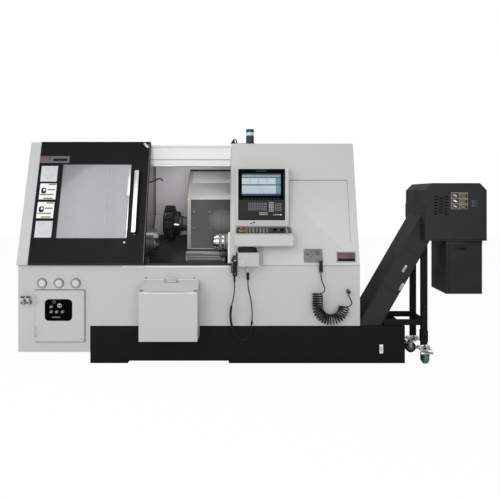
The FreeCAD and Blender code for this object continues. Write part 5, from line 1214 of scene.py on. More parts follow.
class LATHE_OT_air_panel(Operator):
    """Fit the air panel, the blow hose's ends and the bare name plate"""
    bl_idname = "lathe.air_panel"
    bl_label = "Air panel"

    def execute(self, context):
        panel = Piece()
        face = on(SLOPE_WALL, 0.5585, along_slope(0.943), 0.008)
        frame_of(panel, face, (0.155, 0.11), (0.163, 0.118), 0.0012, "air_plate", 0.003)
        panel.screws(face, (-0.072, 0.072), (-0.05, 0.05), 0.004)
        for place, profile in (
            (on(face, -0.05, 0.014), [(0.012, 0), (0.012, 0.004), (0.008, 0.007), (0, 0.008)]),
            (on(face, 0.04, 0.024), [(0.017, 0), (0.017, 0.006), (0.012, 0.01), (0, 0.01)]),
        ):
            panel.turned(place, profile, "grey_plastic", 28)
        panel.bars(face, "ink", (-0.02, -0.01, 0.018, 0.004), (0.012, 0.036, 0.022, 0.004),
                   (-0.016, 0.032, 0.014, 0.006))
        down = upward(*HOSE_TOP, 0.858)
        knurl(panel, on(down, 0, 0, -0.046), 0.0164, 0.04, 26, "black_steel")
        panel.turned(down, [(0.0138, 0), (0.015, 0.001), (0.015, 0.05), (0.0138, 0.052)], "black_steel", 28, False)
        tip = [(0.006, 0), (0.0085, 0.001), (0.01, 0.01), (0.0138, 0.013)]
        panel.turned(on(down, 0, 0, -0.058), tip, "grey_plastic", 28)
        panel.ring(on(down, 0, 0, -0.008), 0.0138, 0.0175, 0.01, "plastic")
        mouth = upward(*HOSE_END, 0.618)
        panel.ring(on(mouth, 0, 0, 0.001), 0.0085, 0.0142, 0.01, "grey_plastic")
        panel.band(on(mouth, 0, 0, 0.011), 0.0142, 0.015, 0.016, "black_steel", steps=28)
        panel.bolt(on(mouth, 0, 0, 0.029), 0.02, 0.008, "grey_plastic")
        panel.button(on(FRONT_WALL, 0.86, 0.638, 0), 0.017, 0.004, "grey_plastic")
        panel.done("air_panel_trim", "air_fittings")
        plate = Piece()
        place = on(SLOPE_WALL, 0.8495, along_slope(0.9325))
        plate.slab(place, (0.176, 0.096, 0.0012), "name_plate", 0.004)
        front = on(place, 0, 0, 0.0012)
        frame_of(plate, front, (0.164, 0.084), (0.17, 0.09), 0.0005, "silver")
        plate.slab(on(front, 0, -0.026), (0.15, 0.026, 0.0003), "ink", 0.002)
        frame_of(plate, place, (0.166, 0.086), (0.177, 0.097), 0.0016, "grey_plastic")
        plate.done("name_plate_right", "right_cover")
        return {"FINISHED"}


def knurl(piece, place, radius, height, ribs, material):
    """A grip sleeve with straight ribs."""
    rings = []
    for level, share in ((0, 0.94), (0.08, 1), (0.92, 1), (1, 0.94)):
        ring = []
        for rib in range(ribs * 2):
            turn = pi * rib / ribs
            reach = radius * share * (1 if rib % 2 else 0.94)
            ring.append((reach * cos(turn), reach * sin(turn), level * height))
        rings.append(ring)
    piece.loft(place, rings, material)


# ---- sliding door
DOOR_FACE = on(SLOPE_WALL, 0, 0, 0.048)
WINDOW_FACE = on(SLOPE_WALL, 0, 0, 0.04)


def bare_label(piece, place, side, marked):
    """A square label with no words: faint bars on a pale field, or a dark field with ochre bars."""
    piece.slab(place, (side, side, 0.0008), "white" if marked else "pale", 0.004)
    face = on(place, 0, 0, 0.0008)
    if marked:
        for x, y, z, wide, high, thick, finish, corner in (
            (-0.25, 0.05, 0, 0.3, 0.36, 0.0003, "ink", 0.1), (-0.22, 0.09, 0.0003, 0.12, 0.14, 0.0002, "white", 0.05),
        ):
            size = (side * wide, side * high, thick)
            piece.slab(on(face, side * x, side * y, z), size, finish, side * corner, 0.0001)
        bars = ((0.24, 0.44, 0.48), (0.19, 0.11, 0.47), (-0.05, -0.2, 0.84), (0.06, -0.43, 0.6))
        for x, y, wide in bars:
            piece.slab(on(face, side * x, side * y), (side * wide, side * 0.085, 0.0003), "ochre", 0.002)
            piece.slab(on(face, side * x, side * y, 0.0003), (side * wide * 0.8, side * 0.022, 0.0002), "ink")
        return
    bars = ((-0.15, 0.24, 0.16), (0.02, -0.1, 0.62), (0, -0.19, 0.56), (0.04, -0.28, 0.5), (-0.12, 0.36, 0.3))
    for x, y, wide in bars:
        piece.bars(face, "pale_blue", (side * x, side * y, side * wide, side * 0.024))


class LATHE_OT_sliding_door(Operator):
    """Fit the door's window seal, window screws, handle faces, plates and labels"""
    bl_idname = "lathe.sliding_door"
    bl_label = "Sliding door"

    def execute(self, context):
        build_door_window()
        build_door_handle()
        build_door_labels()
        build_door_trims()
        return {"FINISHED"}


def build_door_window():
    """The rubber seal, clamp frame and fixings of the laminated window, and painted highlights on its glass."""
    seal = Piece()
    middle = on(DOOR_FACE, -1.405, 0.5805)
    frame_of(seal, on(middle, 0, 0, -0.008), (0.629, 0.69), (0.64, 0.701), 0.0088, "rubber", 0.008)
    frame_of(seal, on(middle, 0, 0, -0.008), (0.6265, 0.6875), (0.629, 0.69), 0.003, "seam", 0.006)
    seal.done("window_seal", "sliding_door", "door")
    # The silver strips near the glass's right edge and the thin grey lines down it are painted highlights and
    # reflection bands.
    bright = Piece()
    face = on(WINDOW_FACE, 0, 0, 0.0004)
    strip(bright, face, (-1.1015, 0.63), (-1.1015, 0.922), 0.022, "silver", 0.0012)
    strip(bright, face, (-1.096, 0.24), (-1.096, 0.626), 0.01, "silver", 0.001)
    for x in (-1.117, -1.131, -1.156):
        strip(bright, face, (x, 0.245), (x, 0.915), 0.0035, "label_grey", 0.0004)
    strip(bright, face, (-1.3, 0.245), (-1.3, 0.915), 0.003, "label_grey", 0.0003)
    for x, v in ((-1.553, 0.849), (-1.293, 0.852), (-1.294, 0.52)):
        bright.turned(on(face, x, v), [(0.0065, 0), (0.0065, 0.002), (0.005, 0.003), (0, 0.0034)], "soft_seam", 24)
    bright.done("window_strips", "door_window", "door")


def build_door_handle():
    """Silver faces over the black handle, wrapped round its front and sides."""
    handle = Piece()
    middle = on(SLOPE_WALL, -1.024, 0.565, 0.0985)
    wide = fittings().handle
    handle.slab(middle, (wide, 0.572, 0.0015), "handle", 0.008)
    handle.slab(on(middle, -0.009, 0, 0.0015), (0.003, 0.54, 0.0006), "soft_seam", 0.001)
    for sign, v in ((1, 0.851), (-1, 0.279)):
        end = facing((SLOPE_WALL @ Vector((-1.024, v, 0.0))).to_tuple(), up=(0, sin(SLOPE), cos(SLOPE)))
        handle.slab(on(end, 0, sign * 0.0035, 0.0), (0.046, 0.03, 0.0495), "plastic", 0.006)
        handle.screw(on(end, 0, sign * 0.0105, 0.0495), 0.0035)
    for side in (-1, 1):
        across = side_face(SLOPE_WALL, -1.024 + side * wide / 2, side)
        handle.slab(on(across, 0.073 * side, 0.565), (0.046, 0.56, 0.0006), "handle", 0.002)
    handle.done("door_handle", "sliding_door", "door")


def build_door_labels():
    """Four square labels and a plate, all without words."""
    labels = Piece()
    side = fittings().label
    for number, (x, top) in enumerate(((-1.912, 0.908), (-1.907, 0.74), (-1.91, 0.566), (-1.908, 0.391))):
        bare_label(labels, on(DOOR_FACE, x + side / 2, top - side / 2), side, number in (1, 2))
    labels.done("door_labels", "sliding_door", "door")
    plate = Piece()
    place = on(DOOR_FACE, -1.8015, 0.971)
    for x, y, z, size, finish, corner in (
        (0, 0, 0, (0.273, 0.066, 0.0014), "grey_plastic", 0.003),
        (-0.083, 0, 0.0014, (0.1, 0.058, 0.0004), "name_plate", 0.002),
        (0.052, 0, 0.0014, (0.16, 0.058, 0.0004), "grey_plastic", 0.002),
        (0.052, -0.004, 0.0018, (0.13, 0.026, 0.0003), "ink", 0.004),
    ):
        plate.slab(on(place, x, y, z), size, finish, corner)
    plate.done("door_plate", "sliding_door", "door")


def build_door_trims():
    """Folded rims, the top bracket and the latch of the door."""
    trims = Piece()
    for v in (1.14, 0.008):
        strip(trims, DOOR_FACE, (-1.937, v), (-0.929, v), 0.01, "plastic", 0.0012)
    strip(trims, DOOR_FACE, (-0.931, 0.006), (-0.931, 1.14), 0.006, "grey_plastic", 0.0012)
    strip(trims, DOOR_FACE, (-1.936, 0.006), (-1.936, 1.14), 0.004, "plastic", 0.0012)
    latch = on(DOOR_FACE, -1.108, 0.198)
    trims.slab(latch, (0.052, 0.03, 0.003), "plastic", 0.006)
    trims.button(on(latch, 0, 0, 0.003), 0.0085, 0.003, "zinc", 0.001, 26)
    trims.slab(on(latch, 0, 0, 0.006), (0.0022, 0.011, 0.0005), "seam")
    arm = spun(on(DOOR_FACE, -0.965, 1.112), radians(-44))
    trims.slab(arm, (0.06, 0.024, 0.003), "silver", 0.004)
    for x in (-0.02, 0.02):
        trims.screw(on(arm, x, 0, 0.003), 0.0045)
    trims.screws(DOOR_FACE, (-1.915, -1.6, -1.26), (0.03,), 0.005, "plastic")
    trims.screws(DOOR_FACE, (-0.952,), (0.16, 0.42, 0.68, 0.94), 0.005, "plastic")
    trims.done("door_trims", "sliding_door", "door")


def side_face(place, x, side):
    """A place on a face that looks left (-1) or right (1), its x running toward the viewer or away."""
    return spun(on(place, x, 0), radians(90 * side), "Y")


# ---- work zone
PIPE_DEPTH = -0.3
CHUCK_FRONT = -0.925
JAW_FRONT = -0.894
SPINDLE_LINE = facing((0, -0.225, 1.02), right=(0, 1, 0))
TURRET_LINE = facing((0, -0.0525, 1.1925), right=(0, 1, 0))
GUARD_FACE = front_at(-0.135)
GUARD_SLOPE = facing((0, -0.135, 1.44), up=(0, 1, 1))
REAR_FACE = front_at(0.275)
LOW_SLOPE = facing((0, -0.055, 0.85), up=(0, 1, 1))
WAY_FACE = front_at(-0.245)


def about(place, degrees, radius, out):
    """A place on a circle round a line, its y pointing away from the line and z along it."""
    return on(spun(place, radians(degrees)), 0, radius, out)


class LATHE_OT_chuck(Operator):
    """Fit the chuck's grooves, screws and jaw bolts"""
    bl_idname = "lathe.chuck"
    bl_label = "Chuck"

    def execute(self, context):
        chuck = Piece()
        for x, wide in ((-1.008, 0.004), (-0.962, 0.0025), (-0.934, 0.0025)):
            chuck.band(on(SPINDLE_LINE, 0, 0, x), 0.1265, 0.1274, wide, "seam", 0, 72)
        for number in range(6):
            angle = 30 + 60 * number + (9 if number % 2 else -9)
            chuck.screw(about(SPINDLE_LINE, angle, 0.108, CHUCK_FRONT), 0.0085, "black_steel")
        for number in range(3):
            chuck.screw(about(SPINDLE_LINE, 60 + 120 * number, 0.068, CHUCK_FRONT), 0.0065, "black_steel")
            rim = spun(about(SPINDLE_LINE, 60 + 120 * number, 0.127, -0.975), radians(-90), "X")
            chuck.turned(rim, [(0.006, -0.002), (0.006, 0.0004), (0.004, 0.0004), (0.0035, -0.002)], "zinc", 20, False)
        for inner, outer, height, steps in ((0.0385, 0.05, 0.003, 56), (0.1215, 0.1272, 0.0012, 72)):
            chuck.ring(on(SPINDLE_LINE, 0, 0, -0.9255), inner, outer, height, "ground", steps)
        chuck.done("chuck_trim", "chuck_body", "spindle")
        for number in range(3):
            jaw = Piece()
            for radius, out in ((0.056, JAW_FRONT), (0.071, JAW_FRONT), (0.098, -0.9095)):
                bolt = about(SPINDLE_LINE, 120 * number, radius, out)
                jaw.ring(bolt, 0.0052, 0.0075, 0.0006, "ground", 24)
                jaw.screw(bolt, 0.005, "black_steel")
            for tooth in range(5):
                mark = about(SPINDLE_LINE, 120 * number, 0.0465 + tooth * 0.0016, JAW_FRONT)
                jaw.slab(mark, (0.024, 0.0007, 0.0004), "seam")
            name = f"jaw_{number + 1}"
            jaw.done(name + "_bolts", f"chuck_{name}", name)
        nose = Piece()
        nose.ring(on(SPINDLE_LINE, 0, 0, -1.03), 0.128, 0.15, 0.006, "ground", 64)
        for number in range(8):
            nose.screw(about(SPINDLE_LINE, 45 * number, 0.139, -1.024), 0.005, "black_steel")
        nose.done("nose_ring", "spindle_wall")
        return {"FINISHED"}


class LATHE_OT_turret(Operator):
    """Fit the turret's cap, tool clamps and tools"""
    bl_idname = "lathe.turret"
    bl_label = "Turret"

    def execute(self, context):
        disc = Piece()
        cap = spun(on(TURRET_LINE, 0, 0, -0.852), pi, "Y")
        disc.turned(cap, [(0.15, 0), (0.15, 0.003), (0.144, 0.006), (0.092, 0.009), (0.088, 0.01), (0.06, 0.01),
                          (0.056, 0.006), (0, 0.006)], "black_steel", 72)
        for number in range(12):
            disc.screw(about(cap, 15 + 30 * number, 0.118, 0.0072), 0.0065, "black_steel")
            slot = about(cap, 30 * number, 0.126, 0.0058)
            disc.slab(slot, (0.022, 0.034, 0.003), "black_steel", 0.003)
        for number in range(6):
            disc.screw(about(cap, 60 * number, 0.04, 0.006), 0.005, "black_steel")
        disc.ring(on(TURRET_LINE, 0, 0, -0.76), 0.125, 0.152, 0.0035, "black_steel", 72)
        disc.done("turret_cap", "turret_disc", "turret")
        build_turret_tools()
        build_turret_housing()
        return {"FINISHED"}


def build_turret_tools():
    """Clamp screws on each tool block and a short tool in every other one."""
    tools = Piece()
    for number in range(12):
        top = spun(about(TURRET_LINE, 30 * number, 0.18, -0.806), radians(-90), "X")
        # Steel screws on blocks 4 and 7 among the black ones are painted highlights on the turret.
        tools.screws(top, (-0.022, 0.022), (-0.028, 0.028), 0.0055, "steel" if number in (4, 7) else "black_steel")
        tools.slab(on(top, 0, 0), (0.064, 0.0016, 0.0003), "seam")
        if number % 3 == 1:
            tools.turned(on(top, 0, 0.004), [(0.0165, 0), (0.0165, 0.006), (0.0125, 0.007), (0.0125, 0.013),
                                             (0.01, 0.0145), (0, 0.0145)], "black_steel", 30)
        elif number % 3 == 2:
            tools.slab(on(top, 0, 0.004), (0.02, 0.034, 0.013), "black_steel", 0.001)
            tools.slab(on(top, 0, 0.023), (0.0095, 0.0095, 0.0145), "jaw", 0.001)
        else:
            tools.button(on(top, 0, 0.004), 0.012, 0.003, "black_steel", 0.001, 26)
        nozzle = spun(about(TURRET_LINE, 30 * number + 11.5, 0.166, -0.848), pi, "Y")
        tools.turned(nozzle, [(0.005, 0), (0.005, 0.003), (0.0025, 0.006), (0, 0.006)], "black_steel", 14)
    tools.done("turret_tools", "tool_holders", "turret")


def build_turret_housing():
    """Bolts and bands of the turret housing on its slide."""
    housing = Piece()
    for number in range(12):
        housing.screw(about(TURRET_LINE, 30 * number + 15, 0.108, -0.7117), 0.0065, "black_steel")
    housing.band(on(TURRET_LINE, 0, 0, -0.7595), 0.1218, 0.123, 0.047, "black_steel", steps=72)
    rim = on(front_at(-0.1755), -0.736, 1.1875)
    housing.slab(rim, (0.038, 0.016, 0.01), "ground", 0.004)
    housing.slab(on(rim, 0.026, 0, 0), (0.018, 0.01, 0.006), "ground", 0.003)
    housing.band(on(TURRET_LINE, 0, 0, -0.69), 0.0718, 0.0755, 0.019, "black_steel")
    housing.done("housing_bands", "cross_slide", "cross_slide")


class LATHE_OT_saddle_cover(Operator):
    """Lay the travelling guard's sheets, seams and screws"""
    bl_idname = "lathe.saddle_cover"
    bl_label = "Travelling guard"

    def execute(self, context):
        sheets = Piece()
        face, slope = GUARD_FACE, GUARD_SLOPE
        # The front sheet is painted darker and the top sheet lighter than the middle one, as painted shade and light.
        for place, x, y, size, finish, corner in (
            (face, -0.327, 1.1935, (0.53, 0.485, 0.0015), "guard_face", 0.002),
            (slope, -0.327, 0.118, (0.53, 0.22, 0.0015), "guard_mid", 0.002),
            (slope, -0.327, 0.321, (0.53, 0.17, 0.0022), "guard_top", 0.002),
            (slope, -0.345, 0.424, (0.566, 0.02, 0.004), "black_steel", 0.001),
        ):
            sheets.slab(on(place, x, y), size, finish, corner)
        strip(sheets, slope, (-0.628, 0.002), (-0.628, 0.432), 0.004, "seam", 0.0012)
        strip(sheets, face, (-0.6265, 0.942), (-0.6265, 1.438), 0.007, "seam", 0.0012)
        sheets.slab(on(face, -0.606, 1.19), (0.0085, 0.49, 0.0028), "way_guard", 0.001)
        sheets.slab(on(slope, -0.606, 0.215), (0.0085, 0.42, 0.0028), "guard_mid", 0.001)
        sheets.screws(face, (-0.56, -0.4), (1.155, 1.315), 0.004, out=0.0015)
        sheets.screws(face, (-0.585, -0.33, -0.09), (0.962,), 0.004, "way_guard", 0.0015)
        frame_of(sheets, on(face, -0.2, 1.19, 0.0015), (0.17, 0.2), (0.176, 0.206), 0.0008, "seam", 0.004)
        sheets.done("guard_sheets", "saddle_guard", "saddle")
        return {"FINISHED"}


class LATHE_OT_work_walls(Operator):
    """Lay the fixed guards' sheets, seams, way cover ribs and coolant pipe"""
    bl_idname = "lathe.work_walls"
    bl_label = "Work walls"

    def execute(self, context):
        walls = Piece()
        walls.slab(on(LOW_SLOPE, -0.742, 0.1485), (0.57, 0.3, 0.0004), "low_guard", 0.002)
        walls.slab(on(front_at(-0.055), -0.742, 0.797), (0.57, 0.108, 0.0004), "low_guard", 0.002)
        walls.slab(on(WAY_FACE, -0.432, 0.802), (0.38, 0.076, 0.001), "low_guard", 0.002)
        # The two wide dark strips where the side wall meets the rear guard are a seam with painted shade in the corner.
        strip(walls, REAR_FACE, (-1.0225, 1.262), (-1.0225, 1.79), 0.012, "seam", 0.003)
        strip(walls, REAR_FOLD, (-1.0225, 0.004), (-1.0225, 0.228), 0.012, "seam", 0.003)
        strip(walls, REAR_FACE, (-0.7, 1.27), (-0.7, 1.79), 0.0025, "soft_seam")
        strip(walls, REAR_FACE, (-1.02, 1.272), (-0.46, 1.272), 0.003, "soft_seam")
        walls.screws(REAR_FACE, (-0.925, -0.735), (1.33, 1.71), 0.004, "guard")
        walls.done("wall_sheets", "work_guards")
        build_way_cover()
        build_coolant_pipe()
        return {"FINISHED"}


def build_way_cover():
    """The stepped plates over the lower ways."""
    ways = Piece()
    for step, (low, high, proud) in enumerate(((0.842, 0.862, 0.006), (0.865, 0.885, 0.0045), (0.888, 0.922, 0.003))):
        inset = 0.012 * (2 - step)
        left, right = -0.622 + inset * 0.4, -0.248 - inset
        place = on(WAY_FACE, (left + right) / 2, (low + high) / 2)
        ways.slab(place, (right - left, high - low, proud), "way_guard", 0.001)
    ways.done("way_plates", "work_guards")


def build_coolant_pipe():
    """The bent coolant pipe that reaches out of the left wall."""
    pipe = Piece()
    line = [(x, PIPE_DEPTH, z) for x, z in (
        (-1.029, 1.585), (-1, 1.592), (-0.965, 1.604), (-0.935, 1.614), (-0.905, 1.628), (-0.884, 1.638),
        (-0.866, 1.64), (-0.852, 1.634), (-0.846, 1.62), (-0.85, 1.604),
    )]
    pipe.rod(line, fittings().coolant_pipe / 2, "rubber", 18)
    wall = facing((-1.03, PIPE_DEPTH, 1.585), right=(0, 1, 0))
    pipe.bolt(wall, 0.03, 0.012, "zinc")
    pipe.ring(spun(upward(*line[-1]), radians(-14), "Y"), 0.004, 0.0085, 0.01, "zinc", 24)
    pipe.done("coolant_pipe", "spindle_wall")


class LATHE_OT_tailstock(Operator):
    """Fit the tailstock's nose ring and bands, the centre's collar and the opening's right edge"""
    bl_idname = "lathe.tailstock"
    bl_label = "Tailstock"

    def execute(self, context):
        tail = Piece()
        axis = SPINDLE_LINE
        tail.turned(on(axis, 0, 0, -0.351), [(0.0465, 0), (0.062, 0), (0.07, 0.004), (0.07, 0.018), (0.0465, 0.018)],
                    "ground", 64, False)
        tail.turned(on(axis, 0, 0, -0.3325), [(0.079, 0), (0.0835, 0.003), (0.0835, 0.03), (0.08, 0.033)],
                    "ground", 72, False)
        tail.band(on(axis, 0, 0, -0.27), 0.08, 0.0828, 0.018, "ground", 0.002, 72)
        for x in (-0.292, -0.24):
            tail.band(on(axis, 0, 0, x), 0.0799, 0.0808, 0.004, "seam", 0.0004, 72)
        for number in range(6):
            tail.screw(spun(about(axis, 30 + 60 * number, 0.074, -0.3335), pi, "Y"), 0.0038, "black_steel")
        front = front_at(-0.3)
        tail.slab(on(front, -0.215, 0.905), (0.15, 0.046, 0.002), "dark_casting", 0.004)
        tail.screws(front, (-0.275, -0.155), (0.905,), 0.0055, out=0.002)
        tail.done("tailstock_trim", "tailstock", "tailstock")
        centre = Piece()
        centre.band(on(axis, 0, 0, -0.3585), 0.0122, 0.019, 0.01, "ground", 0.002, 40)
        centre.done("centre_collar", "live_centre", "live_centre")
        edge = Piece()
        edge.slab(on(SLOPE_WALL, -0.186, 0.15, -0.012), (0.019, 0.3, 0.006), "beam", 0.002)
        edge.done("opening_edge", "right_cover")
        return {"FINISHED"}


# ---- conveyor
LEVER_HEIGHT = 0.106
LEVER_REACH = 0.081
INCLINE = facing((0.948, -0.711, 0.33), right=(0.5, 0, sqrt(0.75)), up=(-sqrt(0.75), 0, 0.5))
HOOD_FRONT = front_at(-0.815)
HOOD_LEFT = facing((1.509, 0, 0), right=(0, -1, 0))
HOOD_BACK = facing((0, -0.283, 0), right=(-1, 0, 0))
CHUTE_FRONT = front_at(-0.735)


class LATHE_OT_conveyor_fittings(Operator):
    """Fit the conveyor's flanges, bolts, louvres, labels and chute handle"""
    bl_idname = "lathe.conveyor_fittings"
    bl_label = "Conveyor fittings"

    def execute(self, context):
        casing = Piece()
        black = "conveyor"
        for y in (-0.008, -0.172):
            strip(casing, INCLINE, (0.02, y), (1.1 if y > -0.1 else 0.8, y), 0.016, black, 0.0035)
        for step in range(9):
            for y in (-0.008, -0.172) if step < 6 else (-0.008,):
                casing.screw(on(INCLINE, 0.08 + step * 0.125, y, 0.0035), 0.0055, black, "void")
        for x in (0.42, 0.8):
            strip(casing, INCLINE, (x, -0.165), (x, -0.015), 0.0022, "void", 0.0006)
        for place in (on(INCLINE, 0.641, -0.11), on(INCLINE, 0.489, -0.166, 0.0035)):
            casing.slab(place, (0.066, 0.02, 0.0006), "pale", 0.001)
            casing.bars(on(place, 0, 0, 0.0006), "ink", (-0.004, 0.004, 0.056, 0.0035), (-0.004, -0.004, 0.042, 0.0035))
        bracket = facing((0.962, -0.711, 0.52))
        casing.slab(bracket, (0.018, 0.11, 0.012), "plastic", 0.004)
        casing.done("casing_trim", "conveyor_casing")
        build_hood_trim()
        build_chute_trim()
        build_stand_trim()
        return {"FINISHED"}


def build_hood_trim():
    """Vents, the bare label, seams and screws of the drive hood."""
    hood = Piece()
    black = "conveyor"
    for column in range(3):
        for row in range(6 if column == 1 else 7):
            x = 1.602 + column * 0.0455
            z = 1.466 - row * 0.0245 - (0.01225 if column == 1 else 0)
            louvre(hood, on(HOOD_FRONT, x, z), 0.036, 0.0095, black, "void")
    label = on(HOOD_FRONT, 1.806, 1.4305)
    hood.slab(label, (0.146, 0.145, 0.0006), "tan", 0.002)
    for row in range(3):
        y = 0.046 - row * 0.047
        hood.slab(on(label, -0.037, y, 0.0006), (0.064, 0.04, 0.0003), "deep_blue", 0.001)
        hood.slab(on(label, 0.035, y - 0.005, 0.0006), (0.066, 0.03, 0.0003), "ink", 0.001)
        hood.bars(on(label, 0.033, y, 0.0009), "label_grey",
                  (0, 0.003, 0.052, 0.0022), (-0.005, -0.005, 0.042, 0.0022), (0, -0.013, 0.052, 0.0022))
        turned = spun(on(label, -0.037, y, 0.0009), radians(-24))
        hood.slab(turned, (0.034, 0.012, 0.0003), "white" if row == 1 else "label_grey", 0.005)
    hood.slab(on(HOOD_FRONT, 1.9375, 1.4085), (0.055, 0.063, 0.0005), "deep_blue", 0.001)
    strip(hood, HOOD_FRONT, (1.575, 1.098), (2.034, 1.098), 0.0022, "void", 0.0006)
    hood.screws(HOOD_FRONT, (1.6, 1.8, 1.96), (1.115, 1.56), 0.005, black)
    hood.screws(HOOD_LEFT, (0.345, 0.755), (1.16, 1.33, 1.5), 0.005, black)
    for row in range(8):
        louvre(hood, on(HOOD_BACK, -1.87, 1.25 + row * 0.028), 0.14, 0.012, black, "void")
    hood.done("hood_trim", "conveyor_hood")


def build_chute_trim():
    """The chute's collar, dished handle and seams."""
    chute = Piece()
    black = "conveyor"
    chute.slab(on(CHUTE_FRONT, 1.879, 1.063), (0.316, 0.034, 0.006), black, 0.001)
    chute.screws(CHUTE_FRONT, (1.745, 2.015), (1.063,), 0.005, black, 0.006)
    grip = on(CHUTE_FRONT, 1.853, 1.01)
    frame_of(chute, grip, (0.078, 0.016), (0.1, 0.036), 0.008, black, 0.016)
    chute.slab(grip, (0.08, 0.018, 0.001), "base", 0.01)
    strip(chute, CHUTE_FRONT, (1.745, 0.62), (1.745, 1.045), 0.0022, "void", 0.0005)
    chute.screws(CHUTE_FRONT, (2.02,), (0.66, 0.8, 0.94), 0.005, black)
    chute.done("chute_trim", "conveyor_hood")


def build_stand_trim():
    """Clamp bolts of the legs, and the bare label on the base beside them."""
    stand = Piece()
    for y in (-0.725, -0.425):
        face = facing((0, y, 0))
        for z in (0.205, 0.27, 0.455, 0.495):
            stand.bolt(on(face, 1.538, z, 0.0005), 0.014, 0.007, "black_steel")
    stand.done("stand_bolts", "conveyor_stand")
    label = Piece()
    place = on(FRONT_WALL, 1.1555, 0.126)
    label.slab(place, (0.031, 0.078, 0.0008), "white", 0.002)
    label.bars(on(place, 0, 0, 0.0008), "ink", (-0.005, 0, 0.0035, 0.052), (0.004, 0, 0.0035, 0.04))
    label.done("base_label", "base_frame")


class LATHE_OT_casters(Operator):
    """Fit the casters' plates, brake levers, hubs and axle nuts"""
    bl_idname = "lathe.casters"
    bl_label = "Casters"

    def execute(self, context):
        for end, swivel, axle, along in (("front", (1.538, -0.7), (1.538, -0.725, 0.05), (1, 0, 0)),
                                         ("back", (1.538, -0.4), (1.513, -0.4, 0.05), (0, 1, 0))):
            build_caster_plate(end, swivel)
            build_caster_fork(end, swivel, axle, along)
            build_caster_wheel(end, axle, along)
        return {"FINISHED"}


def build_caster_plate(end, swivel):
    """The fixed plate that the caster is bolted to."""
    plate = Piece()
    place = upward(*swivel, 0.1185)
    plate.slab(place, (0.096, 0.084, 0.006), "zinc", 0.006)
    for x in (-0.04, 0.04):
        for y in (-0.034, 0.034):
            plate.bolt(on(place, x, y, 0.006), 0.011, 0.006, "zinc")
        side = copysign(1, x)
        middle = (swivel[0] + side * 0.053, swivel[1], 0.1245 - side * 0.01)
        ear = facing(middle, right=(1, 0, -side * 0.55), up=(0, 1, 0))
        plate.slab(ear, (0.034, 0.06, 0.005), "zinc", 0.012)
        cheek = facing((swivel[0] + side * 0.026, swivel[1] - 0.026, 0.1445), right=(1, 0, -side * 0.3))
        plate.slab(cheek, (0.044, 0.034, 0.004), "zinc", 0.01)
        plate.bolt(on(cheek, 0, 0, 0.004), 0.012, 0.005, "jaw")
    plate.done(f"{end}_caster_plate", "conveyor_stand")


def axle_end(axle, out, reach):
    """A place at one end of a caster's axle, looking outward."""
    return facing(Vector(axle) + out * reach, right=Vector((0, 0, 1)).cross(out))


def build_caster_fork(end, swivel, axle, along):
    """The swivel race, a brake lever and the axle's nuts, turning with the fork."""
    fork = Piece()
    race = upward(*swivel, 0.1045)
    fork.turned(race, [(0.03, 0), (0.034, 0.002), (0.034, 0.007), (0.029, 0.0125), (0.01, 0.0135)], "zinc", 44)
    side = Vector(along)
    for sign in (-1, 1):
        nut = axle_end(axle, side * sign, 0.0255)
        fork.bolt(nut, 0.015, 0.007, "zinc")
        if end == "front":
            fork.slab(on(nut, 0, 0.012, -0.003), (0.046, 0.076, 0.011), "black_steel", 0.014)
        else:
            fork.slab(on(nut, 0, 0.026, -0.003), (0.026, 0.058, 0.003), "zinc", 0.008)
    trail = Vector((axle[0] - swivel[0], axle[1] - swivel[1], 0)).normalized()
    tip = Vector((*swivel, LEVER_HEIGHT)) + trail * LEVER_REACH
    lever = facing(tip, right=side, up=Vector((0, 0, 1)) - trail * 0.35)
    fork.slab(lever, (0.11, 0.018, 0.004), "jaw", 0.008)
    fork.slab(on(lever, 0, 0, 0.004), (0.05, 0.008, 0.002), "seam", 0.003)
    for sign in (-1, 1):
        arm = [tip + side * sign * out - trail * back - Vector((0, 0, low))
               for out, back, low in ((0.05, 0, 0.007), (0.044, 0.03, 0.008), (0.03, 0.062, 0.006))]
        fork.rod(arm, 0.0045, "zinc", 10)
    fork.done(f"{end}_caster_brake", f"{end}_caster_fork", f"{end}_fork")


def build_caster_wheel(end, axle, along):
    """Hub discs with small dark dots, turning with the wheel."""
    wheel = Piece()
    for sign in (-1, 1):
        hub = axle_end(axle, Vector(along) * sign, 0.018)
        wheel.turned(hub, [(0.034, 0), (0.033, 0.0008), (0.013, 0.001), (0.012, 0.0012), (0, 0.0012)],
                     "grey_plastic", 40)
        for spoke in range(5):
            wheel.button(about(hub, 72 * spoke, 0.021, 0.0008), 0.0035, 0.0004, "seam", 0.0001, 16)
    wheel.done(f"{end}_wheel_hub", f"{end}_caster_wheel", f"{end}_wheel")


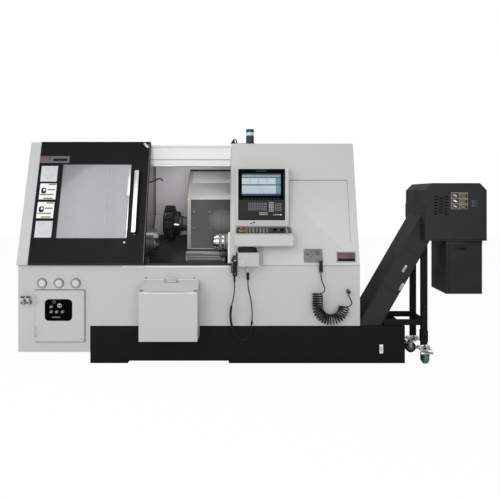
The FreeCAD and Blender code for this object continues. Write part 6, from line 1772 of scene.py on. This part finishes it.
# ---- roof and back
class LATHE_OT_roof(Operator):
    """Fit the signal lamp's lens and cap, the gland and the roof seams"""
    bl_idname = "lathe.roof"
    bl_label = "Roof"

    def execute(self, context):
        lamp = Piece()
        stand = upward(0.0, -0.375, 0)
        for low, high, radius, name in ((2.0425, 2.0768, 0.035, "lens"), (2.0775, 2.1028, 0.0375, "lamp_cap")):
            lamp.band(on(stand, 0, 0, low), radius - 0.0012, radius, high - low, name)
        for z in (1.985, 2.012, 2.038, 2.077):
            lamp.band(on(stand, 0, 0, z - 0.0008), 0.0368, 0.0385, 0.0016, "plastic", 0.0004)
        for rib in range(28):
            turn = tau * rib / 28
            mark = spun(on(spun(stand, turn), 0.0349, 0, 2.0598), pi / 2, "Y")
            lamp.slab(mark, (0.03, 0.0018, 0.0008), "lens_edge", 0.0005)
        lamp.ring(on(stand, 0, 0, 1.9655), 0.0372, 0.05, 0.006, "plastic", 48)
        lamp.done("lamp_lens", "signal_lamp")
        gland = Piece()
        place = upward(-0.159, -0.375, 1.965)
        gland.bolt(on(place, 0, 0, 0.0005), 0.042, 0.01, "plastic")
        gland.turned(on(place, 0, 0, 0.02), [(0.0175, 0), (0.017, 0.003), (0.012, 0.01), (0.009, 0.014), (0, 0.014)],
                     "plastic", 32)
        line = [(-0.159, -0.375, 1.992), (-0.156, -0.378, 2.003), (-0.146, -0.381, 2.008), (-0.134, -0.383, 2.003),
                (-0.128, -0.384, 1.99), (-0.126, -0.384, 1.972)]
        gland.rod(line, 0.006, "cable", 14)
        gland.done("roof_gland", "signal_lamp")
        seams = Piece()
        top = upward(0, 0, 1.965)
        for x in (0.3, 0.78):
            strip(seams, top, (x, -0.41), (x, 0.51), 0.004, "soft_seam")
        seams.screws(top, (-0.105, 0.315, 0.795, 0.955), (-0.38, 0.06, 0.49), 0.006)
        roof = upward(0, 0, 1.927)
        for x in (-0.86, -0.52):
            strip(seams, roof, (x, -0.41), (x, 0.51), 0.004, "soft_seam")
        seams.done("roof_seams", "roof_cover")
        return {"FINISHED"}


CABINET_DOOR = facing((0, 0.9226, 0), right=(-1, 0, 0))


class LATHE_OT_back(Operator):
    """Fit the electrical cabinet, the rear covers, the left side and the conveyor motor"""
    bl_idname = "lathe.back"
    bl_label = "Back and sides"

    def execute(self, context):
        door = Piece()
        face = CABINET_DOOR
        for row in range(12):
            for x in (-0.3, 0.3):
                for z, high in ((0.42 + row * 0.024, 0.011), (1.52 + row * 0.02, 0.009)):
                    louvre(door, on(face, 0.2 + x, z), 0.16, high, "cabinet", rise=0.0018)
        frame_of(door, on(face, 0.2, 1.05), (1.3, 1.5), (1.31, 1.51), 0.0006, "soft_seam", 0.006)
        door.slab(on(face, 0.2, 1.16), (0.14, 0.05, 0.0006), "white", 0.002)
        bars = [(0, 0.012 - 0.012 * row, 0.11 - 0.02 * row, 0.004) for row in range(3)]
        door.bars(on(face, 0.2, 1.16, 0.0006), "label_grey", *bars)
        door.done("cabinet_door_trim", "cabinet_door", "cabinet_door")
        build_cover_trim()
        build_motor_trim()
        return {"FINISHED"}


def build_cover_trim():
    """Seams, screws and vents of the left and rear covers, and the sheet that closes the left one's lower back."""
    covers = Piece()
    left = LEFT_WALL
    for row in range(14):
        louvre(covers, on(left, -0.2, 0.3 + row * 0.026), 0.26, 0.012, "cabinet", rise=0.0018)
    strip(covers, left, (-0.5, 0.905), (0.7, 0.905), 0.004, "seam")
    strip(covers, left, (0.12, 0.12), (0.12, 0.9), 0.004, "seam")
    for across, up in (((-0.48, 0.08, 0.16, 0.68), (0.16, 0.52, 0.87)), ((-0.48, -0.05, 0.35), (0.96, 1.4, 1.82))):
        covers.screws(left, across, up, 0.007, deep=0.002)
    rear = REAR_WALL
    kick = on(rear, 1.7245, 0.2165, -0.006)
    covers.slab(kick, (0.629, 0.227, 0.0055), "cabinet", 0.001)
    covers.screws(kick, (-0.3, 0.3), (-0.095, 0.095), 0.006, out=0.0055, deep=0.002)
    for row in range(6):
        louvre(covers, on(kick, 0, -0.06 + row * 0.024, 0.0055), 0.3, 0.011, "cabinet", rise=0.0018)
    strip(covers, rear, (1.13, 0.34), (1.13, 1.9), 0.004, "seam")
    covers.screws(rear, (-0.92, 1.16, 2), (0.2, 0.6, 1, 1.4, 1.8), 0.007)
    covers.done("cover_trim_left", "left_cover")


def build_motor_trim():
    """Cooling ribs, bolts, the fan cowl and its rings on the conveyor's gear motor."""
    motor = Piece()
    axis = facing((1.629, 0, 1.33), right=(-1, 0, 0))
    for rib in range(9):
        motor.slab(on(axis, 0, 0, -0.265 + rib * 0.011), (0.146, 0.146, 0.004), "dark_casting", 0.03)
    for number in range(4):
        motor.bolt(about(axis, 45 + 90 * number, 0.08, -0.103), 0.012, 0.006, "zinc")
    motor.turned(on(axis, 0, 0, -0.103), [(0.06, 0), (0.06, 0.01), (0.055, 0.016), (0, 0.018)], "plastic", 48)
    for ring in range(4):
        motor.ring(on(axis, 0, 0, -0.0855), 0.008 + ring * 0.011, 0.012 + ring * 0.011, 0.0008, "seam", 40)
    motor.done("motor_trim", "conveyor_motor")


# ---- control
HOUSING = front_at(-0.664)
CONSOLE = front_at(-0.835)
BOX_FRONT = front_at(-0.845)
PENDANT_EDGE = -0.15
PENDANT_LEFT = facing((PENDANT_EDGE, -0.795, 0), right=(0, -1, 0))
DIAL_HEIGHT = 0.834


def key_block(piece, place, columns, rows, pitch, size, material):
    """A field of keys laid out from its lower left corner."""
    for column in range(columns):
        for row in range(rows):
            piece.slab(on(place, (column + 0.5) * pitch[0], (row + 0.5) * pitch[1]), (*size, 0.0028), material, 0.0015)


class LATHE_OT_control_screen(Operator):
    """Fit the control's screen, keyboard and foil edges"""
    bl_idname = "lathe.control_screen"
    bl_label = "Control screen"

    def execute(self, context):
        screen = Piece()
        middle = on(HOUSING, 0.101, 1.5745)
        frame_of(screen, middle, (0.346, 0.195), (0.378, 0.226), 0.0035, "panel", 0.008)
        screen.slab(on(middle, 0, 0, 0.0002), (0.35, 0.199, 0.0012), "screen", 0.002)
        for key in range(10):
            screen.slab(on(HOUSING, -0.05 + key * 0.0335, 1.4475), (0.022, 0.009, 0.0026), "panel_low", 0.002)
        for key in range(7):
            screen.slab(on(HOUSING, 0.3, 1.49 + key * 0.027), (0.009, 0.014, 0.0022), "panel_low", 0.002)
        frame_of(screen, on(HOUSING, 0.1035, 1.485), (0.403, 0.44), (0.413, 0.45), 0.002, "ink", 0.01)
        screen.screws(HOUSING, (-0.095, 0.302), (1.267, 1.703), 0.004, "plastic")
        screen.slab(on(HOUSING, 0.101, 1.694), (0.1, 0.01, 0.0006), "panel_low", 0.001)
        screen.done("screen", "display_panel")
        build_keyboard()
        return {"FINISHED"}


def build_keyboard():
    """Letter, number and cursor keys under the screen."""
    board = Piece()
    board.slab(on(HOUSING, 0.1035, 1.352), (0.4, 0.172, 0.0006), "panel_low", 0.006)
    for x, z, columns, rows, cap in (
        (-0.018, 1.34, 11, 5, "key"), (0.1665, 1.33, 3, 6, "light_key"), (0.22, 1.335, 4, 5, "key"),
        (0.08, 1.3, 5, 2, "light_key"), (0.205, 1.298, 4, 1, "light_key"),
    ):
        key_block(board, on(HOUSING, x, z, 0.0006), columns, rows, (0.0156, 0.015), (0.0112, 0.0098), cap)
    board.button(on(HOUSING, 0.276, 1.3045, 0.0006), 0.006, 0.004, "white")
    board.done("keyboard", "display_panel")


class LATHE_OT_console(Operator):
    """Fit the console's key plate, switches, knobs and emergency stop"""
    bl_idname = "lathe.console"
    bl_label = "Console"

    def execute(self, context):
        plate = Piece()
        plate.slab(on(KEY_PLATE, 0.1205, 0.0905), (0.48, 0.158, 0.0016), "key_plate", 0.006)
        face = on(KEY_PLATE, 0, 0, 0.0016)
        for column in range(7):
            x = -0.03 + column * 0.03
            plate.slab(on(face, x, 0.082), (0.0245, 0.118, 0.0005), "key_plate", 0.003)
            for row in range(5):
                finish = "tan_key" if column % 3 else "key"
                plate.slab(on(face, x, 0.034 + row * 0.0235, 0.0005), (0.019, 0.0165, 0.0045), finish, 0.003)
                if (column + row) % 2 == 0:
                    plate.button(on(face, x, 0.0405 + row * 0.0235, 0.005), 0.0018, 0.0006, "white", 0.0002, 14)
        for x in (0.218, 0.278):
            centre = on(face, x, 0.0845)
            for tick in range(15):
                turn = radians(225 - 270 / 14 * tick)
                plate.slab(on(spun(centre, turn), 0.0255, 0), (0.004, 0.001, 0.0003), "white")
            plate.slab(on(face, x, 0.137), (0.034, 0.01, 0.0004), "label_grey", 0.001)
        cap = [(0.0095, 0), (0.0095, 0.003), (0.0075, 0.004), (0.0075, 0.007), (0.0065, 0.008), (0, 0.008)]
        for x, name in ((0.322, "light_key"), (0.345, "key")):
            for row in range(3):
                plate.turned(on(face, x, 0.04 + row * 0.042), cap, name, 26)
        plate.screws(face, (-0.113, 0.354), (0.018, 0.163), 0.0035)
        plate.done("console_keys", "console_housing")
        build_stop_button()
        build_knobs()
        build_console_front()
        return {"FINISHED"}


def build_stop_button():
    """The yellow collar under the emergency stop, and the white arrows on its cap."""
    collar = Piece()
    place = on(KEY_PLATE, -0.07, 0.0845, 0.0016)
    collar.button(place, 0.029, 0.0016, "yellow", 0.0005, 40)
    collar.ring(on(place, 0, 0, 0.0016), 0.0128, 0.0165, 0.003, "plastic", 32)
    collar.done("stop_collar", "console_housing")
    arrows = Piece()
    cap = cap_place("emergency_stop")
    for arrow in range(3):
        turned = spun(cap, tau * arrow / 3)
        arrows.slab(on(turned, 0.011, 0), (0.002, 0.009, 0.0005), "white", 0.0008)
    arrows.done("stop_arrows", "emergency_stop", "emergency_stop")


def build_knobs():
    """A white pointer on both override knobs."""
    for name in ("feed_knob", "speed_knob"):
        knob = Piece()
        cap = cap_place(name)
        knob.slab(on(cap, 0, 0.0075), (0.0018, 0.011, 0.0005), "white", 0.0004)
        knob.done(name + "_pointer", name, name)


def build_console_front():
    """Folds, screws and the small sticker of the console's case."""
    case = Piece()
    for z, high, name in ((1.1365, 0.004, "soft_seam"), (1.043, 0.003, "soft_seam"), (1.133, 0.003, "beam")):
        case.slab(on(CONSOLE, 0.1205, z), (0.499, high, 0.0006), name)
    case.screws(CONSOLE, (-0.112, 0.353), (1.056, 1.118), 0.004, "cover")
    case.button(on(CONSOLE, -0.078, 1.075), 0.0085, 0.003, "cover", 0.001, 26)
    case.slab(on(CONSOLE, -0.078, 1.075, 0.003), (0.002, 0.01, 0.0005), "seam")
    side = facing((0.371, -0.745, 0), right=(0, 1, 0))
    for vent in range(7):
        louvre(case, on(side, -0.045 + vent * 0.015, 1.085), 0.006, 0.05, "cover", "seam")
    case.done("console_case", "console_housing")
    sticker = Piece()
    place = on(front_at(-0.659), 0.024, 1.2285)
    sticker.slab(place, (0.062, 0.04, 0.0005), "pale", 0.002)
    sticker.bars(on(place, 0, 0, 0.0005), "deep_blue", (0.012, 0.008, 0.026, 0.012), (-0.014, -0.004, 0.022, 0.01))
    sticker.bars(on(place, 0, 0, 0.0005), "pale_blue", (-0.012, 0.011, 0.028, 0.006), (0.012, -0.012, 0.026, 0.005))
    sticker.done("sticker", "display_housing")


def cap_place(node):
    """The middle of a key-plate control's top face, x along the console."""
    control, inward = frame["nodes"][node], KEY_PLATE.inverted()
    inside = inward @ (sum((Vector(corner) for corner in control.bound_box), Vector()) / 8)
    out = max((inward @ vertex.co).z for vertex in control.data.vertices)
    return on(KEY_PLATE, inside.x, inside.y, out)


class LATHE_OT_hand_box(Operator):
    """Fit the tray box and the hand pendant with its keys and scale"""
    bl_idname = "lathe.hand_box"
    bl_label = "Tray box and pendant"

    def execute(self, context):
        box = Piece()
        for z in (0.9845, 0.869):
            strip(box, BOX_FRONT, (-0.099, z), (0.076, z), 0.003, "soft_seam", 0.0004)
        box.button(on(BOX_FRONT, -0.059, 0.907), 0.007, 0.0025, "zinc", 0.0008, 24)
        box.slab(on(BOX_FRONT, -0.059, 0.907, 0.0025), (0.0018, 0.008, 0.0004), "seam")
        box.screws(BOX_FRONT, (-0.09, 0.067), (0.877, 0.977), 0.0032, "box")
        tray = upward(-0.0235, -0.803, 0)
        lip = ((0.1552, 0.0762, 0.9882), (0.16, 0.081, 0.9882), (0.164, 0.084, 1), (0.162, 0.082, 1.019),
               (0.154, 0.074, 1.0262), (0.14, 0.06, 1.0275), (0.13, 0.05, 1.023), (0.128, 0.048, 1.01))
        box.loft(tray, [rounded(wide, deep, 0.036, 0, z) for wide, deep, z in lip], "rubber", False)
        box.slab(on(tray, 0, 0, 1.006), (0.132, 0.052, 0.005), "rubber", 0.025)
        for rib in range(9):
            box.slab(on(tray, -0.048 + rib * 0.012, 0, 1.011), (0.002, 0.036, 0.0012), "plastic", 0.0008)
        stub = upward(-0.018, -0.795, 0)
        profile = [(0.0102, 0.7452), (0.0118, 0.747), (0.0124, 0.757), (0.0124, 0.808), (0.0112, 0.813),
                   (0.0102, 0.813)]
        box.turned(stub, profile, "rubber", 32, False)
        box.done("tray_box_trim", "pendant_box")
        build_pendant()
        return {"FINISHED"}


def build_pendant():
    """The hand pendant's keys, its ring of ticks, and the marks that turn with its dial and selector."""
    pendant = Piece()
    front = facing((-0.13, -0.835, 0))
    pendant.slab(on(front, 0, 0.869), (0.03, 0.15, 0.0006), "rubber", 0.006)
    pendant.slab(on(front, 0, 0.918, 0.0006), (0.018, 0.01, 0.0004), "label_grey", 0.001)
    for z in (0.801, 0.937):
        pendant.screw(on(front, 0, z), 0.003)
    face = PENDANT_LEFT
    dial = on(face, 0, DIAL_HEIGHT)
    pendant.ring(dial, 0.0295, 0.0345, 0.0012, "silver", 48)
    for tick in range(50):
        mark = on(spun(dial, tau * tick / 50), 0.032, 0, 0.0012)
        pendant.slab(mark, (0.003 if tick % 10 == 0 else 0.0018, 0.0005, 0.0002), "ink")
    keys = ((-0.022, 0.935, "light_key"), (0, 0.94, "key"), (0.022, 0.935, "stop"), (0.024, 0.796, "light_key"))
    for x, z, name in keys:
        pendant.button(on(face, x, z), 0.0055, 0.004, name, 0.001, 22)
    pendant.done("pendant_keys", "pendant")
    for name, z in (("pendant_dial", DIAL_HEIGHT), ("pendant_selector", 0.915)):
        mark = Piece()
        reach = PENDANT_EDGE - min(vertex.co.x for vertex in frame["nodes"][name].data.vertices)
        top = on(face, 0, z, reach)
        if name == "pendant_dial":
            mark.button(on(top, 0.015, 0), 0.0045, 0.0008, "rubber", 0.0003, 22)
            mark.slab(on(top, 0, 0.02), (0.0012, 0.008, 0.0003), "white")
        else:
            mark.slab(on(top, 0, 0.005), (0.0016, 0.009, 0.0003), "white")
        mark.done(name + "_mark", name, name)


# ---- hanging cords
class LATHE_OT_cords(Operator):
    """Hang the pendant cable with its sleeves and the coiled air hose"""
    bl_idname = "lathe.cords"
    bl_label = "Cords"

    def execute(self, context):
        sizes = fittings()
        cable = spline("pendant_flex", CABLE_ROUTE, sizes.cable, paint("cable"))
        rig.replaces(cable, "pendant_cable")
        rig.ride(cable, "machine")
        line = line_of(cable)
        sleeves = sleeve_pieces(line)
        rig.cord(cable, exit=CABLE_ROUTE[0], length=length_of(line), diameter=sizes.cable,
                far_end="object", stiffness="limp", lay="hanging", with_pieces=sleeves)
        coil = coil_route()
        route = LEAD_ROUTE + coil + TAIL_ROUTE
        hose = spline("air_hose", route, sizes.hose, paint("hose"))
        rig.replaces(hose, "hose_coil", "hose_ends")
        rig.ride(hose, "machine")
        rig.cord(hose, exit=route[0], length=length_of(line_of(hose)), diameter=sizes.hose,
                far_end="object", stiffness="limp", lay="hanging")
        return {"FINISHED"}


def sleeve_pieces(line):
    """Two ribbed sleeves that the pendant cable runs through."""
    pieces = []
    for name, high, low, front in (("long_sleeve", 0.53, 0.29, True), ("short_sleeve", 0.395, 0.345, False)):
        half = [point for index, point in enumerate(line) if (index < len(line) / 2) == front]
        run = [point for point in half if low <= point.z <= high]
        piece = Piece()
        rings = []
        for index, point in enumerate(run):
            ahead, back = run[min(index + 1, len(run) - 1)], run[max(index - 1, 0)]
            way = (ahead - back).normalized()
            side = way.cross(Vector((0, 1, 0))).normalized()
            out = side.cross(way)
            end = min(index, len(run) - 1 - index)
            radius = fittings().sleeve / 2 * (0.62 if end == 0 else 0.92 if end == 1 else 1.0)
            turns = [tau * step / 20 for step in range(20)]
            rings.append([point + (side * cos(turn) + out * sin(turn)) * radius for turn in turns])
        piece.loft(Matrix.Identity(4), rings, paint("rubber"))
        pieces.append(piece.done(name))
    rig.replaces(pieces[0], "cable_sleeves")
    return pieces


# ---- the lathe's own parts
NODE_FINISHES = {
    # The service lid takes the lighter cover paint rather than the box's cabinet paint: its slope is painted lighter,
    # as lit from above.
    "cover": ("right_cover", "service_lid"),
    "console": ("console_housing", "display_housing"),
    "box": ("pendant_box",),
    "cabinet": ("left_cover", "front_apron", "service_box", "access_door", "electrical_cabinet", "cabinet_door"),
    "beam": ("roof_cover",),
    "door": ("sliding_door",),
    "base": ("base_frame", "conveyor_stand"),
    "conveyor": ("conveyor_casing", "conveyor_hood"),
    "guard": ("work_guards",),
    "side_wall": ("spindle_wall",),
    "hood": ("saddle_guard",),
    "casting": ("slant_bed", "headstock", "saddle"),
    "dark_casting": ("cross_slide", "saddle_drive", "conveyor_motor"),
    "tail_casting": ("tailstock",),
    "steel": ("spindle", "live_centre", "saddle_screw", "conveyor_drum", "conveyor_belt"),
    "ground": ("guide_rails", "quill"),
    "chuck": ("chuck_body",),
    "jaw": ("chuck_jaw_1", "chuck_jaw_2", "chuck_jaw_3"),
    "black_steel": ("turret_disc", "tool_holders"),
    "window": ("door_window",),
    "track": ("door_tracks",),
    "panel": ("display_panel",),
    "plastic": ("pendant", "pendant_dial", "pendant_selector", "feed_knob", "speed_knob"),
    "stop": ("emergency_stop",),
    "air_plate": ("air_fittings",),
    "lamp_ring": ("signal_lamp",),
    "zinc": ("front_caster_fork", "back_caster_fork"),
    "tread": ("front_caster_wheel",),
    "rubber": ("back_caster_wheel",),
}

BEVELS = {node: width for width, nodes in {
    0.001: ("front_apron", "roof_cover", "service_box", "service_lid", "conveyor_casing", "conveyor_hood",
            "access_door", "chuck_jaw_1", "chuck_jaw_2", "chuck_jaw_3", "tool_holders", "saddle_guard"),
    0.0012: ("left_cover", "right_cover"),
    0.002: ("pendant_box", "chuck_body", "electrical_cabinet", "cabinet_door"),
    0.003: ("sliding_door", "conveyor_stand", "tailstock", "cross_slide", "saddle", "headstock", "turret_disc",
            "pendant"),
    0.004: ("base_frame", "console_housing", "display_housing", "conveyor_motor"),
}.items() for node in nodes}
PRESSED_SIDES = {"left_cover": (0, -1), "cabinet_door": (1, 1)}


class LATHE_OT_bodies(Operator):
    """Paint the lathe's own parts and round their edges"""
    bl_idname = "lathe.bodies"
    bl_label = "Bodies"

    def execute(self, context):
        for finish, nodes in NODE_FINISHES.items():
            for node in nodes:
                dress(node, paint(finish), BEVELS.get(node, 0), PRESSED_SIDES.get(node))
        return {"FINISHED"}


# ---- the add-on
OPERATORS = [item for name, item in list(globals().items()) if name.startswith("LATHE_OT_")]


class LATHE_PT_parts(Panel):
    """Lists the lathe's pieces, each built by its own button"""
    bl_label = "Turning Lathe"
    bl_space_type = "VIEW_3D"
    bl_region_type = "UI"
    bl_category = "Lathe"

    def draw(self, context):
        for operator in OPERATORS:
            self.layout.operator(operator.bl_idname)
        for group in (looks(), fittings()):
            for setting in group.__annotations__:
                self.layout.prop(group, setting)


CLASSES = (LatheLooks, LatheFittings, *OPERATORS, LATHE_PT_parts)


def register():
    for item in CLASSES:
        bpy.utils.register_class(item)
    bpy.types.Scene.lathe_looks = PointerProperty(type=LatheLooks)
    bpy.types.Scene.lathe_fittings = PointerProperty(type=LatheFittings)


def unregister():
    del bpy.types.Scene.lathe_fittings
    del bpy.types.Scene.lathe_looks
    for item in reversed(CLASSES):
        bpy.utils.unregister_class(item)


def corners(bounds):
    return [list(corner) for corner in bounds]


def main():
    register()
    for operator in OPERATORS:
        group, name = operator.bl_idname.split(".")
        getattr(getattr(bpy.ops, group), name)()
    with open(SIZE_FILE, "w") as file:
        json.dump({"cad": corners(CAD_BOX), "visual": corners(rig.bounds())}, file)


if __name__ == "__main__":
    main()
